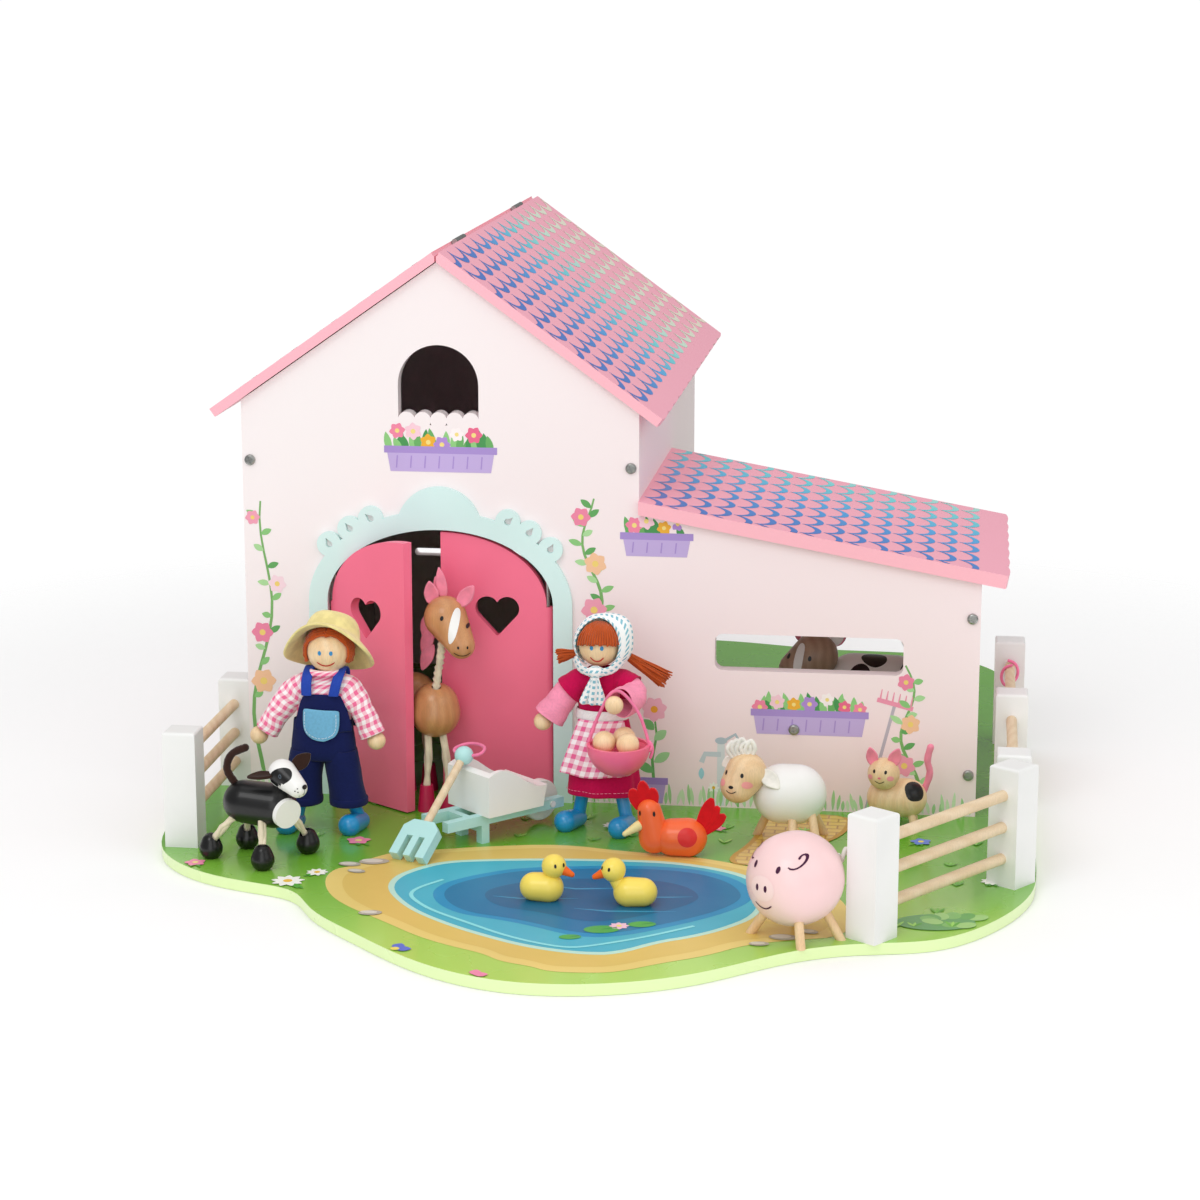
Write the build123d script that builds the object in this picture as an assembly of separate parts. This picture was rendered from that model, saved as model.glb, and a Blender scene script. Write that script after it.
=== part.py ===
from build123d import *
import os
from math import asin, atan2, copysign, cos, degrees, hypot, pi, radians, sin, sqrt, tan

# Wooden toy farm: a barn and a lean-to on a meadow board, fences, dolls, animals and their tools.
# Millimetres. The origin is the middle of the board's underside; the doors face -Y, and +Z is up.

# Boards and general fits
base_thickness = 6.0
wall_thickness = 9.0
roof_thickness = 5.4
lean_roof_thickness = 7.5
loft_thickness = 6.0
door_thickness = 6.0
trim_thickness = 3.0
rest_gap = 0.3
running_clearance = 0.05

# Barn and lean-to
barn_width = 225.0
barn_depth = 316.5
eave_height = 225.0
roof_pitch = 36.0
lifting_roof_pitch = 35.0
lean_width = 190.0
lean_depth = 164.0
lean_ridge_height = 168.0
lean_pitch = 10.1
loft_height = 165.0
side_margin = 30.0
front_face = -52.5
front_apron = 294.5
back_apron = 83.0

# Roof boards
front_overhang = 4.0
back_overhang = 42.0
lean_back_overhang = 9.0
left_eave_overhang = 15.0
right_eave_overhang = 11.0
lean_eave_overhang = 14.0
scallop_depth = 1.2
main_tile_width = 27.9
lean_tile_width = 24.0
panel_gap = 0.5
panel_lift = 0.6

# Ridge hinges
hinge_count = 2
hinge_length = 30.0
hinge_inset = 60.0
barrel_radius = 1.6
barrel_drop = 1.7
barrel_groove = 0.4
hinge_pin_radius = 0.75
hinge_leaf_thickness = 0.8
hinge_leaf_height = 3.6
knuckle_gap = 0.4

# Doorway, its trim and the two doors
door_half_width = 64.5
door_spring = 114.0
arch_rise = 42.5
trim_width = 10.7
lobe_radius = 7.0
lobe_band_x = 78.0
lobe_band_z = 55.5
lobe_spots = (39.0, 51.0, 63.0)
crown_radius = 24.0
crown_height = 157.0
eyelet_length = 6.6
eyelet_radius = 1.9
door_jamb_gap = 0.8
door_meeting_gap = 0.5
door_top_gap = 1.5
door_floor_gap = 0.8
door_shoulder = 3.2
door_setback = 2.0
door_open_angle = 36.0
door_pin_radius = 1.25
door_pin_depth = 12.0
heart_offset = 32.5
heart_height = 108.0
heart_width = 25.0

# Windows
loft_window_width = 45.4
loft_window_sill = 218.0
loft_window_top = 260.3
sill_lobes = 5
long_window_width = 105.0
long_window_height = 21.0
long_window_sill = 80.0
long_window_inset = 43.0
long_window_corner = 4.5
vent_width = 150.0
vent_height = 5.0
vent_sill = 75.0

# Screws
screw_head_radius = 3.1
screw_head_height = 1.7
screw_radius = 1.3
screw_length = 24.0
screw_slot = 0.8
base_screw_length = 20.0
base_screw_head_radius = 3.0
base_screw_head_height = 2.2
stay_size = 12.0
stay_height = 60.0
stay_offset = 87.9

# Fences
post_size = 18.0
post_height = 64.0
post_fillet = 1.6
rail_radius = 3.0
rail_socket = 6.0
rail_heights = (15.0, 32.0, 49.0)
bay_spacing = 126.0
left_bay_spacing = 118.0
corner_bay_spacing = 117.0
halter_radius = 0.9
halter_loop = 11.5

# Board outline, as shares of its half width and half length, anticlockwise from the right
meadow_outline = (
    (0.985, -0.53), (0.897, -0.671), (0.775, -0.755), (0.611, -0.787), (0.472, -0.839),
    (0.32, -0.928), (0.131, -0.988), (-0.067, -0.994), (-0.244, -0.939), (-0.429, -0.821),
    (-0.547, -0.726), (-0.611, -0.657), (-0.716, -0.625), (-0.842, -0.585), (-0.96, -0.496),
    (-1.0, -0.398), (-0.985, -0.157), (-0.94, 0.157), (-0.965, 0.471), (-0.93, 0.754),
    (-0.74, 0.90), (-0.45, 0.95), (-0.15, 0.99), (0.15, 0.995), (0.45, 0.95),
    (0.74, 0.93), (0.91, 0.82), (0.95, 0.63), (0.955, 0.37), (0.985, 0.105),
    (0.995, -0.15), (1.0, -0.409),
)

# Barrow
barrow_place = (-55.4, -114.8)
barrow_heading = 47.0
tray_length = 40.0
tray_width = 37.0
tray_height = 22.5
tray_front_height = 12.0
tray_wall = 3.0
beam_height = 5.5
beam_width = 5.0
frame_width = 24.0
frame_back = 43.0
frame_front = 37.0
barrow_leg_height = 10.5
wheel_radius = 11.6
wheel_width = 5.0
axle_radius = 1.8
wheel_forward = 29.0

# Fork
fork_tip = (-94.0, -175.0)
fork_top = (-72.0, -125.0)
fork_ball_height = 46.0
fork_head_length = 23.0
fork_head_width = 22.0
fork_head_thickness = 6.0
fork_slot = 3.6
fork_shaft_radius = 2.2
fork_ball_radius = 5.2
fork_cord_radius = 0.9

# Horse
horse_place = (-97.8, -71.0)
horse_heading = 124.0
horse_chest = 14.0
horse_rump = 13.5
horse_reach = 31.0
horse_height = 56.5
horse_cord = 2.7
hoof_radius = 5.2
hoof_height = 15.0

# Farmer
farmer_place = (-150.5, -122.0)
doll_head = 12.0
doll_hand = 5.0
doll_boot = 6.2
farmer_head_height = 102.0

# Girl
girl_place = (-0.5, -98.0)
girl_head_height = 103.5
skirt_hem = 19.5
basket_place = (12.6, -125.0)
basket_radius = 17.2
basket_rim_height = 55.5
basket_hollow = 5.5
basket_cord_radius = 0.9
egg_radius = 6.2

# Animals
sheep_place = (104.7, -114.0)
sheep_radius = 16.2
sheep_height = 27.9
dowel_leg = 2.35
pig_place = (117.2, -264.0)
pig_radius = 23.2
pig_height = 29.5
cat_place = (162.0, -75.5)
cat_radius = 10.8
cat_height = 16.5
cat_head = 8.9
dog_place = (-172.0, -179.0)
dog_radius = 12.0
dog_height = 30.5
dog_foot = 6.3
dog_cord = 2.6
hen_place = (48.0, -143.0)
hen_radius = 11.0
hen_neck = 8.4
duck_left_place = (-14.1, -226.0)
duck_right_place = (33.9, -228.0)
duck_radius = 7.7
duck_head = 6.3
duck_left_reach = 6.2
duck_right_reach = 11.0
cow_place = (131.0, 24.0)
cow_radius = 17.0
cow_height = 56.0
cow_head = 13.0

# Places worked out from the sizes above
floor = base_thickness
building_width = barn_width + lean_width
half_x = building_width / 2 + side_margin
half_y = (barn_depth + front_apron + back_apron) / 2
barn_left = -building_width / 2 - 2.5
barn_right = barn_left + barn_width
barn_mid = barn_left + barn_width / 2
lean_right = barn_right + lean_width
board_middle = front_face - front_apron + half_y
front_back = front_face + wall_thickness
back_face = front_face + barn_depth
eave_z = floor + eave_height
slope = tan(radians(roof_pitch))
apex_z = eave_z + barn_width / 2 * slope
left_eave_z = apex_z - barn_width / 2 * tan(radians(lifting_roof_pitch))
ridge_top = apex_z + roof_thickness / cos(radians(roof_pitch))
lean_high = floor + lean_ridge_height
lean_slope = tan(radians(lean_pitch))
lean_low = lean_high - lean_width * lean_slope
spring_z = floor + door_spring
door_front = front_face - trim_thickness + door_setback
door_mid = door_front + door_thickness / 2
pivot_inset = door_jamb_gap + door_thickness / 2


def disc(plane, radius, height):
    """Cylinder standing on a plane."""
    base = (Align.CENTER, Align.CENTER, Align.MIN)
    return plane * Cylinder(radius, height, align=base)


def rod(a, b, radius):
    """Round bar from point a to point b."""
    start = Vector(*a)
    run = Vector(*b) - start
    return disc(Plane(origin=start, z_dir=run), radius, run.length)


def ball(centre, radius):
    """Turned ball."""
    return Pos(*centre) * Sphere(radius)


def egg(a, b, radius_a, radius_b):
    """Turned egg: two balls joined by the cone that touches both."""
    start = Vector(*a)
    run = Vector(*b) - start
    lean = asin((radius_a - radius_b) / run.length)
    low = (radius_a * cos(lean), radius_a * sin(lean))
    high = (radius_b * cos(lean), run.length + radius_b * sin(lean))
    bend = degrees(lean)
    outline = [
        CenterArc((0, 0), radius_a, -90, 90 + bend),
        Line(low, high),
        CenterArc((0, run.length), radius_b, bend, 90 - bend),
        Line((0, run.length + radius_b), (0, -radius_a)),
    ]
    half = make_face([Plane.XZ * edge for edge in outline])
    return Plane(origin=start, z_dir=run) * revolve(half, Axis.Z)


def turned(outline, plane):
    """Solid turned about a plane's normal from (radius, height) points."""
    wire = Polyline(*outline, close=True)
    return plane * revolve(make_face(Plane.XZ * wire), Axis.Z)


def slab(low, high):
    """Box between two corners."""
    size = [b - a for a, b in zip(low, high)]
    middle = [(a + b) / 2 for a, b in zip(low, high)]
    return Pos(*middle) * Box(*size)


def prism_y(sketch, y_front, y_back):
    """Flat board cut to an outline in X and Z, from one Y to another."""
    return Pos(0, y_back, 0) * extrude(Plane.XZ * sketch, amount=y_back - y_front)


def polygon(*points):
    """Closed outline with straight sides."""
    return make_face(Polyline(*points, close=True))


def above(shape, height):
    """What is left of a shape over a level."""
    return split(shape, bisect_by=Plane.XY.offset(height), keep=Keep.TOP)


def on_floor(shape):
    """What is left of a shape over the board's top."""
    return above(shape, floor)


def toy(place, offset, height):
    """Point of a toy: its place on the board, an offset from it, and a height over the board."""
    return (place[0] + offset[0], place[1] + offset[1], floor + height)


def standing_leg(top, foot, radius):
    """Round leg from inside a body down to its flat foot on the board."""
    start = Vector(*top)
    end = Vector(*foot)
    run = end - start
    return on_floor(rod(top, tuple(end + run.normalized() * 2 * radius), radius))


def cord_radii(points):
    """Largest arc that fits at each corner of a cord's route."""
    radii = []
    for before, here, after in zip(points, points[1:], points[2:]):
        run_in = Vector(*here) - Vector(*before)
        run_out = Vector(*after) - Vector(*here)
        turn = radians(run_in.get_angle(run_out))
        radii.append(0.45 * min(run_in.length, run_out.length) / tan(turn / 2))
    return radii


def cord(name, points, radius):
    """Cord's tube along straight runs joined by tangent arcs."""
    radii = cord_radii(points)
    path = FilletPolyline(*points, radius=radii)
    ring = Plane(origin=path @ 0, z_dir=path % 0) * Circle(radius)
    tube = sweep(ring, path=path)
    ideal = pi * radius**2 * path.length
    print(name, "length", round(path.length, 1), "tightest", round(min(radii), 1),
          "volume share", round(tube.volume / ideal, 4))
    return tube


def group(*shapes):
    """Separate solids kept in one node."""
    return Compound([solid for shape in shapes for solid in shape.solids()])


def felt(points, plane, thickness):
    """Flat felt cut-out with a smooth outline, laid on a plane."""
    curve = Spline(*points, periodic=True)
    return plane * extrude(make_face(curve), amount=thickness / 2, both=True)


def base_screw_spots():
    """Places of the screws that come up through the board."""
    half_wall = wall_thickness / 2
    inset = wall_thickness * 3
    walls = []
    for x in (barn_left + half_wall, barn_right - half_wall):
        walls += [(x, front_back + inset), (x, back_face - wall_thickness - inset)]
    end_x = lean_right - half_wall
    walls += [(end_x, front_back + inset), (end_x, front_face + lean_depth - inset)]
    walls += [(barn_mid - barn_width / 4, back_face - half_wall)]
    walls += [(barn_mid + barn_width / 4, back_face - half_wall)]
    walls += [(barn_right + lean_width / 4, front_face + half_wall)]
    return walls + [(x, y) for x, y, _ in post_places()]


def base_screw(spot, clearance=0.0):
    """Countersunk screw, flush with the board's underside, in one spot."""
    x, y = spot
    head = base_screw_head_radius + clearance
    shank = screw_radius + clearance
    top = base_screw_length + clearance
    outline = ((0, 0), (head, 0), (shank, base_screw_head_height), (shank, top), (0, top))
    return Pos(x, y, 0) * turned(outline, Plane.XY)


def wall_screw_spots():
    """Places of the screws on the front, as X and Z."""
    half_wall = wall_thickness / 2
    upper = floor + eave_height - 31.5
    return (
        (barn_left + half_wall, upper),
        (barn_right - half_wall, upper),
        (lean_right - half_wall, lean_low - 20.5),
        (lean_right - half_wall, floor + 24.0),
        (barn_right + stay_offset, floor + stay_height - 13.0),
    )


def wall_screw(spot):
    """Pan head screw with a cross recess, seated on the front wall."""
    face = Plane(origin=(spot[0], front_face, spot[1]), z_dir=(0, -1, 0))
    head = disc(face, screw_head_radius, screw_head_height)
    head = fillet(head.edges().sort_by(Axis.Y)[0], screw_head_height * 0.7)
    slot_size = (screw_head_radius * 1.3, screw_slot, screw_head_height)
    recess = Box(*slot_size) + Rot(0, 0, 90) * Box(*slot_size)
    head -= face * Rot(0, 0, 20) * Pos(0, 0, screw_head_height) * recess
    return head + disc(Plane(origin=face.origin, z_dir=(0, 1, 0)), screw_radius, screw_length)


def wall_screw_holes():
    """Holes for the front wall's screws."""
    holes = []
    for x, z in wall_screw_spots():
        face = Plane(origin=(x, front_face - 1, z), z_dir=(0, 1, 0))
        holes.append(disc(face, screw_radius + running_clearance, screw_length + 1.5))
    return holes


def drilled(board, *holes):
    """Board with every hole that meets it cut out."""
    for hole in holes:
        board -= hole
    return board


def base_holes():
    """Holes for the screws that come up through the board."""
    return [base_screw(spot, running_clearance) for spot in base_screw_spots()]


def base_board():
    """Meadow board with its wavy edge."""
    points = [(x * half_x, board_middle + y * half_y) for x, y in meadow_outline]
    board = extrude(make_face(Spline(*points, periodic=True)), amount=base_thickness)
    for x in door_pivots():
        board -= Pos(x, door_mid, floor) * Cylinder(door_pin_radius, 2 * door_pin_seat())
    return drilled(board, *base_holes())


def door_pin_seat():
    """Depth of the lower door pins in the board."""
    return base_thickness * 0.75


def door_pivots():
    """X of the left and the right door's pin."""
    reach = door_half_width - pivot_inset
    return (barn_mid - reach, barn_mid + reach)


def arch(half_width, rise):
    """Doorway outline: straight sides under half an ellipse."""
    body = Pos(barn_mid, (floor + spring_z) / 2) * Rectangle(2 * half_width, spring_z - floor)
    top = Pos(barn_mid, spring_z) * Ellipse(half_width, rise)
    under = Pos(barn_mid, spring_z - rise) * Rectangle(4 * half_width, 2 * rise)
    return body + (top - under)


def gable_outline(left_drop):
    """Front of the barn, with the left slope lowered for the lifting panel."""
    return polygon(
        (barn_left, floor), (barn_left, left_eave_z - left_drop), (barn_mid, apex_z - left_drop),
        (barn_mid, apex_z), (barn_right, eave_z), (barn_right, floor),
    )


def lean_outline():
    """Front of the lean-to."""
    return polygon(
        (barn_right - 1, floor), (barn_right - 1, lean_high), (barn_right, lean_high),
        (lean_right, lean_low), (lean_right, floor),
    )


def loft_window():
    """Arched loft window with a wavy sill, as an outline."""
    radius = loft_window_width / 2
    top_z = floor + loft_window_top
    sill_z = floor + loft_window_sill
    spring = top_z - radius
    opening = Pos(barn_mid, spring) * Circle(radius)
    opening += Pos(barn_mid, (spring + sill_z) / 2) * Rectangle(loft_window_width, spring - sill_z)
    pitch = loft_window_width / sill_lobes
    for index in range(sill_lobes):
        x = barn_mid - radius + pitch * (index + 0.5)
        opening -= Pos(x, sill_z) * Circle(pitch * 0.52)
    return opening


def long_window():
    """Low wide window of the lean-to, as an outline."""
    middle = barn_right + long_window_inset + long_window_width / 2
    height = floor + long_window_sill + long_window_height / 2
    shape = RectangleRounded(long_window_width, long_window_height, long_window_corner)
    return Pos(middle, height) * shape


def front_wall():
    """Front board of the barn and the lean-to, in one piece."""
    outline = gable_outline(panel_lift) + lean_outline()
    outline -= arch(door_half_width, arch_rise)
    outline -= loft_window()
    outline -= long_window()
    board = prism_y(outline, front_face, front_back)
    for x in door_pivots():
        board -= door_pin_top(x)
    return drilled(board, *wall_screw_holes(), *base_holes())


def side_wall(x_left, top, y_back):
    """Upright side board behind the front wall."""
    return slab((x_left, front_back, floor), (x_left + wall_thickness, y_back, top))


def barn_side(x_left, top):
    """One of the barn's two side boards."""
    board = side_wall(x_left, top - panel_lift, back_face - wall_thickness)
    return drilled(board, *wall_screw_holes(), *base_holes())


def lean_to_end_wall():
    """End board of the lean-to, its top cut to the roof's slope."""
    left = lean_right - wall_thickness
    top = lean_low + wall_thickness * lean_slope
    outline = polygon((left, floor), (left, top), (lean_right, lean_low), (lean_right, floor))
    board = prism_y(outline, front_back, front_face + lean_depth)
    return drilled(board, *wall_screw_holes(), *base_holes())


def barn_back_wall():
    """Back board of the barn with its hand slot."""
    slot_z = floor + vent_sill + vent_height / 2
    outline = gable_outline(panel_lift)
    outline -= Pos(barn_mid, slot_z) * SlotOverall(vent_width, vent_height)
    board = prism_y(outline, back_face - wall_thickness, back_face)
    return drilled(board, *base_holes())


def loft_floor():
    """Loft board between the barn's walls."""
    low = (barn_left + wall_thickness, front_back, floor + loft_height)
    high = (barn_right - wall_thickness, back_face - wall_thickness,
            floor + loft_height + loft_thickness)
    return slab(low, high)


def lean_to_stay():
    """Batten behind the front wall, between the long window and the board."""
    x = barn_right + stay_offset
    low = (x - stay_size / 2, front_back, floor)
    stay = slab(low, (x + stay_size / 2, front_back + stay_size, floor + stay_height))
    return drilled(stay, *wall_screw_holes())


def scalloped(length, depth, tile, start):
    """Roof board outline: straight at the top, scalloped along the eave."""
    count = round(depth / tile)
    pitch = depth / count
    edge = length - scallop_depth
    sides = [Line((edge, 0), (start, 0)), Line((start, 0), (start, depth)),
             Line((start, depth), (edge, depth))]
    for index in range(count):
        low = index * pitch
        middle = (length, low + pitch / 2)
        sides.append(ThreePointArc((edge, low), middle, (edge, low + pitch)))
    return make_face(sides)


def roof_board(origin, run, normal, length, depth, thickness, tile, pitch):
    """Sloping roof board whose underside starts at the given ridge point."""
    start = -thickness * tan(radians(pitch))
    outline = scalloped(length, depth, tile, start)
    slope_plane = Plane(origin=origin, x_dir=run, z_dir=normal)
    if slope_plane.y_dir.Y < 0:
        slope_plane = Plane(origin=(origin[0], origin[1] + depth, origin[2]), x_dir=run,
                            z_dir=normal)
    return slope_plane * extrude(outline, amount=thickness)


def main_panel(side):
    """One of the barn's two roof boards; side is -1 on the left and 1 on the right."""
    angle = lifting_roof_pitch if side < 0 else roof_pitch
    overhang = left_eave_overhang if side < 0 else right_eave_overhang
    pitch = radians(angle)
    length = (barn_width / 2 + overhang) / cos(pitch)
    depth = barn_depth + front_overhang + back_overhang
    origin = (barn_mid, front_face - front_overhang, apex_z)
    run = (side * cos(pitch), 0, -sin(pitch))
    normal = (side * sin(pitch), 0, cos(pitch))
    board = roof_board(origin, run, normal, length, depth, roof_thickness, main_tile_width, angle)
    face = Plane(origin=(barn_mid + side * panel_gap, 0, 0), z_dir=(side, 0, 0))
    board = split(board, bisect_by=face, keep=Keep.TOP)
    groove = barrel_radius + barrel_groove
    y_start = front_face - front_overhang - 1
    board -= rod((barn_mid, y_start, hinge_z()), (barn_mid, y_start + depth + 2, hinge_z()), groove)
    for y in hinge_starts():
        board -= hinge_leaf(side, y, hinge_z())
    return board


def hinge_z():
    """Height of the ridge hinges' pin."""
    return ridge_top - barrel_drop


def hinge_starts():
    """Y where each ridge hinge begins."""
    depth = barn_depth + front_overhang + back_overhang
    first = front_face - front_overhang + hinge_inset
    step = (depth - 2 * hinge_inset - hinge_length) / (hinge_count - 1)
    return [first + step * index for index in range(hinge_count)]


def hinge_leaf(side, y, top=None):
    """Leaf of a ridge hinge, let into the board's upright edge; its slot reaches higher."""
    outer = panel_gap + 0.5
    x_inner = barn_mid + side * (outer - hinge_leaf_thickness)
    x_outer = barn_mid + side * outer
    shoulder = hinge_z() - barrel_radius - barrel_groove
    low = (min(x_inner, x_outer), y, shoulder - hinge_leaf_height)
    return slab(low, (max(x_inner, x_outer), y + hinge_length, top or shoulder))


def knuckle(side, y_low, y_high):
    """Knuckle of a ridge hinge with the neck that joins it to its leaf."""
    outer = panel_gap + 0.5
    x_inner = barn_mid + side * (outer - hinge_leaf_thickness)
    x_outer = barn_mid + side * outer
    foot = hinge_z() - barrel_radius - barrel_groove
    neck = slab((min(x_inner, x_outer), y_low, foot), (max(x_inner, x_outer), y_high, hinge_z()))
    barrel = rod((barn_mid, y_low, hinge_z()), (barn_mid, y_high, hinge_z()), barrel_radius)
    return barrel + neck


def hinge_pin(y, clearance=0.0):
    """Pin of a ridge hinge."""
    start = (barn_mid, y, hinge_z())
    return rod(start, (barn_mid, y + hinge_length, hinge_z()), hinge_pin_radius + clearance)


def fixed_hinge_half(y):
    """Leaf with the two outer knuckles, and its pin."""
    third = hinge_length / 3
    leaf = hinge_leaf(1, y) + knuckle(1, y, y + third)
    leaf += knuckle(1, y + 2 * third, y + hinge_length)
    return (leaf - hinge_pin(y), hinge_pin(y))


def moving_hinge_half(y):
    """Leaf with the middle knuckle."""
    third = hinge_length / 3
    low = y + third + knuckle_gap
    high = y + 2 * third - knuckle_gap
    leaf = hinge_leaf(-1, y) + knuckle(-1, low, high)
    return leaf - hinge_pin(y, running_clearance)


def lean_to_roof():
    """Lean-to's roof board, butted against the barn."""
    pitch = radians(lean_pitch)
    length = (lean_width + lean_eave_overhang) / cos(pitch)
    depth = lean_depth + front_overhang + lean_back_overhang
    origin = (barn_right, front_face - front_overhang, lean_high)
    run = (cos(pitch), 0, -sin(pitch))
    normal = (sin(pitch), 0, cos(pitch))
    board = roof_board(origin, run, normal, length, depth, lean_roof_thickness, lean_tile_width,
                       lean_pitch)
    face = Plane(origin=(barn_right, 0, 0), z_dir=(1, 0, 0))
    return split(board, bisect_by=face, keep=Keep.TOP)


def lobe_rise(spot):
    """Height over the spring of a trim lobe at a distance from the middle."""
    return lobe_band_z * sqrt(1 - (spot / lobe_band_x) ** 2)


def eyelet(x, z, lean):
    """Teardrop hole of a trim lobe."""
    tip = eyelet_length * 0.62
    drop = Circle(eyelet_radius) + polygon(
        (0, eyelet_radius * 0.96), (tip, 0), (0, -eyelet_radius * 0.96))
    return Pos(barn_mid + x, spring_z + z) * Rot(0, 0, lean) * drop


def door_arch_trim():
    """Painted trim round the doorway, with its crown and six looped lobes."""
    outer = arch(door_half_width + trim_width, arch_rise + trim_width)
    outer += Pos(barn_mid, floor + crown_height) * Circle(crown_radius)
    spots = [side * spot for spot in lobe_spots for side in (-1, 1)]
    for x in spots:
        outer += Pos(barn_mid + x, spring_z + lobe_rise(x)) * Circle(lobe_radius)
    for x in spots:
        z = lobe_rise(x)
        outer -= eyelet(x, z, degrees(atan2(-z, x)) + copysign(90, x))
    outer -= arch(door_half_width, arch_rise)
    return prism_y(outer, front_face - trim_thickness, front_face)


def heart():
    """Heart cut-out, as an outline about its own middle."""
    lobe = heart_width * 0.27
    halves = []
    for side in (-1, 1):
        cheek = Pos(side * (heart_width / 2 - lobe), heart_width * 0.16) * Circle(lobe)
        tip = Pos(0, -heart_width * 0.43) * Circle(heart_width * 0.04)
        halves.append(make_hull(cheek.edges() + tip.edges()))
    return halves[0] + halves[1]


def door_outline(side):
    """Front view of a shut door: a full height stile and an arched top beside it."""
    near_x = barn_mid + side * door_meeting_gap
    far_x = barn_mid + side * (door_half_width - door_jamb_gap)
    low = floor + door_floor_gap
    high = spring_z - door_floor_gap
    stile = Pos((near_x + far_x) / 2, (low + high) / 2) * Rectangle(abs(far_x - near_x), high - low)
    reach = door_half_width - door_jamb_gap - door_shoulder
    cap = Pos(barn_mid, spring_z) * Ellipse(reach, arch_rise - door_top_gap)
    middle = (near_x + far_x) / 2
    window = Pos(middle, high + spring_z) * Rectangle(abs(far_x - near_x), 2 * spring_z)
    return stile + (cap & window)


def door_panel(side):
    """Shut door with its heart, rounded at its hinge edge; side is -1 on the left."""
    pivot_x = barn_mid + side * (door_half_width - pivot_inset)
    near_x = barn_mid + side * door_meeting_gap
    plan = Pos((pivot_x + near_x) / 2, door_mid) * Rectangle(abs(pivot_x - near_x), door_thickness)
    plan += Pos(pivot_x, door_mid) * Circle(door_thickness / 2)
    outline = door_outline(side)
    outline -= Pos(barn_mid + side * heart_offset, floor + heart_height) * heart()
    panel = extrude(plan, amount=2 * spring_z)
    panel &= prism_y(outline, door_front - 1, door_front + door_thickness + 1)
    bore = door_pin_radius + running_clearance
    panel -= Pos(pivot_x, door_mid, floor) * Cylinder(bore, 2 * door_pin_depth)
    panel -= Pos(pivot_x, door_mid, spring_z) * Cylinder(bore, 2 * door_pin_depth)
    return panel


def left_door():
    """Left door, standing open on its pins."""
    pivot = Pos(door_pivots()[0], door_mid, 0)
    return pivot * Rot(0, 0, -door_open_angle) * pivot.inverse() * door_panel(-1)


def door_pin_top(x):
    """Upper door pin, up through the gap and into the front wall."""
    reach = (x - barn_mid) / door_half_width
    top = spring_z + arch_rise * sqrt(1 - reach**2) + door_pin_depth
    return rod((x, door_mid, spring_z - door_pin_depth + 1), (x, door_mid, top), door_pin_radius)


def door_pins():
    """Two pins for each door, fixed in the board and in the wall."""
    pins = []
    for x in door_pivots():
        low = floor - door_pin_seat()
        pins.append(rod((x, door_mid, low), (x, door_mid, floor + door_pin_depth - 1),
                        door_pin_radius))
        pins.append(door_pin_top(x))
    return group(*pins)


def fence_runs():
    """Each straight fence: first post, heading in degrees, bay length and number of posts."""
    left_x = barn_left - post_size / 2 - 1.5
    right_x = half_x - 13.5
    corner_x = right_x - 69.0
    return (
        ((left_x, front_face - 103.0), 90.0, left_bay_spacing, 2),
        ((right_x, front_face - 89.5), 90.0, bay_spacing, 3),
        ((corner_x, front_face - 209.0), 54.0, corner_bay_spacing, 2),
    )


def post_places():
    """Every fence post as X, Y and turn."""
    places = []
    for start, heading, spacing, count in fence_runs():
        step = (spacing * cos(radians(heading)), spacing * sin(radians(heading)))
        for index in range(count):
            places.append((start[0] + step[0] * index, start[1] + step[1] * index, heading))
    return places


def rail_lines():
    """Ends of every fence rail, let into the posts' sockets."""
    lines = []
    inset = post_size / 2 - rail_socket
    for start, heading, spacing, count in fence_runs():
        along = (cos(radians(heading)), sin(radians(heading)))
        for bay in range(count - 1):
            near = bay * spacing + inset
            far = (bay + 1) * spacing - inset
            for height in rail_heights:
                ends = [(start[0] + along[0] * s, start[1] + along[1] * s, floor + height)
                        for s in (near, far)]
                lines.append(ends)
    return lines


def fence_rail(ends):
    """One dowel rail."""
    return rod(ends[0], ends[1], rail_radius)


def fence_post(place):
    """One square post with a softened top, its sockets and its screw hole."""
    x, y, turn = place
    post = Pos(0, 0, post_height / 2) * Box(post_size, post_size, post_height)
    post = fillet(post.faces().sort_by(Axis.Z)[-1].edges(), post_fillet)
    post = Pos(x, y, floor) * Rot(0, 0, turn) * post
    for ends in rail_lines():
        if min(hypot(end[0] - x, end[1] - y) for end in ends) < post_size:
            post -= fence_rail(ends)
    return post - base_screw((x, y), running_clearance)


def halter():
    """Small cord halter over the last right rail: a loop each side of it."""
    start, heading, spacing, count = fence_runs()[1]
    x = start[0]
    y = start[1] + spacing * (count - 1) - post_size / 2 - 9.0
    rail_z = floor + rail_heights[-1]
    grip = rail_radius + halter_radius + 2 * rest_gap
    half = halter_loop / 2
    ring_points = [
        (x + 1.6, y - half, rail_z + grip), (x - 2.6, y - half + 0.3, rail_z + grip - 0.6),
        (x - grip - 0.8, y - half + 0.8, rail_z - 1.5), (x - grip, y - half * 0.6, rail_z - 7.0),
        (x - 1.5, y - 0.2, rail_z - 10.2), (x + grip - 0.6, y + half * 0.6, rail_z - 7.0),
        (x + grip + 0.9, y + half - 0.8, rail_z - 1.5), (x + 2.8, y + half - 0.3, rail_z + grip - 0.5),
        (x - 1.4, y + half, rail_z + grip),
    ]
    return cord("halter", ring_points, halter_radius)


def barrow_frame_plane():
    """Barrow's own axes: X forward to the wheel, Y to its left."""
    turn = radians(barrow_heading)
    return Plane(origin=(barrow_place[0], barrow_place[1], floor),
                 x_dir=(cos(turn), sin(turn), 0), z_dir=(0, 0, 1))


def beam_top():
    """Height of the barrow frame's top over the board."""
    return barrow_leg_height + beam_height


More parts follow.
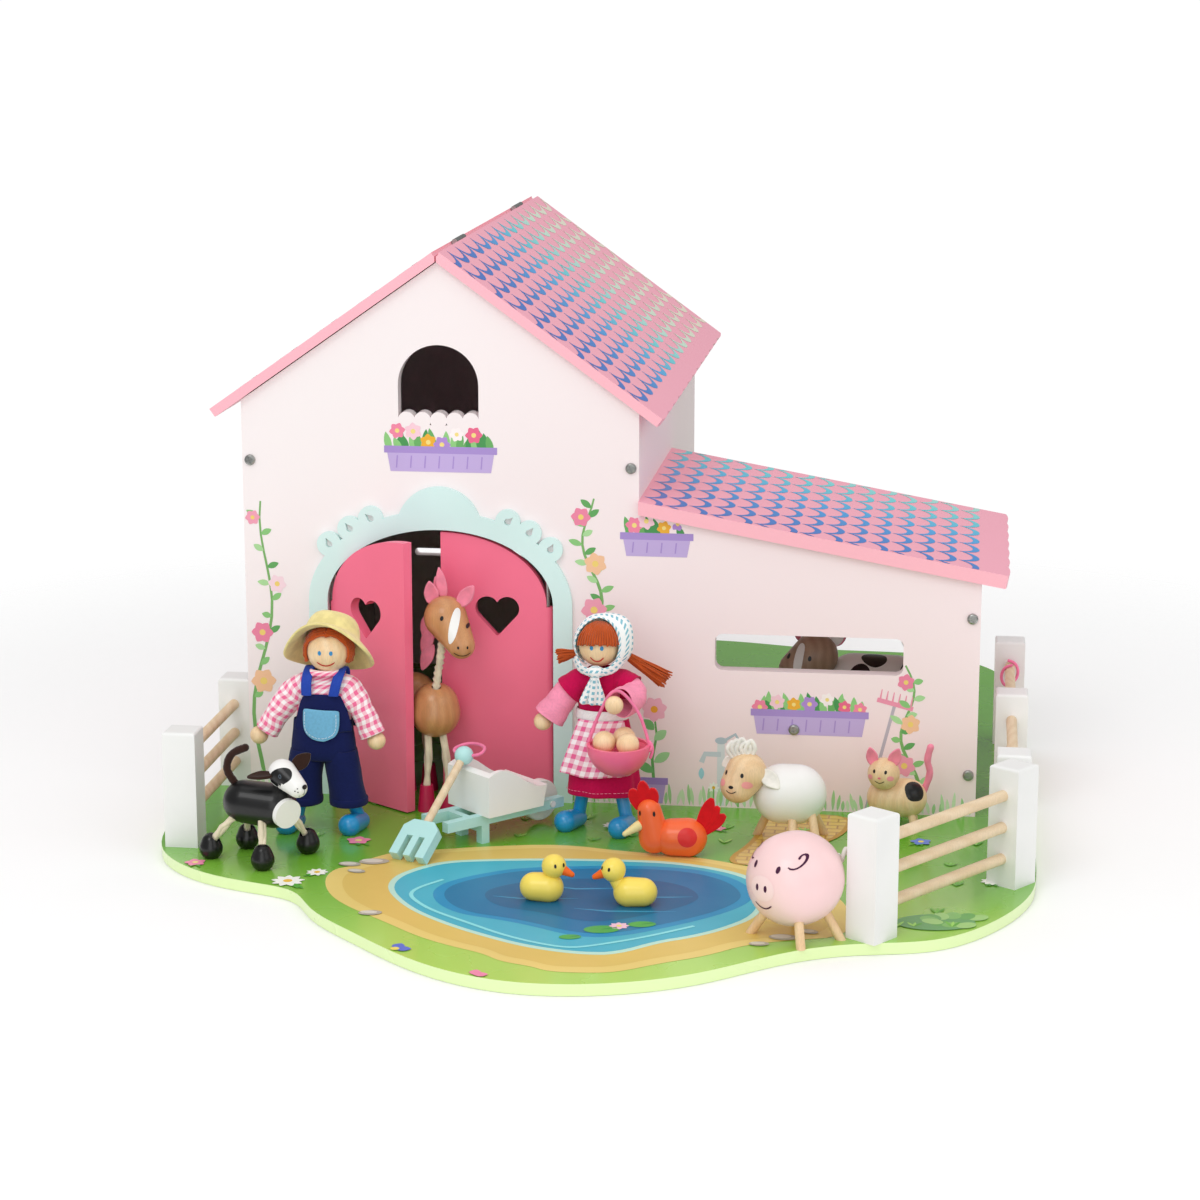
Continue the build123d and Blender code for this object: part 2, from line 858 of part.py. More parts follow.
def barrow_tray():
    """Open tray with a high back and sides that wave down to the front."""
    half = tray_length / 2
    side = [
        Line((-half, 0), (-half, tray_height)),
        Spline((-half, tray_height), (-half * 0.15, tray_height * 0.99),
               (half * 0.55, tray_front_height * 1.08), (half, tray_front_height)),
        Line((half, tray_front_height), (half - 2.5, 0)),
        Line((half - 2.5, 0), (-half, 0)),
    ]
    outer = Pos(0, tray_width / 2, 0) * extrude(Plane.XZ * make_face(side), amount=tray_width)
    inner = Pos(-0.6, 0, tray_wall + tray_height) * Box(
        tray_length - 2 * tray_wall - 2, tray_width - 2 * tray_wall, 2 * tray_height)
    return barrow_frame_plane() * Pos(0, 0, beam_top()) * (outer - inner)


def barrow_frame():
    """Two beams, their cross piece and the legs, cut from one board."""
    length = frame_back + frame_front
    middle = (frame_front - frame_back) / 2
    height = barrow_leg_height + beam_height / 2
    parts = []
    for side in (-1, 1):
        y = side * (frame_width - beam_width) / 2
        parts.append(Pos(middle, y, height) * Box(length, beam_width, beam_height))
        leg = Pos(-tray_length / 2 + 2.5, y, barrow_leg_height / 2)
        parts.append(leg * Box(5.0, beam_width, barrow_leg_height))
    parts.append(Pos(-tray_length / 2 + 2.5, 0, barrow_leg_height * 0.8) * Box(
        5.0, frame_width - beam_width, barrow_leg_height * 0.4))
    parts.append(Pos(-frame_back * 0.62, 0, height) * Box(4.0, frame_width - beam_width,
                                                         beam_height))
    frame = parts[0]
    for part in parts[1:]:
        frame += part
    hole = disc(axle_plane(-frame_width), axle_radius + running_clearance, 2 * frame_width)
    return barrow_frame_plane() * (frame - hole)


def axle_plane(y):
    """Plane across the axle, in the barrow's own axes."""
    height = barrow_leg_height + beam_height / 2
    return Plane(origin=(wheel_forward, y, height), z_dir=(0, 1, 0))


def barrow_wheel():
    """Wheel on its axle, between the beams."""
    axle = disc(axle_plane(-frame_width / 2 - 0.8), axle_radius, frame_width + 1.6)
    wheel = disc(axle_plane(-wheel_width / 2), wheel_radius_fit(), wheel_width)
    wheel = chamfer(wheel.edges().filter_by(GeomType.CIRCLE), 0.6)
    return barrow_frame_plane() * (wheel + axle)


def wheel_radius_fit():
    """Wheel's radius, held just clear of the board."""
    height = barrow_leg_height + beam_height / 2
    return min(wheel_radius, height - rest_gap)


def fork_run():
    """From the tines' tips to the middle of the ball at the shaft's end."""
    lift = floor + fork_head_thickness * 0.37 + rest_gap
    return Vector(*fork_tip, lift), Vector(*fork_top, floor + fork_ball_height)


def fork_axes():
    """Fork's plane: Z up the shaft from the tines' tips, X across the head."""
    start, end = fork_run()
    up = end - start
    across = Vector(up.Y, -up.X, 0)
    return Plane(origin=start, x_dir=across, z_dir=up)


def fork_reach():
    """Length from the tines' tips to the middle of the ball."""
    start, end = fork_run()
    return (end - start).length


def fork_head():
    """Three-tined head and the ball at the shaft's other end."""
    width = fork_head_width
    reach = fork_reach()
    head = Pos(0, 0, fork_head_length / 2) * Box(width, fork_head_thickness, fork_head_length)
    shoulders = head.edges().filter_by(Axis.Y).sort_by(Axis.Z)[-2:]
    head = chamfer(shoulders, 4.5)
    for side in (-1, 1):
        slot = Box(fork_slot, fork_head_thickness * 2, fork_head_length * 1.1)
        head -= Pos(side * width / 6 * 1.06, 0, 0) * slot
    shaft = fork_dowel()
    knob = ball((0, 0, reach), fork_ball_radius)
    eye = rod((-fork_ball_radius * 2, 0, reach + 0.8), (fork_ball_radius * 2, 0, reach + 0.8),
              fork_cord_radius + running_clearance)
    return group(fork_axes() * (head - shaft), fork_axes() * (knob - shaft - eye))


def fork_dowel():
    """Dowel shaft in the fork's own axes."""
    start = fork_head_length - 5
    return disc(Plane.XY.offset(start), fork_shaft_radius, fork_reach() - 2.4 - start)


def fork_shaft():
    """Dowel shaft of the fork."""
    return fork_axes() * fork_dowel()


def fork_cord():
    """Hanging loop through the fork's ball, its slack lying over the tray's back."""
    middle = fork_reach() + 0.8
    side = fork_ball_radius + 0.4
    local = [
        (side - 0.9, 0, middle), (side + 2.2, 0.3, middle + 0.8), (side + 4.0, 1.4, middle + 4.6),
        (side + 1.6, 3.4, middle + 9.4), (-1.0, 4.2, middle + 11.0),
        (-side - 1.0, 3.6, middle + 8.6), (-side - 3.6, 1.6, middle + 4.2),
        (-side - 2.0, 0.4, middle + 0.7), (-side + 0.9, 0, middle),
    ]
    axes = fork_axes()
    points = [tuple(axes.from_local_coords(Vector(*point))) for point in local]
    return cord("fork_cord", points, fork_cord_radius)


def carve(body, *inserts):
    """Body with the pieces that are let into it cut out."""
    for insert in inserts:
        body -= insert
    return body


def legs(place, tops, feet, height, radius):
    """Dowel legs of an animal."""
    return [standing_leg(toy(place, top, height), toy(place, foot, 0), radius)
            for top, foot in zip(tops, feet)]


def ear(root, tip, width, thickness, facing=(0, -1, 0)):
    """Flat felt leaf from its root to its tip, its face turned to a direction."""
    start = Vector(*root)
    run = Vector(*tip) - start
    length = run.length
    across = run.cross(Vector(*facing))
    plane = Plane(origin=start, x_dir=across, z_dir=run.cross(across))
    outline = ((0, 0), (width / 2, length * 0.45), (0, length), (-width / 2, length * 0.45))
    if plane.y_dir.dot(run) < 0:
        outline = [(x, -y) for x, y in outline]
    return felt(outline, plane, thickness)


def horse_bodies():
    """Chest and rump, turned balls."""
    turn = radians(horse_heading)
    step = (horse_reach * cos(turn), horse_reach * sin(turn))
    chest = egg(toy(horse_place, (0, 0), horse_height - 1.5),
                toy(horse_place, (0, 0), horse_height + 2.5), horse_chest, horse_chest - 0.8)
    rump = egg(toy(horse_place, step, horse_height - 2.0),
               toy(horse_place, step, horse_height + 1.5), horse_rump, horse_rump - 0.4)
    return chest, rump, step


def build_horse():
    """Horse: two balls and a head on cord, with wooden hooves and felt trimmings."""
    chest, rump, step = horse_bodies()
    head = egg(toy(horse_place, (7.4, -5.5), 111.5), toy(horse_place, (18.0, -15.0), 98.0),
               12.0, 7.6)
    roots = ((-3.5, -3), (4.0, -2), (step[0] - 3.5, step[1]), (step[0] + 4.5, step[1] + 1))
    feet = ((-4.0, -8.5), (8.2, -5.0), (step[0] - 5.0, step[1] + 4), (step[0] + 7.0, step[1] + 7))
    cords = []
    hooves = []
    for root, foot in zip(roots, feet):
        top = toy(horse_place, root, horse_height - 8)
        ankle = toy(horse_place, foot, hoof_height - 4)
        cords.append(rod(top, ankle, horse_cord))
        cone = Plane(origin=toy(horse_place, foot, 0))
        hoof = cone * Cone(hoof_radius, horse_cord + 0.9, hoof_height,
                           align=(Align.CENTER, Align.CENTER, Align.MIN))
        hooves.append(hoof)
    neck = rod(toy(horse_place, (0.5, -4), horse_height + 8), toy(horse_place, (6.5, -7), 104.0),
               horse_cord)
    waist = rod(toy(horse_place, (0, 0), horse_height),
                toy(horse_place, step, horse_height), horse_cord)
    trimmings = group(
        ear(toy(horse_place, (1.0, -5.0), 118.5), toy(horse_place, (-1.5, -6.0), 132.0), 8.5, 1.4),
        ear(toy(horse_place, (15.5, -7.0), 119.0), toy(horse_place, (24.0, -8.0), 130.5), 8.5, 1.4),
        ear(toy(horse_place, (6.0, -1.5), 120.5), toy(horse_place, (2.5, -1.0), 139.5), 10.0, 2.4),
        ear(toy(horse_place, (-2.0, 3.0), 112.0), toy(horse_place, (-5.5, 5.5), 76.0), 11.0, 2.4),
        egg(toy(horse_place, (step[0] - 3.0, step[1] + 13.0), horse_height + 6),
            toy(horse_place, (step[0] - 7.0, step[1] + 20.0), horse_height - 24), 2.8, 1.6),
    )
    hooves = [carve(hoof, *cords) for hoof in hooves]
    keep("horse_body", group(*[carve(body, neck, waist, *cords) for body in (chest, rump)]))
    keep("horse_head", carve(head, neck))
    keep("horse_cords", group(neck, waist, *cords))
    keep("horse_hooves", group(*hooves))
    keep("horse_felt", group(*[carve(piece, head, chest, rump, neck)
                               for piece in trimmings.solids()]))


def build_cow():
    """Cow in the lean-to: body, head, ears and tail in one node and dowel legs in the other."""
    body = egg(toy(cow_place, (2, 0), cow_height), toy(cow_place, (26, 0), cow_height + 1),
               cow_radius, cow_radius - 1.5)
    head = egg(toy(cow_place, (-20.5, -7), cow_height + 17.0),
               toy(cow_place, (-31.5, -12), cow_height + 10.0), cow_head, cow_head - 3.5)
    head = head + rod(toy(cow_place, (-18, -5), cow_height + 12),
                      toy(cow_place, (-4, -1), cow_height + 6), 4.0)
    tail = egg(toy(cow_place, (40, 1), cow_height + 6), toy(cow_place, (31, -10), cow_height + 28),
               1.9, 1.9)
    ears = [ear(toy(cow_place, (-12.5, -6), cow_height + 24.5),
                toy(cow_place, (-3.5, -6), cow_height + 29.5), 7.0, 1.4),
            ear(toy(cow_place, (-26.5, 3), cow_height + 25.0),
                toy(cow_place, (-33.0, 8), cow_height + 28.0), 7.0, 1.4)]
    tops = ((-3, -7), (-3, 7), (26, -7), (26, 7))
    feet = ((-8, -10), (-8, 10), (31, -10), (31, 10))
    dowels = legs(cow_place, tops, feet, cow_height - 5, dowel_leg)
    body = carve(body, *dowels)
    head = carve(head, body)
    keep("cow_body", group(body, head, carve(tail, body), *[carve(e, head) for e in ears]))
    keep("cow_legs", group(*dowels))


def build_sheep():
    """Sheep: white body, natural head and legs, felt ears and tuft."""
    body = egg(toy(sheep_place, (-3.7, 0), sheep_height), toy(sheep_place, (3.9, 0), sheep_height),
               sheep_radius, sheep_radius)
    head = egg(toy(sheep_place, (-23.0, -7.5), 41.0), toy(sheep_place, (-27.2, -10.0), 34.5),
               11.2, 9.6)
    tops = ((-9, 5), (2, -7), (10, 7), (12, -7))
    feet = ((-18.3, 13.5), (3.3, -19.5), (18.4, 18.3), (17.0, -17.0))
    dowels = legs(sheep_place, tops, feet, sheep_height - 6, dowel_leg)
    soft = [
        ear(toy(sheep_place, (-14.0, -10.5), 43.0), toy(sheep_place, (-5.5, -14.0), 35.0), 9.0, 1.6),
        ear(toy(sheep_place, (-30.0, 1.0), 46.0), toy(sheep_place, (-36.0, 4.0), 42.0), 8.0, 1.6),
        egg(toy(sheep_place, (-30.0, -8.0), 53.5), toy(sheep_place, (-22.5, -8.0), 55.0), 3.6, 4.4),
    ]
    keep("sheep_body", carve(body, *dowels, head))
    keep("sheep_head_and_legs", group(head, *dowels))
    keep("sheep_felt", group(*[carve(piece, head, body) for piece in soft]))


def build_pig():
    """Pig: one painted ball on four dowels."""
    body = egg(toy(pig_place, (-0.8, -0.4), pig_height), toy(pig_place, (1.2, 0.6), pig_height + 0.4),
               pig_radius, pig_radius)
    tops = ((-10, -4), (2, -11), (12, 0), (2, 10))
    feet = ((-21.5, 2.0), (4.5, -19.0), (23.0, -2.5), (-1.0, 20.0))
    dowels = legs(pig_place, tops, feet, pig_height - 10, dowel_leg)
    keep("pig_body", carve(body, *dowels))
    keep("pig_legs", group(*dowels))


def build_cat():
    """Cat: natural body, head and legs, felt ears and tail."""
    body = egg(toy(cat_place, (-6.0, 0), cat_height), toy(cat_place, (5.5, 0), cat_height),
               cat_radius, cat_radius)
    head = ball(toy(cat_place, (-7.6, -7.0), 32.0), cat_head)
    tops = ((-7, -4), (-7, 4), (7, -4), (7, 4))
    feet = ((-9.5, -7.5), (-7.0, 8.0), (10.5, -7.0), (10.0, 8.5))
    dowels = legs(cat_place, tops, feet, cat_height - 5, dowel_leg - 0.2)
    soft = [
        ear(toy(cat_place, (-13.0, -8.5), 37.5), toy(cat_place, (-15.5, -9.5), 47.5), 6.0, 1.4),
        ear(toy(cat_place, (-3.5, -9.0), 37.5), toy(cat_place, (0.5, -10.5), 47.5), 7.0, 1.4),
        egg(toy(cat_place, (14.5, 2.5), cat_height + 4), toy(cat_place, (16.5, 1.5), 44.0), 2.0, 2.0),
    ]
    body = carve(body, *dowels, head)
    keep("cat_wood", group(body, head, *dowels))
    keep("cat_felt", group(*[carve(piece, head, body) for piece in soft]))


def build_dog():
    """Dog: black two-lobed body and feet, white head, cord legs, felt ears and tail."""
    rear = toy(dog_place, (-9.0, 0), dog_height + 1.5)
    front = toy(dog_place, (7.5, -1.0), dog_height)
    body = egg(rear, front, dog_radius - 0.5, dog_radius)
    head = egg(toy(dog_place, (12.5, -2.5), dog_height + 18.5),
               toy(dog_place, (22.0, -8.5), dog_height + 12.5), 7.6, 5.2)
    roots = ((-13, -5), (2, -8), (14, 4), (-10, 8))
    feet = ((-28.0, -0.5), (4.2, -16.5), (21.5, 14.5), (-13.0, 19.0))
    cords = [rod(toy(dog_place, root, dog_height - 5), toy(dog_place, foot, dog_foot + 2), dog_cord)
             for root, foot in zip(roots, feet)]
    shoes = [on_floor(egg(toy(dog_place, foot, dog_foot - 1), toy(dog_place, foot, dog_foot + 2.5),
                          dog_foot, dog_foot - 1.3)) for foot in feet]
    soft = [
        ear(toy(dog_place, (17.5, 0.5), dog_height + 21.5),
            toy(dog_place, (26.0, 4.0), dog_height + 27.5), 7.0, 1.6),
        ear(toy(dog_place, (8.5, -7.5), dog_height + 18.5),
            toy(dog_place, (-3.5, -8.5), dog_height + 18.0), 6.0, 1.6, (0, -0.4, 1)),
        egg(toy(dog_place, (-14.0, 1.5), dog_height + 12), toy(dog_place, (-10.0, 2.0), 58.0), 2.0, 2.2),
    ]
    facing = Vector(1, -0.9, -0.2).normalized()
    chest_spot = Vector(*front) + facing * (dog_radius - 2.2)
    chest = disc(Plane(origin=chest_spot, z_dir=facing), 8.0, 3.0)
    body = carve(body, *cords)
    keep("dog_body", group(body, *[carve(shoe, *cords) for shoe in shoes]))
    keep("dog_head", group(carve(head, body), carve(chest, body, *cords)))
    keep("dog_cords", group(*cords))
    keep("dog_felt", group(*[carve(piece, head, body) for piece in soft]))


def build_hen():
    """Hen: turned body and neck, felt comb and tail."""
    body = egg(toy(hen_place, (4.5, 0), 10.2), toy(hen_place, (-4.0, 0), 10.0),
               hen_radius - 0.6, hen_radius - 1.0)
    neck = egg(toy(hen_place, (-13.5, -1.0), 9.5), toy(hen_place, (-16.3, -1.2), 25.0),
               hen_neck, 6.4)
    beak = egg(toy(hen_place, (-21.0, -5.0), 17.5), toy(hen_place, (-28.5, -9.0), 13.5), 2.6, 1.2)
    whole = on_floor(body + neck + beak)
    comb = ear(toy(hen_place, (-16.8, -1.2), 27.5), toy(hen_place, (-19.0, -1.4), 41.5), 13.0, 2.6)
    tail = ear(toy(hen_place, (11.5, 0.5), 12.5), toy(hen_place, (24.5, 1.5), 31.0), 9.0, 4.0)
    keep("hen_body", whole)
    keep("hen_felt", group(carve(comb, whole), carve(tail, whole)))


def duck(place, facing, reach):
    """Duck with a flat underside, looking along +X or -X, its head a reach in front."""
    body = egg(toy(place, (-facing * 4.2, 0), duck_radius - 0.6),
               toy(place, (facing * 3.4, 0), duck_radius - 0.8), duck_radius - 0.4, duck_radius)
    head = ball(toy(place, (facing * reach, 0), 18.4), duck_head)
    neck = rod(toy(place, (facing * (reach - 3.6), 0), 9.0), toy(place, (facing * reach, 0), 16.0),
               3.6)
    beak = egg(toy(place, (facing * (reach + 4.8), -0.6), 16.6),
               toy(place, (facing * (reach + 9.4), -1.2), 14.6), 2.4, 1.2)
    return on_floor(body + neck + head + beak)


def boot(place, heel, toe, ankle):
    """Wooden boot with a flat sole and its round ankle."""
    sole = egg(toy(place, heel, 4.0), toy(place, toe, 5.0), doll_boot - 1.2, doll_boot)
    shank = rod(toy(place, heel, 4.0), toy(place, ankle, 22.0), 3.6)
    return on_floor(sole + shank)


def build_farmer():
    """Farmer doll: wooden head, hands and boots, cloth shirt and dungarees, felt hat."""
    place = farmer_place
    head = ball(toy(place, (4.0, 0), farmer_head_height), doll_head)
    hands = [ball(toy(place, (-35.5, -2.5), 53.5), doll_hand),
             ball(toy(place, (30.0, -2.5), 52.5), doll_hand)]
    boots = [boot(place, (-17.0, 3.0), (-20.0, -9.0), (-12.5, 0)),
             boot(place, (18.5, 6.0), (15.0, -7.0), (13.5, 0))]
    suit = egg(toy(place, (-6.5, 0), 46), toy(place, (-5.0, 0), 80), 10.0, 8.5)
    suit += egg(toy(place, (6.0, 0), 46), toy(place, (5.5, 0), 80), 10.0, 8.5)
    suit += egg(toy(place, (3.0, 0), 76), toy(place, (3.8, 0), 86), 8.0, 7.0)
    suit += rod(toy(place, (-9.5, 0), 48), toy(place, (-11.5, 0), 15.0), 8.3)
    suit += rod(toy(place, (9.5, 0), 48), toy(place, (12.5, 0), 15.0), 8.3)
    suit += egg(toy(place, (-10.5, 0), 81), toy(place, (-30.5, -2), 58.0), 6.2, 5.4)
    suit += egg(toy(place, (11.5, 0), 81), toy(place, (27.0, -2), 58.0), 6.2, 5.4)
    hat_plane = Plane(origin=toy(place, (3.2, 3.0), farmer_head_height + 0.8),
                      x_dir=(1, 0, 0), z_dir=(0, 0.34, 0.94))
    hat = turned(((doll_head + 2.2, 2.0), (doll_head + 12.0, -4.0), (doll_head + 12.0, -1.6),
                  (doll_head + 3.8, 5.5), (doll_head + 1.0, 14.0), (8.0, 18.2), (0, 19.6),
                  (0, 17.4), (7.0, 16.2), (doll_head - 0.6, 12.6)), hat_plane)
    hair = ball(toy(place, (4.0, 2.6), farmer_head_height + 1.4), doll_head + 0.9)
    wood = group(head, *hands)
    keep("farmer_wood", wood)
    keep("farmer_boots", group(*boots))
    keep("farmer_clothes", carve(suit, head, *hands, *boots))
    hair = carve(hair, head, suit)
    keep("farmer_hat", group(carve(hat, head, hair, suit), hair))


def basket_bowl():
    """Turned bowl of the basket, hollow enough to seat the eggs."""
    rim = basket_rim_height
    plane = Plane(origin=toy(basket_place, (0, 0), 0))
    bowl = egg(toy(basket_place, (0, 0), rim - 0.5), toy(basket_place, (0, 0), rim + 0.5),
               basket_radius, basket_radius)
    bowl = split(bowl, bisect_by=Plane.XY.offset(floor + rim), keep=Keep.BOTTOM)
    inner = basket_radius - 1.8
    hollow = turned(((0, rim - basket_hollow), (inner - 4.0, rim - basket_hollow),
                     (inner, rim - 1.5), (inner, rim + 1), (0, rim + 1)), plane)
    return bowl - hollow


def basket_eggs():
    """Three turned eggs in the bowl."""
    seat = basket_rim_height - basket_hollow + egg_radius + rest_gap
    spots = ((-7.6, -1.0), (5.6, -3.9), (2.2, 8.6))
    return [ball(toy(basket_place, spot, seat), egg_radius) for spot in spots]


def basket_cord():
    """Basket's handle: one cord from rim to rim over the doll's wrist."""
    rim = floor + basket_rim_height
    x, y = basket_place
    side = basket_radius - 0.9
    points = [
        (x - side, y + 2.0, rim + 0.3), (x - side + 2.6, y + 2.2, rim + 9.0),
        (x - side + 7.4, y + 2.0, rim + 20.0), (x - 4.6, y + 2.0, rim + 28.0),
        (x - 0.6, y + 2.0, rim + 29.6), (x + 3.6, y + 2.0, rim + 27.0),
        (x + side - 6.2, y + 2.0, rim + 19.0), (x + side - 2.0, y + 2.2, rim + 8.6),
        (x + side, y + 2.0, rim + 0.3),
    ]
    return cord("basket_cord", points, basket_cord_radius)


def build_girl():
    """Girl doll with her basket: wooden head, hands and boots, dress, headscarf and bunches."""
    place = girl_place
    head = ball(toy(place, (-0.5, -0.5), girl_head_height), doll_head - 0.6)
    hands = [ball(toy(place, (-31.5, -4.0), 60.5), doll_hand),
             ball(toy(place, (11.0, -28.5), 77.5), doll_hand)]
    boots = [boot(place, (-13.0, 3.0), (-18.5, -9.0), (-9.5, 0)),
             boot(place, (15.5, -4.0), (12.5, -17.5), (11.0, 0))]
    skirt_plane = Plane(origin=toy(place, (1.5, 1.0), 0))
    skirt = turned(((0, skirt_hem), (14.0, skirt_hem), (7.5, 76.0), (0, 76.0)), skirt_plane)
    dress = Pos(-5.2, 0, 0) * skirt + Pos(5.2, 0, 0) * skirt
    dress += egg(toy(place, (-3.5, 0), 72), toy(place, (-3.5, 0), 86), 8.4, 7.6)
    dress += egg(toy(place, (4.5, 0), 72), toy(place, (4.5, 0), 86), 8.4, 7.6)
    dress += egg(toy(place, (-9.5, 0), 86), toy(place, (-26.5, -3.0), 66.0), 6.0, 6.4)
    dress += egg(toy(place, (11.0, 0), 86), toy(place, (19.5, -7.0), 77.0), 6.0, 6.2)
    dress += egg(toy(place, (19.5, -7.5), 77.0), toy(place, (13.5, -20.0), 76.8), 6.2, 5.8)
    scarf = egg(toy(place, (-0.2, 3.0), girl_head_height + 1.5),
                toy(place, (3.6, 9.0), girl_head_height + 6.5), doll_head + 3.4, doll_head + 0.4)
    face = rod(toy(place, (-0.5, -30), girl_head_height + 1.5),
               toy(place, (-0.5, -3.5), girl_head_height + 1.5), doll_head - 0.2)
    bunches = [
        egg(toy(place, (14.2, 6.0), girl_head_height - 7.5), toy(place, (36.5, 8.0), 82.5), 3.2, 3.0),
        egg(toy(place, (-14.0, 3.0), girl_head_height - 6), toy(place, (-23.0, 4.0), 95.0), 2.8, 3.0),
    ]
    knot = egg(toy(place, (-1.5, -13.0), girl_head_height - 12.0),
               toy(place, (-2.5, -11.5), girl_head_height - 25.5), 4.0, 4.6)
    bowl = basket_bowl()
    eggs = basket_eggs()
    handle = basket_cord()
    dress = carve(dress, head, *hands, *boots)
    scarf = carve(scarf, head, face, dress)
    knot = carve(knot, head, dress)
    wood = group(head, *hands)
    keep("girl_wood", wood)
    keep("girl_boots", group(*boots))
    keep("girl_dress", dress)
    keep("girl_scarf", group(carve(scarf, knot), knot,
                             *[carve(bunch, scarf, dress) for bunch in bunches]))
    keep("basket_bowl", carve(bowl, handle))
    keep("basket_cord", handle)
    keep("basket_eggs", group(*eggs))


def keep(name, shape):
    """Write one sub-part to its file."""
    export_step(shape, f"parts/{name}.step")


def build_house():
    """Board, walls, roofs and trim."""
    keep("base_board", base_board())
    keep("front_wall", front_wall())
    keep("barn_left_wall", barn_side(barn_left, left_eave_z))
    keep("barn_right_wall", barn_side(barn_right - wall_thickness, eave_z))
    keep("barn_back_wall", barn_back_wall())
    keep("lean_to_end_wall", lean_to_end_wall())
    keep("loft_floor", loft_floor())
    keep("lean_to_stay", lean_to_stay())
    keep("right_roof_panel", main_panel(1))
    keep("left_roof_panel", main_panel(-1))
    keep("lean_to_roof", lean_to_roof())
    keep("door_arch_trim", door_arch_trim())
    keep("ridge_hinge_fixed", group(*[s for y in hinge_starts() for s in fixed_hinge_half(y)]))
    keep("ridge_hinge_moving", group(*[moving_hinge_half(y) for y in hinge_starts()]))
    keep("left_door", left_door())
    keep("right_door", door_panel(1))
    keep("door_pins", door_pins())
    screws = [wall_screw(spot) for spot in wall_screw_spots()]
    screws += [base_screw(spot) for spot in base_screw_spots()]
    keep("screws", group(*screws))


def build_yard():
    """Fences, barrow and fork."""
    keep("fence_posts", group(*[fence_post(place) for place in post_places()]))
    keep("fence_rails", group(*[fence_rail(ends) for ends in rail_lines()]))
    keep("halter", halter())
    keep("barrow_tray", barrow_tray())
    keep("barrow_frame", barrow_frame())
    keep("barrow_wheel", barrow_wheel())
    keep("fork_head", fork_head())
    keep("fork_shaft", fork_shaft())
    keep("fork_cord", fork_cord())


os.makedirs("parts", exist_ok=True)
build_house()
build_yard()
build_horse()
build_cow()
build_sheep()
build_pig()
build_cat()
build_dog()
build_hen()
keep("duck_left", duck(duck_left_place, 1, duck_left_reach))
keep("duck_right", duck(duck_right_place, -1, duck_right_reach))
build_farmer()
build_girl()
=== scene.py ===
"""Looks of a wooden toy farm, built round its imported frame.

The farm is a barn and a lean-to on a printed meadow board, with fences, two dolls, nine animals,
a barrow and a fork. Sizes are millimetres in the part's own frame and become metres in the meshes.
"""
import logging
import math
import random
from collections.abc import Iterator
from contextlib import contextmanager
from dataclasses import dataclass
from enum import Enum

import bmesh
import bpy
import numpy as np
from mathutils import Matrix, Vector
from mathutils.bvhtree import BVHTree


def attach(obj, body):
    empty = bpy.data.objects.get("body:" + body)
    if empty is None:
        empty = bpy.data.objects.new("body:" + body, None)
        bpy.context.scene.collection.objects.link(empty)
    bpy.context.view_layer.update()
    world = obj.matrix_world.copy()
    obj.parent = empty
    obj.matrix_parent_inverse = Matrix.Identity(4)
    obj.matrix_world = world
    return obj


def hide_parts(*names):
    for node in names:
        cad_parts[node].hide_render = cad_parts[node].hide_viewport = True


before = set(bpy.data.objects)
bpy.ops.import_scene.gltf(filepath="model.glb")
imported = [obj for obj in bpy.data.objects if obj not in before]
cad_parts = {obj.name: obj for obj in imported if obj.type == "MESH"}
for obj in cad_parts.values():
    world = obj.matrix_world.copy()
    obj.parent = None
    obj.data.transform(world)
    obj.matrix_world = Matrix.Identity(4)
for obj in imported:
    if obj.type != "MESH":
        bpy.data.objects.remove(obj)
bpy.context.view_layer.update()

MM = 0.001
FLOOR = 6.0
FRONT_FACE = -52.5
Color = tuple[float, float, float]
Point = tuple[float, float, float]
Flat = tuple[float, float]
Mesh, Piece = bpy.types.Mesh, bpy.types.Object
Socket, Nodes = bpy.types.NodeSocket, bpy.types.NodeTree
log = logging.getLogger("toy_farm")

# Heights of painted marks over the surface that they lie on
PATCH_LIFT = 0.12
OVAL_LIFT = 0.16
LINE_LIFT = 0.2
DOT_LIFT = 0.26


def rgb(code: str) -> Color:
    """Scene-linear colour of a hexadecimal paint code."""
    shares = [int(code[i:i + 2], 16) / 255 for i in (0, 2, 4)]
    return tuple(s / 12.92 if s <= 0.04045 else ((s + 0.055) / 1.055) ** 2.4 for s in shares)


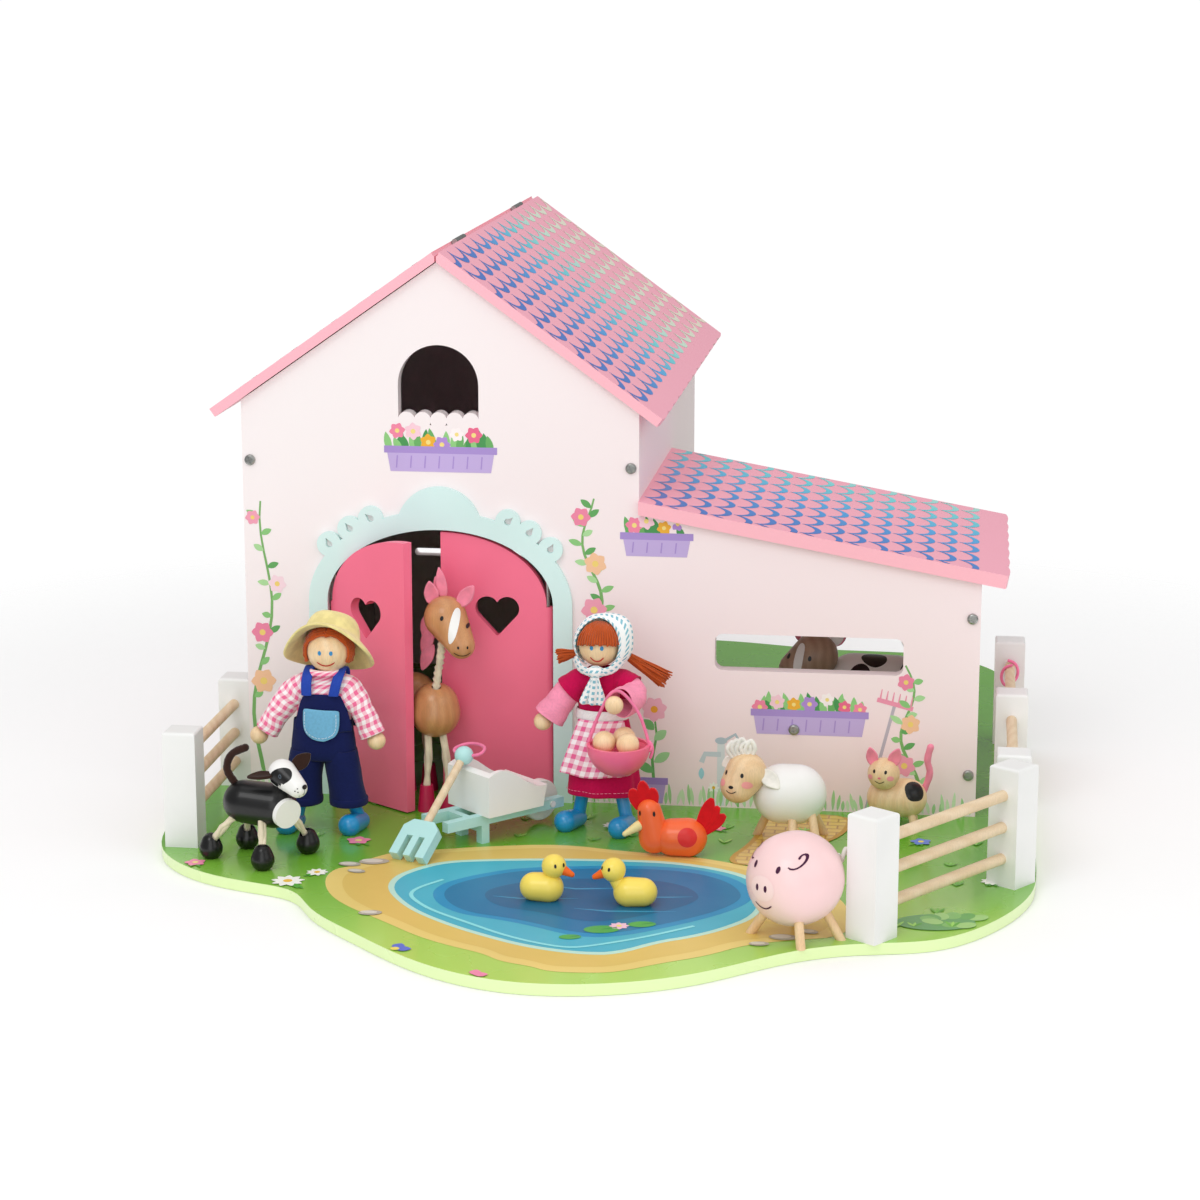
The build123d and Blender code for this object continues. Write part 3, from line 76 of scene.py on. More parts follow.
class Wiring:
    """Adds nodes to one node tree and joins them."""

    def __init__(self, tree: Nodes) -> None:
        """Keep the tree that the nodes go into.

        Args:
            tree: material, group or geometry tree.
        """
        self.tree = tree
        self.given: object = None
        self.result: object = None

    def feed(self, socket: Socket, value: object) -> None:
        """Join a socket to another, or set its plain value.

        Args:
            socket: input socket.
            value: output socket, plain value, or None to leave it.
        """
        if isinstance(value, Socket):
            self.tree.links.new(value, socket)
        elif value is not None:
            socket.default_value = value

    def add(self, kind: str, values: dict | None = None, **settings: object) -> bpy.types.Node:
        """Add one node.

        Args:
            kind: the node's type name.
            values: socket name or number to value or output socket.
            **settings: properties set on the node before its sockets.

        Returns:
            The new node.
        """
        node = self.tree.nodes.new(kind)
        for key, value in settings.items():
            setattr(node, key, value)
        for key, value in (values or {}).items():
            self.feed(node.inputs[key], value)
        return node

    def math(self, operation: str, *values: object) -> Socket:
        """Add a math node of any tree kind and return its result."""
        node = self.add("ShaderNodeMath", dict(enumerate(values)), operation=operation)
        return node.outputs[0]

    def mix(self, share: object, first: object, second: object) -> Socket:
        """Mix two colours.

        Args:
            share: 0 for the first, 1 for the second.
            first: colour or socket.
            second: colour or socket.

        Returns:
            The mixed colour socket.
        """
        node = self.add("ShaderNodeMix", data_type="RGBA")
        for slot, value in ((0, share), (6, first), (7, second)):
            self.feed(node.inputs[slot], (*value, 1.0) if isinstance(value, tuple) else value)
        return node.outputs[2]

    def band(self, value: object, low: float, high: float) -> Socket:
        """Smooth step of a value between two levels."""
        return self.add("ShaderNodeMapRange", {0: value, 1: low, 2: high},
                        interpolation_type="SMOOTHSTEP").outputs[0]

    def noise(self, place: object, scale: object, detail: float, warp: float = 0.0
              ) -> bpy.types.bpy_prop_collection:
        """Add a noise texture."""
        return self.add("ShaderNodeTexNoise", {
            "Vector": place, "Scale": scale, "Detail": detail, "Distortion": warp}).outputs


def shader_group(name: str, inputs: dict[str, float], outputs: tuple[str, ...]) -> Wiring:
    """Start a shader node group with named number sockets.

    Args:
        name: group's name.
        inputs: input names with their usual values.
        outputs: output names.

    Returns:
        Wiring of the group's tree, with its input and output nodes kept on it.
    """
    tree = bpy.data.node_groups.new(name, "ShaderNodeTree")
    for key, value in inputs.items():
        socket = tree.interface.new_socket(name=key, in_out="INPUT", socket_type="NodeSocketFloat")
        socket.default_value = value
    for key in outputs:
        tree.interface.new_socket(name=key, in_out="OUTPUT", socket_type="NodeSocketFloat")
    wiring = Wiring(tree)
    wiring.given = wiring.add("NodeGroupInput").outputs
    wiring.result = wiring.add("NodeGroupOutput").inputs
    return wiring


def paint_film() -> Nodes:
    """Sprayed paint over wood: faint cloudiness, orange peel and a trace of grain.

    Returns:
        The group's tree.
    """
    w = shader_group("paint_film", {"Scale": 60.0}, ("Cloud", "Height", "Wear"))
    place = w.add("ShaderNodeTexCoord").outputs["Object"]
    long_way = w.add("ShaderNodeMapping", {"Vector": place, "Scale": (1.0, 1.0, 0.12)})
    cloud = w.noise(place, 22.0, 3.0)
    grain = w.noise(long_way.outputs[0], 900.0, 4.0)
    peel = w.noise(place, w.math("MULTIPLY", w.given["Scale"], 14.0), 2.0)
    specks = w.noise(place, 260.0, 6.0)
    w.feed(w.result["Cloud"], w.band(cloud[0], 0.3, 0.7))
    w.feed(w.result["Height"], w.math("MULTIPLY_ADD", peel[0], 0.6, w.math("MULTIPLY", grain[0], 0.4)))
    w.feed(w.result["Wear"], w.band(specks[0], 0.62, 0.72))
    return w.tree


def wood_figure() -> Nodes:
    """Growth rings, fibre streaks and pores of turned or sawn wood.

    Returns:
        The group's tree.
    """
    w = shader_group("wood_figure", {"Scale": 90.0}, ("Rings", "Fibre", "Height"))
    place = w.add("ShaderNodeTexCoord").outputs["Object"]
    bent = w.add("ShaderNodeVectorMath", {0: w.noise(place, 35.0, 2.0)[1], 1: (0.012, 0.012, 0.03)},
                 operation="MULTIPLY")
    moved = w.add("ShaderNodeVectorMath", {0: place, 1: bent.outputs[0]}, operation="ADD")
    rings = w.add("ShaderNodeTexWave", {"Vector": moved.outputs[0], "Scale": w.given["Scale"],
                                        "Distortion": 1.5, "Detail": 2.0},
                  wave_type="RINGS", rings_direction="Z")
    long_way = w.add("ShaderNodeMapping", {"Vector": place, "Scale": (1.0, 1.0, 0.08)})
    fibre = w.noise(long_way.outputs[0], 1500.0, 3.0)
    w.feed(w.result["Rings"], rings.outputs[1])
    w.feed(w.result["Fibre"], w.band(fibre[0], 0.35, 0.7))
    w.feed(w.result["Height"], fibre[0])
    return w.tree


def cloth_weave() -> Nodes:
    """Returns:
        The group's tree.
    """
    w = shader_group("cloth_weave", {"Threads": 2600.0, "Check": 430.0},
                     ("Height", "Across", "Along", "Fuzz"))
    uv = w.add("ShaderNodeTexCoord").outputs["UV"]
    parts = w.add("ShaderNodeSeparateXYZ", {0: uv})
    waves = []
    for axis, name in enumerate(("Across", "Along")):
        turn = w.math("MULTIPLY", w.math("MULTIPLY", parts.outputs[axis], w.given["Threads"]), math.pi)
        waves.append(w.math("ABSOLUTE", w.math("SINE", turn)))
        cell = w.math("FRACT", w.math("MULTIPLY", parts.outputs[axis], w.given["Check"]))
        edge = w.math("ABSOLUTE", w.math("SUBTRACT", cell, 0.5))
        w.feed(w.result[name], w.band(edge, 0.235, 0.265))
    w.feed(w.result["Height"], w.math("MULTIPLY", *waves))
    w.feed(w.result["Fuzz"], w.noise(uv, 700.0, 4.0)[0])
    return w.tree


def felt_fibres() -> Nodes:
    """Matted fibres of felt, yarn and pressed cloth.

    Returns:
        The group's tree.
    """
    w = shader_group("felt_fibres", {"Scale": 1200.0}, ("Tuft", "Height"))
    place = w.add("ShaderNodeTexCoord").outputs["Object"]
    w.feed(w.result["Tuft"], w.noise(place, 180.0, 4.0)[0])
    w.feed(w.result["Height"], w.noise(place, w.given["Scale"], 8.0, 1.2)[0])
    return w.tree


class Surface(Enum):
    """What a finish is made of."""

    PAINT = "paint"
    WOOD = "wood"
    CLOTH = "cloth"
    CHECK = "check"
    DOTS = "dots"
    FELT = "felt"
    METAL = "metal"
    WALL = "wall"
    MEADOW = "meadow"
    BRICK = "brick"
    ROOF = "roof"
    ARCS = "arcs"


RELIEF = {Surface.CLOTH: 0.07, Surface.CHECK: 0.07, Surface.DOTS: 0.07, Surface.FELT: 0.16}
HARD_RELIEF = 0.2
GROUPS: dict[str, Nodes] = {}
MATERIALS: dict[str, bpy.types.Material] = {}


@dataclass(frozen=True)
class Finish:
    """One finish: its kind, colours and gloss."""

    name: str
    kind: Surface
    color: str
    second: str = "ffffff"
    rough: float = 0.5
    coat: float = 0.0
    bump: float = 0.1
    scale: float = 1.0

    def group(self, w: Wiring, name: str, **values: float) -> bpy.types.Node:
        """Place one of the shared shader groups.

        Args:
            w: wiring of the material.
            name: group's name.
            **values: plain values of its sockets.

        Returns:
            The group node.
        """
        node = w.add("ShaderNodeGroup", node_tree=GROUPS[name])
        for key, value in values.items():
            node.inputs[key].default_value = value
        return node

    def pattern(self, w: Wiring) -> tuple[object, object, object]:
        """Build the colour, height and roughness of this finish.

        Args:
            w: wiring of the material.

        Returns:
            Colour, height and roughness, each a socket or a plain value.
        """
        base, other = rgb(self.color), rgb(self.second)
        darker = tuple(c * 0.9 for c in base)
        if self.kind in (Surface.CLOTH, Surface.CHECK, Surface.DOTS):
            return self.woven(w, base, other)
        if self.kind is Surface.FELT:
            felt = self.group(w, "felt_fibres", Scale=1100.0 * self.scale)
            share = w.band(felt.outputs["Tuft"], 0.35, 0.65)
            return w.mix(share, tuple(c * 0.86 for c in base), base), felt.outputs["Height"], None
        if self.kind is Surface.WOOD:
            wood = self.group(w, "wood_figure", Scale=60.0 * self.scale)
            rings = w.math("MULTIPLY", wood.outputs["Rings"], 0.45)
            tone = w.mix(rings, base, other)
            fibre = w.math("MULTIPLY", wood.outputs["Fibre"], 0.28)
            return w.mix(fibre, tone, tuple(c * 0.62 for c in base)), wood.outputs["Height"], None
        if self.kind is Surface.METAL:
            film = self.group(w, "paint_film", Scale=120.0)
            rough = w.math("MULTIPLY_ADD", film.outputs["Cloud"], 0.12, self.rough)
            return w.mix(film.outputs["Cloud"], base, darker), film.outputs["Height"], rough
        film = self.group(w, "paint_film", Scale=60.0)
        cloud = w.math("MULTIPLY", film.outputs["Cloud"], 0.5)
        if self.kind is Surface.PAINT:
            tone = w.mix(cloud, base, darker)
        else:
            tone = self.printed(w, base, other, cloud)
        rough = w.math("MULTIPLY_ADD", film.outputs["Cloud"], 0.08, self.rough)
        return tone, film.outputs["Height"], rough

    def woven(self, w: Wiring, base: Color, other: Color) -> tuple[object, object, object]:
        """Cloth: plain, checked or with small printed spots.

        Args:
            w: wiring of the material.
            base: ground colour.
            other: colour of the checks or spots.

        Returns:
            Colour, height and roughness.
        """
        weave = self.group(w, "cloth_weave", Threads=2300.0, Check=self.scale)
        fuzz = w.math("MULTIPLY", w.band(weave.outputs["Fuzz"], 0.35, 0.7), 0.35)
        shaded = tuple(c * 0.7 for c in base)
        if self.kind is Surface.CLOTH:
            return w.mix(fuzz, base, shaded), weave.outputs["Height"], None
        across, along = weave.outputs["Across"], weave.outputs["Along"]
        if self.kind is Surface.DOTS:
            spot = w.math("MULTIPLY", across, along)
            return w.mix(spot, base, other), weave.outputs["Height"], None
        middle = tuple((a + b) / 2 for a, b in zip(base, other))
        first = w.mix(along, base, middle)
        second = w.mix(along, middle, other)
        return w.mix(across, first, second), weave.outputs["Height"], None

    def printed(self, w: Wiring, base: Color, other: Color, cloud: object) -> object:
        """Boards that carry a print: walls, meadow, path and roofs.

        Args:
            w: wiring of the material.
            base: main colour.
            other: second colour.
            cloud: faint shading mask.

        Returns:
            The colour socket.
        """
        spot = w.add("ShaderNodeTexCoord")
        place = w.add("ShaderNodeSeparateXYZ", {0: spot.outputs["Object"]})
        facing = w.add("ShaderNodeSeparateXYZ", {0: spot.outputs["Normal"]})
        if self.kind is Surface.WALL:
            share = w.band(place.outputs[0], -0.22, 0.12)
            lower = w.band(place.outputs[2], 0.25, 0.0)
            return w.mix(w.math("MULTIPLY_ADD", lower, 0.35, w.math("MULTIPLY", share, 0.6)),
                         base, other)
        if self.kind is Surface.MEADOW:
            noise = w.noise(spot.outputs["Object"], 9.0, 1.0)
            depth = w.math("MULTIPLY_ADD", noise[0], 0.12, place.outputs[1])
            tone = w.mix(w.band(depth, -0.29, -0.06), base, other)
            side = w.band(facing.outputs[2], 0.35, 0.15)
            return w.mix(side, tone, rgb("dff3b4"))
        if self.kind is Surface.BRICK:
            tile = w.add("ShaderNodeTexBrick", {
                "Vector": spot.outputs["Object"], "Color1": (*base, 1), "Color2": (*other, 1),
                "Mortar": (*rgb("b98a3a"), 1), "Scale": 55.0, "Mortar Size": 0.03,
                "Brick Width": 0.62, "Row Height": 0.34})
            return tile.outputs[0]
        if self.kind is Surface.ARCS:
            run = w.math("MULTIPLY_ADD", place.outputs[0], self.scale, place.outputs[1])
            ramp = w.add("ShaderNodeValToRGB", {0: w.band(run, -0.07, 0.31)})
            stops = ("2f70cf", "38a9ee", "6adfe6", "d4f3dc", "f8ecd6")
            line = ramp.color_ramp
            for index, code in enumerate(stops):
                at = index / (len(stops) - 1)
                stop = line.elements[0] if index == 0 else line.elements[-1] if at == 1 else \
                    line.elements.new(at)
                stop.position, stop.color = at, (*rgb(code), 1)
            return ramp.outputs[0]
        side = w.band(facing.outputs[2], 0.75, 0.6)
        return w.mix(side, w.mix(cloud, base, tuple(c * 0.95 for c in base)), other)

    def material(self) -> bpy.types.Material:
        """Make the material once and return it after that.

        Returns:
            The material.
        """
        if self.name in MATERIALS:
            return MATERIALS[self.name]
        material = MATERIALS[self.name] = bpy.data.materials.new(self.name + "_finish")
        material.use_nodes = True
        w = Wiring(material.node_tree)
        surface = w.tree.nodes["Principled BSDF"]
        tone, height, rough = self.pattern(w)
        values = {"Base Color": tone, "Roughness": self.rough if rough is None else rough,
                  "Metallic": 1.0 if self.kind is Surface.METAL else 0.0,
                  "Coat Weight": self.coat, "Coat Roughness": 0.12}
        if self.kind in RELIEF:
            values |= {"Sheen Weight": 0.3 if self.kind is Surface.FELT else 0.12,
                       "Sheen Roughness": 0.45, "Specular IOR Level": 0.15}
        elif self.name.startswith("ink_"):
            values["Specular IOR Level"] = 0.25
        bump = w.add("ShaderNodeBump", {"Strength": self.bump, "Height": height,
                                        "Distance": RELIEF.get(self.kind, HARD_RELIEF) * MM})
        values["Normal"] = bump.outputs[0]
        for name, value in values.items():
            w.feed(surface.inputs[name], value)
        return material


def ink(code: str) -> Finish:
    """Printing ink of one colour, with the board's own varnish."""
    return Finish("ink_" + code, Surface.PAINT, code, rough=0.28, coat=0.0, bump=0.03)


WALL = Finish("wall_print", Surface.WALL, "f8f0f0", "fae4e7", rough=0.42, coat=0.1, bump=0.05)
MEADOW = Finish("meadow_print", Surface.MEADOW, "b2e263", "66b02a", rough=0.24, coat=0.45, bump=0.03)
BRICK = Finish("brick_path", Surface.BRICK, "e8c95f", "d9b450", rough=0.26, coat=0.5, bump=0.03)
ROOF = Finish("roof_print", Surface.ROOF, "ffb0c3", "ffb9c6", rough=0.38, coat=0.15, bump=0.05)
MAIN_ARCS = Finish("main_roof_arcs", Surface.ARCS, "4a8ad8", rough=0.3, coat=0.3, scale=0.35)
LEAN_ARCS = Finish("lean_roof_arcs", Surface.ARCS, "4a8ad8", rough=0.3, coat=0.3, scale=0.2)
AQUA = Finish("aqua_trim", Surface.PAINT, "daf5f2", rough=0.42, coat=0.1, bump=0.08)
DOOR = Finish("door_pink", Surface.PAINT, "ff7394", rough=0.4, coat=0.15, bump=0.1)
WHITE = Finish("white_paint", Surface.PAINT, "efefed", rough=0.5, coat=0.05, bump=0.22)
MINT = Finish("mint_paint", Surface.PAINT, "b6e4e2", rough=0.42, coat=0.1, bump=0.08)
DOWEL = Finish("bare_dowel", Surface.WOOD, "ead3b2", "d8b98f", rough=0.62, bump=0.25)
TURNED = Finish("turned_wood", Surface.WOOD, "efcfa4", "e2b682", rough=0.42, coat=0.15, bump=0.12)
FACE = Finish("face_wood", Surface.WOOD, "f8d9ae", "f1c48f", rough=0.4, coat=0.2, bump=0.08)
HORSE = Finish("horse_wood", Surface.WOOD, "cf9562", "b8794a", rough=0.36, coat=0.35, bump=0.15)
STEEL = Finish("screw_steel", Surface.METAL, "b9bbb8", rough=0.3, bump=0.1)


# Mesh helpers

MERGE = 0.001


def link(name: str, mesh: Mesh, body: str, finishes: list[Finish],
         smooth: bool = True) -> Piece:
    """Put a finished mesh into the scene as a piece that rides on a body.

    Args:
        name: piece name.
        mesh: mesh in metres, in the row frame.
        body: name of the CAD body that it moves with.
        finishes: finishes of the mesh's material slots, in order.
        smooth: round shading.

    Returns:
        The new object.
    """
    piece = bpy.data.objects.new(name, mesh)
    bpy.context.scene.collection.objects.link(piece)
    kinds = [face.material_index for face in mesh.polygons]
    mesh.materials.clear()
    for finish in finishes:
        mesh.materials.append(finish.material())
    for face, kind in zip(mesh.polygons, kinds):
        face.use_smooth = smooth
        face.material_index = min(kind, len(finishes) - 1)
    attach(piece, body)
    log.info("piece %s on %s, %d faces", name, body, len(mesh.polygons))
    return piece


def mesh_of(name: str, points: list[Point], faces: list[list[int]],
            uvs: list[list[Flat]] | None = None, kinds: list[int] | None = None) -> Mesh:
    """Mesh from millimetre points and faces, with an own UV map where it is given.

    Args:
        name: mesh name.
        points: corners in millimetres.
        faces: corner numbers of each face.
        uvs: UV places of the first faces' corners, in millimetres.
        kinds: material number of each face.

    Returns:
        The mesh in metres.
    """
    mesh = bpy.data.meshes.new(name)
    mesh.from_pydata([tuple(c * MM for c in p) for p in points], [], faces)
    if uvs:
        layer = mesh.uv_layers.new(name="cut")
        for face, places in zip(mesh.polygons, uvs):
            for corner, place in zip(face.loop_indices, places):
                layer.data[corner].uv = (place[0] * MM, place[1] * MM)
    for face, kind in zip(mesh.polygons, kinds or []):
        face.material_index = kind
    mesh.update()
    return mesh


@contextmanager
def edited(mesh: Mesh) -> Iterator[bmesh.types.BMesh]:
    """Open a mesh for edits, and write them back at the end.

    Args:
        mesh: mesh to change.

    Yields:
        Its editable form.
    """
    work = bmesh.new()
    work.from_mesh(mesh)
    yield work
    work.to_mesh(mesh)
    work.free()


def grid_faces(rows: int, columns: int, closed: bool = True, first: int = 0) -> list[list[int]]:
    """Four-sided faces over a grid of corners, row by row.

    Args:
        rows: rows of corners.
        columns: corners in each row.
        closed: each row joins its last corner to its first.
        first: number of the grid's first corner.

    Returns:
        Corner numbers of each face.
    """
    faces = []
    for row in range(rows - 1):
        low, high = first + row * columns, first + (row + 1) * columns
        for k in range(columns if closed else columns - 1):
            after = (k + 1) % columns
            faces.append([low + k, low + after, high + after, high + k])
    return faces


def skin(name: str, rings: list[list[Point]], across: list[list[float]], along: list[float],
         closed: bool = True, cap: bool = False) -> Mesh:
    """Skin over rings of points, with its UV map.

    Args:
        name: mesh name.
        rings: rings with the same number of points, in millimetres.
        across: first UV coordinate of each ring's points, with one more where it closes.
        along: second UV coordinate of each ring.
        closed: each ring joins its last point to its first.
        cap: close the first and last ring with a face.

    Returns:
        The skin's mesh.
    """
    count = len(rings[0])
    faces = grid_faces(len(rings), count, closed)
    uvs = [[(across[row + j][k + i], along[row + j]) for i, j in ((0, 0), (1, 0), (1, 1), (0, 1))]
           for row in range(len(rings) - 1) for k in range(count if closed else count - 1)]
    if cap:
        last = (len(rings) - 1) * count
        faces += [list(range(count))[::-1], list(range(last, last + count))]
    return mesh_of(name, [point for ring in rings for point in ring], faces, uvs)


def join(parts: list[Mesh], name: str) -> Mesh:
    """Copy several meshes into one, keeping their UV maps.

    Args:
        parts: meshes to copy, which are removed.
        name: name of the new mesh.

    Returns:
        The joined mesh.
    """
    whole = bmesh.new()
    mesh = bpy.data.meshes.new(name)
    for part in parts:
        whole.from_mesh(part)
        bpy.data.meshes.remove(part)
    whole.to_mesh(mesh)
    whole.free()
    return mesh


def mend(mesh: Mesh) -> Mesh:
    """Merge doubled corners and turn the faces outward.

    Args:
        mesh: mesh to change.

    Returns:
        The same mesh.
    """
    with edited(mesh) as work:
        bmesh.ops.remove_doubles(work, verts=work.verts, dist=MERGE * MM)
        bmesh.ops.recalc_face_normals(work, faces=work.faces)
    return mesh


def settle(mesh: Mesh, **modifiers: dict) -> Mesh:
    """Apply modifiers to a mesh and return the result.

    Args:
        mesh: mesh to work on, which is removed.
        **modifiers: modifier type to its settings, in order.

    Returns:
        The changed mesh.
    """
    stand = bpy.data.objects.new("work", mesh)
    bpy.context.scene.collection.objects.link(stand)
    for kind, values in modifiers.items():
        modifier = stand.modifiers.new(kind, kind)
        for key, value in values.items():
            setattr(modifier, key, value)
    graph = bpy.context.evaluated_depsgraph_get()
    result = bpy.data.meshes.new_from_object(stand.evaluated_get(graph))
    bpy.data.objects.remove(stand)
    bpy.data.meshes.remove(mesh)
    return result


def thicken(mesh: Mesh, depth: float, side: float = -1.0) -> Mesh:
    """Give an open skin a depth, inward at side -1 and to both sides at 0, with soft edges."""
    return settle(mesh, SOLIDIFY={"thickness": depth * MM, "offset": side},
                  SUBSURF={"levels": 1, "render_levels": 1})


def circle(count: int) -> list[Flat]:
    """Cosine and sine of evenly spaced turns."""
    return [(math.cos(math.tau * k / count), math.sin(math.tau * k / count)) for k in range(count)]


def turned(profile: list[Flat], start: Point, axis: Point, sides: int = 40) -> Mesh:
    """Solid of revolution.

    Args:
        profile: distances along the axis with their radii.
        start: start of the axis.
        axis: its direction.
        sides: faces round it.

    Returns:
        A closed mesh.
    """
    start, turn = Vector(start), Vector(axis).normalized().to_track_quat("Z", "Y")
    rings = []
    for along, radius in profile:
        rings.append([tuple(start + turn @ Vector((radius * c, radius * s, along)))
                      for c, s in circle(sides)])
    across = [[k * 1.2 for k in range(sides + 1)]] * len(rings)
    return mend(skin("turned", rings, across, [along for along, _ in profile]))


def egg(a: Point, b: Point, ra: float, rb: float) -> Mesh:
    """Round-ended body between two balls, smooth from one to the other.

    Args:
        a: centre of the first ball.
        b: centre of the second ball.
        ra: first radius.
        rb: second radius.

    Returns:
        A closed mesh.
    """
    start, way, steps = Vector(a), Vector(b) - Vector(a), 13
    lean = math.asin((ra - rb) / way.length)
    profile = []
    for step in range(steps + 1):
        angle = -math.pi / 2 + (math.pi / 2 + lean) * step / steps
        profile.append((ra * math.sin(angle), ra * math.cos(angle)))
    for step in range(steps + 1):
        angle = lean + (math.pi / 2 - lean) * step / steps
        profile.append((way.length + rb * math.sin(angle), rb * math.cos(angle)))
    return turned(profile, start, way.normalized())


def frames_along(line: list[Point], across: Vector) -> list[tuple[Vector, Vector, Vector, float]]:
    """Directions that follow a line without twisting.

    Args:
        line: points of the line.
        across: sideways direction to start from.

    Returns:
        For each point its place, two directions across the line and the length so far.
    """
    spots = [Vector(point) for point in line]
    frames, run = [], 0.0
    for k, spot in enumerate(spots):
        way = (spots[min(k + 1, len(spots) - 1)] - spots[max(k - 1, 0)]).normalized()
        across = across - way * across.dot(way)
        across = (across if across.length > 1e-4 else way.orthogonal()).normalized()
        run += (spot - spots[k - 1]).length if k else 0.0
        frames.append((spot, across, way.cross(across), run))
    return frames


def tube(line: list[Point], radius: float | list[float], sides: int = 12) -> Mesh:
    """Round rod with rounded ends along a line of points.

    Args:
        line: centre line in millimetres.
        radius: one radius, or one for each point.
        sides: faces round it.

    Returns:
        The rod's mesh.
    """
    spots = [Vector(p) for p in line]
    radii = radius if isinstance(radius, list) else [radius] * len(spots)
    caps = []
    for end, near in ((0, 1), (-1, -2)):
        out = (spots[end] - spots[near]).normalized()
        caps.append([(spots[end] + out * radii[end] * f, radii[end] * math.sqrt(1 - f * f) + 0.001)
                     for f in (0.4, 0.75, 0.95, 1.0)])
    whole = [*reversed(caps[0]), *zip(spots, radii), *caps[1]]
    frames = frames_along([spot for spot, _ in whole], Vector((0, 0, 0)))
    rings = []
    for (spot, across, other, _), (_, reach) in zip(frames, whole):
        rings.append([tuple(spot + (across * c + other * s) * reach) for c, s in circle(sides)])
    girth = math.tau * max(reach for _, reach in whole) / sides
    return skin("tube", rings, [[k * girth for k in range(sides + 1)]] * len(rings),
                [run for *_, run in frames], cap=True)


def loft(rings: list[list[Point]], name: str, closed: bool = True, cap: bool = False
         ) -> Mesh:
    """Skin over rings of points, with a UV map that keeps their real distances.

    Args:
        rings: rings with the same number of points, in millimetres.
        name: mesh name.
        closed: each ring joins its last point to its first.
        cap: close the first and last ring with a face.

    Returns:
        The skin's mesh.
    """
    count = len(rings[0])
    across, along = [], [0.0]
    for ring in rings:
        across.append([0.0])
        for k in range(count if closed else count - 1):
            across[-1].append(across[-1][-1] + math.dist(ring[k], ring[(k + 1) % count]))
    for before, ring in zip(rings, rings[1:]):
        along.append(along[-1] + math.dist(before[count // 4], ring[count // 4]))
    return skin(name, rings, across, along, closed, cap)


def ring(centre: Point, across: float, deep: float, count: int = 48, waves: int = 0,
         height: float = 0.0, shift: float = 0.0) -> list[Point]:
    """Level oval ring, with folds where it is asked for.

    Args:
        centre: its centre.
        across: half width along x.
        deep: half depth along y.
        count: number of points.
        waves: folds round it.
        height: depth of the folds.
        shift: turn of the folds.

    Returns:
        Its points.
    """
    points = []
    for k in range(count):
        angle = math.tau * k / count
        fold = 1 + height * math.sin(waves * angle + shift) + height * 0.4 * math.sin(
            (waves * 1.6) // 1 * angle + shift * 2.3)
        points.append(tuple(Vector(centre) + Vector((
            across * math.cos(angle) * fold, deep * math.sin(angle) * fold, 0))))
    return points


# Prints on the boards

def surface_of(*things: str | Mesh) -> BVHTree:
    """Search tree over surfaces that shapes are laid on.

    Args:
        *things: CAD nodes or meshes.

    Returns:
        The tree over all their faces.
    """
    work = bmesh.new()
    for thing in things:
        work.from_mesh(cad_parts[thing].data if isinstance(thing, str) else thing)
    tree = BVHTree.FromBMesh(work)
    work.free()
    return tree


def oval_line(centre: Flat, across: float, up: float, turn: float = 0.0) -> list[Flat]:
    """Outline of an oval.

    Args:
        centre: its middle.
        across: half width.
        up: half height.
        turn: turn in degrees.

    Returns:
        Its corners.
    """
    c, s = math.cos(math.radians(turn)), math.sin(math.radians(turn))
    spots = [(across * x, up * y) for x, y in circle(28)]
    return [(centre[0] + c * x - s * y, centre[1] + s * x + c * y) for x, y in spots]


def sideways(line: list[Flat]) -> list[Flat]:
    """Directions square to a line at each of its points.

    Args:
        line: points of the line.

    Returns:
        Unit directions to its left.
    """
    found = []
    for k in range(len(line)):
        a, b = line[max(k - 1, 0)], line[min(k + 1, len(line) - 1)]
        run = math.dist(a, b) or 1.0
        found.append((-(b[1] - a[1]) / run, (b[0] - a[0]) / run))
    return found


class Artwork:
    """Thin painted or printed shapes that make up one piece."""

    flat = False

    def __init__(self, name: str, body: str, slot: str, ground: BVHTree | None) -> None:
        """Name the piece and what it lies on.

        Args:
            name: piece name.
            body: CAD body that it rides on.
            slot: record material slot; kept but not used.
            ground: surface that the shapes lie on.
        """
        self.name, self.body, self.slot, self.ground = name, body, slot, ground
        self.points: list[Point] = []
        self.faces: list[list[int]] = []
        self.kinds: list[int] = []
        self.finishes: list[Finish] = []

    def kind(self, finish: Finish) -> int:
        """Number of a finish among those of this piece.

        Args:
            finish: finish to look up, or to add if it is new.

        Returns:
            Its place in the piece's list of finishes.
        """
        if finish not in self.finishes:
            self.finishes.append(finish)
        return self.finishes.index(finish)

    def add(self, points: list[Point], faces: list[list[int]], kind: int) -> None:
        """Add one shape.

        Args:
            points: its corners in millimetres.
            faces: its faces, whose numbers go on from the corners that are there.
            kind: number of its finish.
        """
        self.points += points
        self.faces += faces
        self.kinds += [kind] * len(faces)

    def make(self) -> Piece:
        """Build the piece and put it into the scene.

        Returns:
            The piece.
        """
        mesh = mesh_of(self.name, self.points, self.faces, None, self.kinds)
        if self.flat:
            with edited(mesh) as work:
                bmesh.ops.triangulate(work, faces=work.faces)
        return link(self.name, mesh, self.body, self.finishes, smooth=not self.flat)


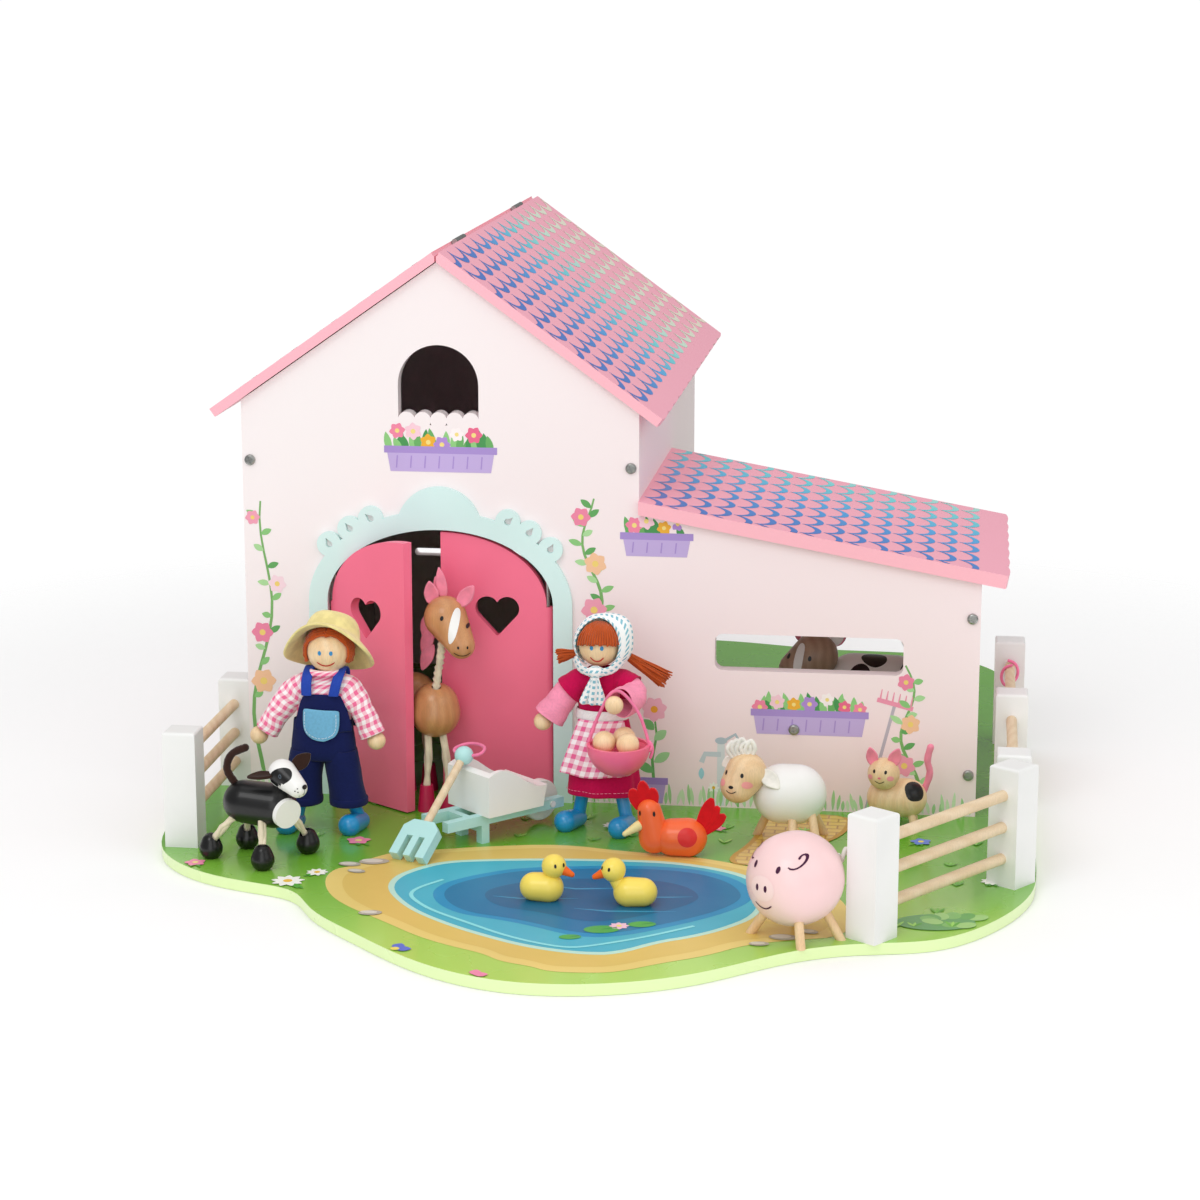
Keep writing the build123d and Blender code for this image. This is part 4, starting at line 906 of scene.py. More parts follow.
class Print(Artwork):
    """Printed shapes on one flat face of a board, each colour a little proud of the last."""

    flat = True
    base_lift, layer_lift, shape_lift = 0.05, 0.035, 0.003
    probe = 3

    def __init__(self, name: str, slot: str, origin: Point, up: Point, board: str) -> None:
        """Set the face that the print lies on.

        Args:
            name: piece name.
            slot: record material slot; not used.
            origin: place of the print's own zero, in millimetres.
            up: direction of its second coordinate; the first runs along x.
            board: CAD node of the farm's body that every shape has to lie on.
        """
        super().__init__(name, "farm", slot, surface_of(board))
        self.origin, self.across, self.up = Vector(origin), Vector((1, 0, 0)), Vector(up)
        self.out = self.across.cross(self.up).normalized()
        self.layer = 0

    def raise_layer(self, layers: int = 1) -> None:
        """Lay what follows over what is there."""
        self.layer += layers

    def patch(self, outline: list[Flat], finish: Finish) -> None:
        """Add one filled shape, unless a part of it would lie off the board.

        Args:
            outline: its corners, in the face's own millimetres.
            finish: its finish.
        """
        kind = self.kind(finish)
        area = sum(a[0] * b[1] - b[0] * a[1] for a, b in zip(outline, outline[1:] + outline[:1]))
        lift = self.base_lift + self.layer_lift * self.layer + self.shape_lift * (len(self.faces) % 11)
        spots = [self.origin + self.across * u + self.up * v + self.out * lift
                 for u, v in (outline if area > 0 else outline[::-1])]
        if all(self.ground.ray_cast((spot + self.out) * MM, -self.out, self.probe * MM)[0]
               for spot in spots):
            first = len(self.points)
            self.add([tuple(spot) for spot in spots], [list(range(first, first + len(spots)))], kind)

    def oval(self, centre: Flat, across: float, up: float, finish: Finish, turn: float = 0.0) -> None:
        """Add an oval, turned by an angle in degrees."""
        self.patch(oval_line(centre, across, up, turn), finish)

    def bar(self, left: float, right: float, low: float, high: float, finish: Finish) -> None:
        """Add an upright oblong between two ends and two heights."""
        self.patch([(left, high), (left, low), (right, low), (right, high)], finish)

    def stroke(self, line: list[Flat], width: float | list[float], finish: Finish) -> None:
        """Add a brushed line.

        Args:
            line: its middle.
            width: one width, or one at each point.
            finish: its finish.
        """
        widths = width if isinstance(width, list) else [width] * len(line)
        left, right = [], []
        for spot, (nx, ny), wide in zip(line, sideways(line), widths):
            left.append((spot[0] + nx * wide / 2, spot[1] + ny * wide / 2))
            right.append((spot[0] - nx * wide / 2, spot[1] - ny * wide / 2))
        self.patch(left + right[::-1], finish)

    def leaf(self, root: Flat, tip: Flat, width: float, finish: Finish) -> None:
        """Add a pointed leaf or petal.

        Args:
            root: its root.
            tip: its tip.
            width: its width.
            finish: its finish.
        """
        run = math.dist(root, tip) or 1.0
        ux, uy = (tip[0] - root[0]) / run, (tip[1] - root[1]) / run
        sides = {1: [], -1: []}
        for t in (0.0, 0.12, 0.28, 0.45, 0.62, 0.78, 0.9, 1.0):
            half = math.sin(math.pi * t) ** 0.8 * width / 2
            for side, line in sides.items():
                line.append((root[0] + ux * run * t - side * uy * half,
                             root[1] + uy * run * t + side * ux * half))
        self.patch(sides[1] + sides[-1][-2:0:-1], finish)

    def bloom(self, centre: Flat, size: float, petals: int, petal: Finish, heart: Finish,
              turn: float = 0.0, fat: float = 0.62) -> None:
        """Add a simple flower.

        Args:
            centre: its middle.
            size: radius over the petals.
            petals: number of petals.
            petal: finish of the petals.
            heart: finish of the middle.
            turn: turn in degrees.
            fat: petal width as a share of the radius.
        """
        for k in range(petals):
            angle = math.radians(turn) + math.tau * k / petals
            tip = (centre[0] + size * math.cos(angle), centre[1] + size * math.sin(angle))
            self.leaf(centre, tip, size * fat, petal)
        self.raise_layer()
        self.oval(centre, size * 0.27, size * 0.27, heart)
        self.raise_layer(-1)


def smooth_line(points: list[Flat], rounds: int = 2, closed: bool = True) -> list[Flat]:
    """Round an outline by cutting its corners.

    Args:
        points: its corners.
        rounds: times that each corner is cut.
        closed: the last point joins the first.

    Returns:
        The rounder outline.
    """
    for _ in range(rounds):
        count, rounder = len(points), []
        for k in range(count if closed else count - 1):
            a, b = points[k], points[(k + 1) % count]
            for share in (0.75, 0.25):
                rounder.append((a[0] * share + b[0] * (1 - share), a[1] * share + b[1] * (1 - share)))
        points = rounder if closed else [points[0], *rounder, points[-1]]
    return points


SAND = [(-132, -209), (-124, -232), (-111, -249), (-88, -269), (-67, -289), (-48, -301),
        (-31, -309), (-21, -319), (-5, -324), (4, -330), (21, -330), (37, -327), (56, -312),
        (77, -299), (95, -280), (117, -271), (143, -262), (145, -226), (129, -186), (107, -169),
        (85, -157), (61, -147), (43, -143), (19, -141), (-18, -132), (-59, -142), (-81, -150),
        (-104, -157), (-115, -170), (-123, -185), (-131, -191)]
TEAL = [(-97, -218), (-87, -238), (-74, -255), (-53, -273), (-35, -285), (-16, -296), (1, -302),
        (18, -305), (34, -303), (53, -283), (68, -274), (83, -260), (98, -238), (100, -206),
        (94, -182), (83, -170), (66, -161), (44, -155), (21, -155), (-20, -158), (-55, -164),
        (-76, -170), (-89, -184), (-97, -199)]
DEEP = [(-66, -225), (-59, -240), (-47, -251), (-28, -256), (-13, -262), (5, -272), (19, -275),
        (35, -269), (50, -257), (61, -248), (76, -233), (85, -218), (87, -205), (79, -187),
        (64, -175), (46, -170), (21, -170), (-17, -177), (-33, -182), (-44, -189), (-56, -199),
        (-65, -211)]
RIM = [(-134, -231), (-136, -209), (-135, -190), (-129, -174), (-119, -163), (-102, -147),
       (-78, -135), (-52, -130), (-16, -123), (9, -130), (36, -132), (64, -135), (84, -147),
       (110, -156), (141, -173), (158, -225), (150, -276), (110, -302), (97, -311), (79, -313),
       (57, -323), (34, -331), (3, -335), (-7, -331), (-19, -327), (-29, -320), (-47, -308),
       (-66, -296), (-85, -282), (-107, -262), (-119, -253), (-131, -244)]
PATH = [(76, -148), (86, -120), (90, -92), (91, -64), (135, -58), (133, -93), (118, -119),
        (109, -149), (85, -159)]
GLINT = [(-70, -201), (-81, -216), (-83, -227), (-77, -238), (-66, -251), (-46, -266),
         (-27, -281), (-9, -291), (9, -297), (21, -292), (44, -277), (67, -257)]


LAYERS = (
    (RIM, (0, 0), (1, 1), "2f7d3c"), (RIM, (0, -225), (0.985, 0.975), "58ad48"),
    (SAND, (0, 0), (1, 1), "ecd27c"), (SAND, (0, -218), (0.93, 0.93), "e2c46a"),
    (TEAL, (0, 0), (1, 1), "bfe9d8"), (TEAL, (1, -228), (0.965, 0.95), "44b6cd"),
    (DEEP, (8, -220), (1.08, 1.1), "1193c4"), (DEEP, (0, 0), (1, 1), "0479a8"),
    (DEEP, (10, -222), (0.72, 0.66), "066794"),
)
BLUE_FLOWER, PINK_FLOWER, DAISY = ("5c78d4", "f4e26c"), ("f58fb0", "fbe78a"), ("fdfdf4", "f3c33e")
MEADOW_FLOWERS = (
    ((228, -208), 7, BLUE_FLOWER), ((176, -104), 6, ("6d86dc", "f4e26c")), ((-74, -309), 8, BLUE_FLOWER),
    ((-30, -340), 7, PINK_FLOWER), ((-128, -141), 7, PINK_FLOWER), ((-150, -214), 9, DAISY),
    ((-138, -198), 6, DAISY), ((-172, -238), 7, DAISY), ((128, -306), 6, DAISY), ((214, -168), 6, DAISY),
    ((-206, -190), 6, PINK_FLOWER), ((6, -96), 6, DAISY), ((64, -94), 5, PINK_FLOWER),
)
STONES = ((-124, -182, 6), (-112, -176, 8), (-118, -193, 5), (112, -268, 7), (124, -258, 5),
          (101, -279, 5), (-97, -258, 6))


@dataclass
class MeadowPrint:
    """Pond, path, stones and flowers printed on the meadow board."""

    floor: float
    seed: int = 7

    def __post_init__(self) -> None:
        """Start the print and the order of its small shapes."""
        self.art = Print("meadow_motifs", "meadow_print", (0, 0, self.floor), (0, 1, 0), "base_board")
        self.dice = random.Random(self.seed)

    def pond(self) -> None:
        """Dark rim, sandy shore, teal water and its deep middle."""
        art = self.art
        for outline, (cx, cy), (wide, deep), code in LAYERS:
            art.patch(smooth_line([(cx + (x - cx) * wide, cy + (y - cy) * deep) for x, y in outline]),
                      ink(code))
            art.raise_layer()
        art.stroke(smooth_line(GLINT, 2, False), 2.2, ink("8fe6ea"))
        for x, y, wide in ((30, -238, 26), (44, -214, 18), (-18, -224, 22), (6, -205, 16)):
            art.stroke([(x - wide, y), (x - wide / 3, y - 2.2), (x + wide / 3, y - 0.5),
                        (x + wide, y + 1.6)], [0.4, 2.0, 1.6, 0.3], ink("3f9fc8"))

    def plants(self) -> None:
        """Bushes, lily pads, reeds, stones and flowers round the pond."""
        art, dice = self.art, self.dice
        art.oval((186, -236), 20, 12, ink("6fa96e"), 8)
        art.oval((205, -229), 22, 11, ink("7fb96f"), -6)
        art.raise_layer()
        for turn in range(14):
            angle = math.tau * turn / 14
            root = (198 + 15 * math.cos(angle), -232 + 7 * math.sin(angle))
            art.oval(root, 5.5, 4.0, ink(("6fae62", "87c070", "a5d283")[turn % 3]), turn * 20)
        for spot, pad in (((22, -268), 9), ((41, -258), 7), ((8, -281), 5.5)):
            art.oval(spot, pad, pad * 0.62, ink("4fae56"), 12)
            art.raise_layer()
            art.stroke([spot, (spot[0] + pad * 0.8, spot[1] + pad * 0.4)], [0.4, 1.4], ink("2b8f55"))
            art.raise_layer(-1)
        art.raise_layer()
        art.bloom((30, -262), 5.2, 8, ink("f7c6dd"), ink("f6e27a"), 10)
        for spot, size, tones in MEADOW_FLOWERS:
            for _ in range(3):
                side = dice.uniform(-1, 1)
                art.leaf(spot, (spot[0] + side * size * 1.3, spot[1] - size * 1.25), size * 0.34,
                         ink("5aab3c"))
            art.raise_layer()
            petals, fat = (9, 0.5) if tones is DAISY else (5, 0.8)
            art.bloom(spot, size, petals, ink(tones[0]), ink(tones[1]), dice.uniform(0, 60), fat)
            art.raise_layer(-1)
        for x, y, size in STONES:
            art.oval((x, y), size, size * 0.6, ink("b9b3a3"), dice.uniform(-20, 20))
            art.raise_layer()
            art.oval((x - size * 0.15, y + size * 0.12), size * 0.72, size * 0.38, ink("dcd7c8"))
            art.raise_layer(-1)
        for _ in range(70):
            x, y = dice.uniform(-215, 215), dice.uniform(-340, -70)
            if abs(x) < 150 and -330 < y < -125:
                continue
            tall = dice.uniform(5, 10)
            for lean in (-3.5, 0.5, 4.0):
                green = dice.choice(("78c04a", "5fae3d", "a4da6c"))
                art.leaf((x, y), (x + lean, y + tall), 1.6, ink(green))

    def path(self) -> None:
        """Brick path from the lean-to to the pond."""
        self.art.patch(smooth_line([(x + (3 if x > 100 else -3), y) for x, y in PATH]), ink("c79b3f"))
        self.art.raise_layer()
        self.art.patch(smooth_line(PATH), BRICK)
        self.art.raise_layer()

    def build(self) -> Piece:
        """Lay the whole print.

        Returns:
            The piece.
        """
        self.pond()
        self.path()
        self.plants()
        return self.art.make()


@dataclass
class WallPrint:
    """Planters, climbing flowers and grass printed on the front wall."""

    face: float
    planters: tuple[tuple[float, ...], ...] = ((-127, -66, 195, 207), (80, 143, 50, 62), (6, 44, 150, 161))
    vines: tuple[tuple, ...] = (((-205, 14), (-196, 176), 5, 8.5), ((-8, 92), (-14, 182), 3, 7.5),
                                ((170, 10), (164, 92), 3, 6.5))
    daisies: tuple[float, ...] = (-172, -166, -22, -10, 12, 58, 72, 150, 164)
    pot_at: Flat = (24, 7)
    pump_at: Flat = (62, 7)
    rake_at: Flat = (150, 8)
    ends: Flat = (-208, 212)
    doorway: Flat = (-166, -30)
    grass_line: float = 6.3
    seed: int = 3

    def __post_init__(self) -> None:
        """Start the print and the order of its scattered leaves."""
        self.art = Print("wall_motifs", "wall_print", (0, self.face, 0), (0, 0, 1), "front_wall")
        self.dice = random.Random(self.seed)

    def planter(self, left: float, right: float, low: float, high: float) -> None:
        """Lilac window box with its flowers.

        Args:
            left: left end.
            right: right end.
            low: underside.
            high: rim.
        """
        art, dice = self.art, self.dice
        blooms = ("f58aa8", "fbd0dc", "f2b33c", "b48fd8", "fff4f4", "ee6d92")
        wide = right - left
        for k in range(int(wide / 3.2)):
            x = left + 2 + k * 3.2
            art.leaf((x, high - 2), (x + dice.uniform(-5, 5), high + dice.uniform(7, 13)), 4.2,
                     ink(dice.choice(("6fb268", "93cf84", "4f9a5a"))))
        art.raise_layer()
        for k in range(int(wide / 9)):
            spot = (left + 5 + k * 9 + dice.uniform(-1.5, 1.5), high + dice.uniform(3, 11))
            art.bloom(spot, dice.uniform(3.6, 5.2), 6, ink(blooms[k % len(blooms)]), ink("f7e08a"),
                      dice.uniform(0, 60), 0.8)
        art.raise_layer()
        art.patch([(left, high), (left + 2, low), (right - 2, low), (right, high)], ink("c6b0e2"))
        art.bar(left - 1.5, right + 1.5, high - 1.6, high + 2.4, ink("ad93d4"))
        art.raise_layer()
        for k in range(int(wide / 8)):
            x = left + 6 + k * 8
            art.stroke([(x, high - 3), (x - 0.6, low + 2)], 0.8, ink("ad93d4"))
        art.layer = 0

    def vine(self, root: Flat, tip: Flat, blooms: int, size: float) -> None:
        """Climbing stem with leaves and flowers.

        Args:
            root: foot of the stem.
            tip: its end.
            blooms: number of flowers.
            size: radius of the largest flower.
        """
        art, dice = self.art, self.dice
        line = []
        for k in range(18):
            t = k / 17
            sway = 4.5 * math.sin(t * 9 + root[0])
            line.append((root[0] + (tip[0] - root[0]) * t + sway, root[1] + (tip[1] - root[1]) * t))
        art.stroke(line, [2.4 - 1.4 * k / 17 for k in range(18)], ink("7fb56b"))
        art.raise_layer()
        for k in range(2, 17):
            side = 1 if k % 2 else -1
            x, y = line[k]
            art.leaf((x, y), (x + side * dice.uniform(5, 8), y + dice.uniform(1, 5)), 3.6,
                     ink(dice.choice(("8fcb80", "67ac63", "b0dea0"))))
        art.raise_layer()
        tones = ("f6a5bb", "f9c8a0", "f28aa9", "fbdde6")
        for k in range(blooms):
            x, y = line[int((k + 1) * 17 / (blooms + 0.3))]
            art.bloom((x + (4 if k % 2 else -4), y), size * (1 - 0.12 * k), 6, ink(tones[k % 4]),
                      ink("f6d778"), dice.uniform(0, 60), 0.85)
        art.layer = 0

    def foot(self) -> None:
        """Grass and daisies along the foot of the wall, apart from the doorway."""
        art, dice, ground = self.art, self.dice, self.grass_line
        x = self.ends[0]
        while x < self.ends[1]:
            x += dice.uniform(2.0, 4.0)
            if self.doorway[0] < x < self.doorway[1]:
                continue
            art.leaf((x, ground), (x + dice.uniform(-2.5, 2.5), ground + dice.uniform(6, 14)), 2.0,
                     ink(dice.choice(("c4e6b4", "aad79a", "d6edc6"))))
        art.raise_layer()
        for x in self.daisies:
            spot = (x, ground + dice.uniform(8, 15))
            art.stroke([(x, ground + 0.1), spot], 0.9, ink("86c474"))
            art.bloom(spot, 3.4, 8, ink("fdfdf8"), ink("f3c33e"), 0, 0.45)
        art.layer = 0

    def pot(self, x: float, low: float) -> None:
        """Flower pot with a tall plant.

        Args:
            x: its middle.
            low: its foot.
        """
        art = self.art
        line = [(x, low + 12), (x - 1, low + 26), (x + 1.5, low + 40), (x, low + 52)]
        art.stroke(line, [1.8, 1.6, 1.3, 1.0], ink("6fb268"))
        for k, (side, up) in enumerate(((-1, 18), (1, 24), (-1, 31), (1, 37), (-1, 43))):
            art.leaf((x, low + up), (x + side * (10 - k), low + up + 6), 5.4,
                     ink(("7cc07a", "a7dba0")[k % 2]))
        art.raise_layer()
        art.bloom((x, low + 55), 7.5, 7, ink("f7b9cb"), ink("f1a93b"), 12, 0.8)
        art.raise_layer()
        art.patch([(x - 7, low + 13), (x - 5, low), (x + 5, low), (x + 7, low + 13)], ink("bfa6de"))
        art.raise_layer()
        art.bar(x - 8, x + 8, low + 11, low + 15, ink("a78ad2"))
        art.layer = 0

    def pump(self, x: float, low: float) -> None:
        """Garden pump with a spout and a drop of water.

        Args:
            x: its middle.
            low: its foot.
        """
        art = self.art
        art.stroke([(x, low), (x, low + 38)], 4.2, ink("dfe6ea"))
        art.stroke([(x, low + 30), (x - 9, low + 30), (x - 11, low + 25)], 3.0, ink("ccd8df"))
        art.stroke([(x, low + 37), (x + 8, low + 42), (x + 13, low + 34)], 1.8, ink("b9c8d2"))
        art.raise_layer()
        art.oval((x, low + 38), 3.4, 2.0, ink("b9c8d2"))
        art.leaf((x - 11, low + 22), (x - 11, low + 15), 3.2, ink("a4dbe8"))
        art.layer = 0

    def rake(self, x: float, low: float) -> None:
        """Rake that leans on the wall.

        Args:
            x: left end of its head.
            low: its foot.
        """
        art = self.art
        art.stroke([(x - 6, low), (x + 9, low + 62)], 1.8, ink("bfb6c2"))
        art.raise_layer()
        art.stroke([(x - 1, low + 64), (x + 19, low + 59)], 2.6, ink("f39ab4"))
        for k in range(6):
            u = x + 0.5 + k * 3.4
            art.stroke([(u, low + 63 - k * 0.8), (u + 1.2, low + 70 - k * 0.8)], [1.2, 0.5], ink("f39ab4"))
        art.layer = 0

    def build(self) -> Piece:
        """Lay the whole print.

        Returns:
            The piece.
        """
        for planter in self.planters:
            self.planter(*planter)
        for vine in self.vines:
            self.vine(*vine)
        self.pot(*self.pot_at)
        self.pump(*self.pump_at)
        self.rake(*self.rake_at)
        self.foot()
        return self.art.make()


# Painted marks and felt

class Marks(Artwork):
    """Painted marks that follow the curved surface under them."""

    rings = 8
    far, near = 60, 12

    def __init__(self, name: str, body: str, slot: str, *things: str | Mesh) -> None:
        """Set what the marks lie on."""
        super().__init__(name, body, slot, surface_of(*things))

    def aim(self, centre: Point, facing: Point, roll: float = 0.0) -> None:
        """Turn the marks' own coordinates to a spot.

        Args:
            centre: point inside the body behind the spot, in millimetres.
            facing: direction that the spot looks along.
            roll: turn of the coordinates in degrees.
        """
        self.facing = Vector(facing).normalized()
        across = Vector((0, 0, 1)).cross(self.facing).normalized()
        self.across = Matrix.Rotation(math.radians(roll), 3, self.facing) @ across
        self.up = self.facing.cross(self.across)
        self.centre = Vector(centre)

    def spot(self, u: float, v: float, lift: float) -> Point:
        """Point of the surface under a place, lifted off it a little.

        Args:
            u: first coordinate.
            v: second coordinate.
            lift: height over the surface.

        Returns:
            The point in millimetres.
        """
        place = self.centre + self.across * u + self.up * v
        start = (place + self.facing * self.far) * MM
        hit, normal, _, _ = self.ground.ray_cast(start, -self.facing, 2 * self.far * MM)
        if hit is None or normal.dot(self.facing) < 0.05:
            hit, normal, _, _ = self.ground.find_nearest((place + self.facing * self.near) * MM)
        out = normal if normal.dot(self.facing) > 0 else self.facing
        return tuple(hit / MM + out * lift)

    def patch(self, outline: list[Flat], finish: Finish, lift: float = PATCH_LIFT) -> None:
        """Add a filled spot, laid in rings so that it bends with the surface.

        Args:
            outline: its corners.
            finish: its finish.
            lift: height over the surface.
        """
        count, first = len(outline), len(self.points)
        cu, cv = (sum(axis) / count for axis in zip(*outline))
        points = [self.spot(cu, cv, lift)]
        for row in range(1, self.rings + 1):
            points += [self.spot(cu + (u - cu) * row / self.rings, cv + (v - cv) * row / self.rings, lift)
                       for u, v in outline]
        fan = [[first, first + 1 + k, first + 1 + (k + 1) % count] for k in range(count)]
        rest = [[a, d, c, b] for a, b, c, d in grid_faces(self.rings, count, True, first + 1)]
        self.add(points, fan + rest, self.kind(finish))

    def oval(self, u: float, v: float, across: float, up: float, finish: Finish,
             lift: float = OVAL_LIFT) -> None:
        """Add an oval spot at a place, with its half width and half height."""
        self.patch(oval_line((u, v), across, up), finish, lift)

    def dots(self, spots: tuple[Flat, ...], across: float, up: float, finish: Finish,
             lift: float = DOT_LIFT) -> None:
        """Add alike ovals, such as eyes."""
        for u, v in spots:
            self.oval(u, v, across, up, finish, lift)

    def line(self, points: list[Flat], width: float, finish: Finish) -> None:
        """Add a painted line that tapers at its ends.

        Args:
            points: its middle.
            width: its width.
            finish: its finish.
        """
        last, spots = len(points) - 1, []
        for k, ((u, v), (nu, nv)) in enumerate(zip(points, sideways(points))):
            half = width / 2 * (0.55 if k in (0, last) else 1.0)
            spots += [self.spot(u + nu * reach, v + nv * reach, LINE_LIFT) for reach in (half, 0.0, -half)]
        self.add(spots, grid_faces(last + 1, 3, False, len(self.points)), self.kind(finish))

    def smile(self, u: float, v: float, wide: float, deep: float, finish: Finish,
              width: float) -> None:
        """Add a smile round its middle: half its width, its depth and the line's width."""
        self.line([(u + wide * (k / 6 - 1), v - deep * (1 - (k / 6 - 1) ** 2)) for k in range(13)],
                  width, finish)


POINTED = ((0, 0.35), (0.2, 0.85), (0.5, 1.0), (0.8, 0.62), (1, 0.08))
ROUNDED = ((0, 0.7), (0.3, 0.95), (0.6, 1.0), (0.85, 0.75), (1, 0.25))


def leaf(root: Point, tip: Point, width: float, thick: float, facing: Point, cup: float = 0.0,
         bend: float = 0.0, outline: tuple[Flat, ...] = POINTED) -> Mesh:
    """Cut felt leaf: an ear, a comb lobe or a mane, cupped and bent.

    Args:
        root: its root.
        tip: its tip.
        width: its widest place.
        thick: thickness of the felt.
        facing: direction that its face looks along.
        cup: depth of its hollow.
        bend: how far its middle stands off the straight.
        outline: half width along it, as shares of its length and width.

    Returns:
        A closed mesh with soft edges.
    """
    start, run = Vector(root), Vector(tip) - Vector(root)
    out = Vector(facing) - run.normalized() * Vector(facing).dot(run.normalized())
    out.normalize()
    across = run.normalized().cross(out)
    rows, columns, points = 12, 9, []
    for row in range(rows):
        t = row / (rows - 1)
        half = float(np.interp(t, [o[0] for o in outline], [o[1] for o in outline])) * width / 2
        for column in range(columns):
            s = column / (columns - 1) * 2 - 1
            lift = -cup * (1 - s * s) * math.sin(math.pi * min(t + 0.1, 1)) + bend * math.sin(math.pi * t)
            points.append(tuple(start + run * t + across * half * s + out * lift))
    return thicken(mesh_of("leaf", points, grid_faces(rows, columns, False)), thick, 0.0)


def curve_line(points: list[Point], count: int = 24) -> list[Point]:
    """Smooth line through a few points.

    Args:
        points: points that it passes.
        count: number of points returned.

    Returns:
        Evenly spaced parameter points.
    """
    at = np.linspace(0, len(points) - 1, count)
    result = []
    for t in at:
        k = min(int(t), len(points) - 2)
        u = t - k
        p = [Vector(points[max(min(k + j, len(points) - 1), 0)]) for j in (-1, 0, 1, 2)]
        spot = 0.5 * (2 * p[1] + (p[2] - p[0]) * u + (2 * p[0] - 5 * p[1] + 4 * p[2] - p[3]) * u * u
                      + (3 * p[1] - p[0] - 3 * p[2] + p[3]) * u ** 3)
        result.append(tuple(spot))
    return result


def soft_rod(line: list[Point], radius: float, seed: int) -> Mesh:
    """Felt or wool rod whose thickness wavers."""
    dice = random.Random(seed)
    return tube(line, [radius * (1 + dice.uniform(-0.06, 0.06)) for _ in line], 14)


def twisted(line: list[Point], radius: float, pitch: float, strands: int = 3) -> Mesh:
    """Laid cord: strands that wind round a line.

    Args:
        line: centre line.
        radius: outer radius of the cord.
        pitch: length of one full turn.
        strands: number of strands.

    Returns:
        The cord's mesh.
    """
    frames, parts = frames_along(line, Vector((0.3, 0.5, 0.8))), []
    for strand in range(strands):
        path = []
        for spot, one, two, along in frames:
            angle = math.tau * (along / pitch + strand / strands)
            path.append(tuple(spot + (one * math.cos(angle) + two * math.sin(angle)) * radius * 0.42))
        parts.append(tube(path, radius * 0.6, 8))
    return join(parts, "laid_cord")


def yarn(root: Point, tip: Point, spread: float, count: int, radius: float, seed: int
         ) -> Mesh:
    """Bunch of yarn strands.

    Args:
        root: tied root.
        tip: loose end.
        spread: radius of the loose end.
        count: number of strands.
        radius: radius of a strand.
        seed: number that fixes how they lie.

    Returns:
        The bunch's mesh.
    """
    dice = random.Random(seed)
    start, end = Vector(root), Vector(tip)
    way = (end - start).normalized()
    one = way.orthogonal().normalized()
    two = way.cross(one)
    parts = []
    for _ in range(count):
        angle, far = dice.uniform(0, math.tau), math.sqrt(dice.uniform(0, 1))
        side = one * math.cos(angle) + two * math.sin(angle)
        wave, phase = dice.uniform(0.2, 0.5), dice.uniform(0, 6)
        reach = dice.uniform(0.86, 1.0)
        line = []
        for k in range(12):
            t = k / 11
            off = side * far * (0.35 * spread + 0.65 * spread * t) + two * wave * math.sin(7 * t + phase)
            line.append(tuple(start + (end - start) * t * reach + off))
        parts.append(tube(line, radius, 6))
    return join(parts, "yarn")


@dataclass
class Toy:
    """A toy on the board: its body's name and its place, with the CAD nodes it is made of."""

    body: str
    place: Flat
    finishes: dict[str, Finish]

    def point(self, x: float, y: float, height: float) -> Point:
        """Point of this toy in the row frame."""
        return (self.place[0] + x, self.place[1] + y, FLOOR + height)

    def soft(self, name: str, slot: str, finish: Finish, parts: list[Mesh],
             *nodes: str) -> Piece:
        """Add one soft piece that stands for CAD nodes.

        Args:
            name: piece name.
            slot: record material slot; not used.
            finish: its finish.
            parts: meshes that it is made of.
            *nodes: CAD nodes that it stands for.

        Returns:
            The piece.
        """
        piece = link(name, join(parts, name), self.body, [finish])
        if nodes:
            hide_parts(*nodes)
        return piece

    def build(self) -> None:
        """Give the kept CAD nodes their finishes and add the rest."""
        for node, finish in self.finishes.items():
            dress(node, finish)
        self.details()
        log.info("toy %s", self.body)

    def details(self) -> None:
        """Add what is painted or sewn on."""


def dress(node: str, finish: Finish) -> None:
    """Give a CAD node a finish.

    Args:
        node: CAD node.
        finish: finish for all its slots.
    """
    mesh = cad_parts[node].data
    if not mesh.materials:
        mesh.materials.append(finish.material())
    for index in range(len(mesh.materials)):
        mesh.materials[index] = finish.material()


BLACK = Finish("black_paint", Surface.PAINT, "08080a", rough=0.3, coat=0.25, bump=0.04)
INKY = Finish("fine_black", Surface.PAINT, "101014", rough=0.4, coat=0.2, bump=0.02)
EYE_BLUE = Finish("eye_blue", Surface.PAINT, "2b8cc4", rough=0.35, coat=0.2, bump=0.02)
LIP_RED = Finish("lip_red", Surface.PAINT, "cf2a2a", rough=0.35, coat=0.2, bump=0.02)
PALE = Finish("toy_white", Surface.PAINT, "f3f2ef", rough=0.34, coat=0.25, bump=0.05)
CRIMSON = Finish("crimson_paint", Surface.PAINT, "c8174f", rough=0.36, coat=0.25, bump=0.06)
PIG_PINK = Finish("pig_pink", Surface.PAINT, "f8d3d3", rough=0.34, coat=0.3, bump=0.06)
ORANGE = Finish("orange_paint", Surface.PAINT, "f9672b", rough=0.32, coat=0.35, bump=0.05)
YELLOW = Finish("yellow_paint", Surface.PAINT, "fbe05e", rough=0.32, coat=0.35, bump=0.05)
BOOT_BLUE = Finish("boot_blue", Surface.PAINT, "1a93d0", rough=0.26, coat=0.5, bump=0.04)
BASKET = Finish("basket_pink", Surface.PAINT, "fb6f94", rough=0.34, coat=0.25, bump=0.05)
# Darker grey-brown wood that paints the shade on the cow's head under the lean-to roof.
HEAD_SHADE_WOOD = Finish("head_shade_wood", Surface.WOOD, "b2967e", "8b6f5a", rough=0.45, coat=0.15, bump=0.15)
CREAM_CORD = Finish("cream_cord", Surface.FELT, "e9dcc0", rough=0.9, bump=0.7, scale=1.4)
PINK_FELT = Finish("pink_felt", Surface.FELT, "f58ea6", rough=0.95, bump=0.9)
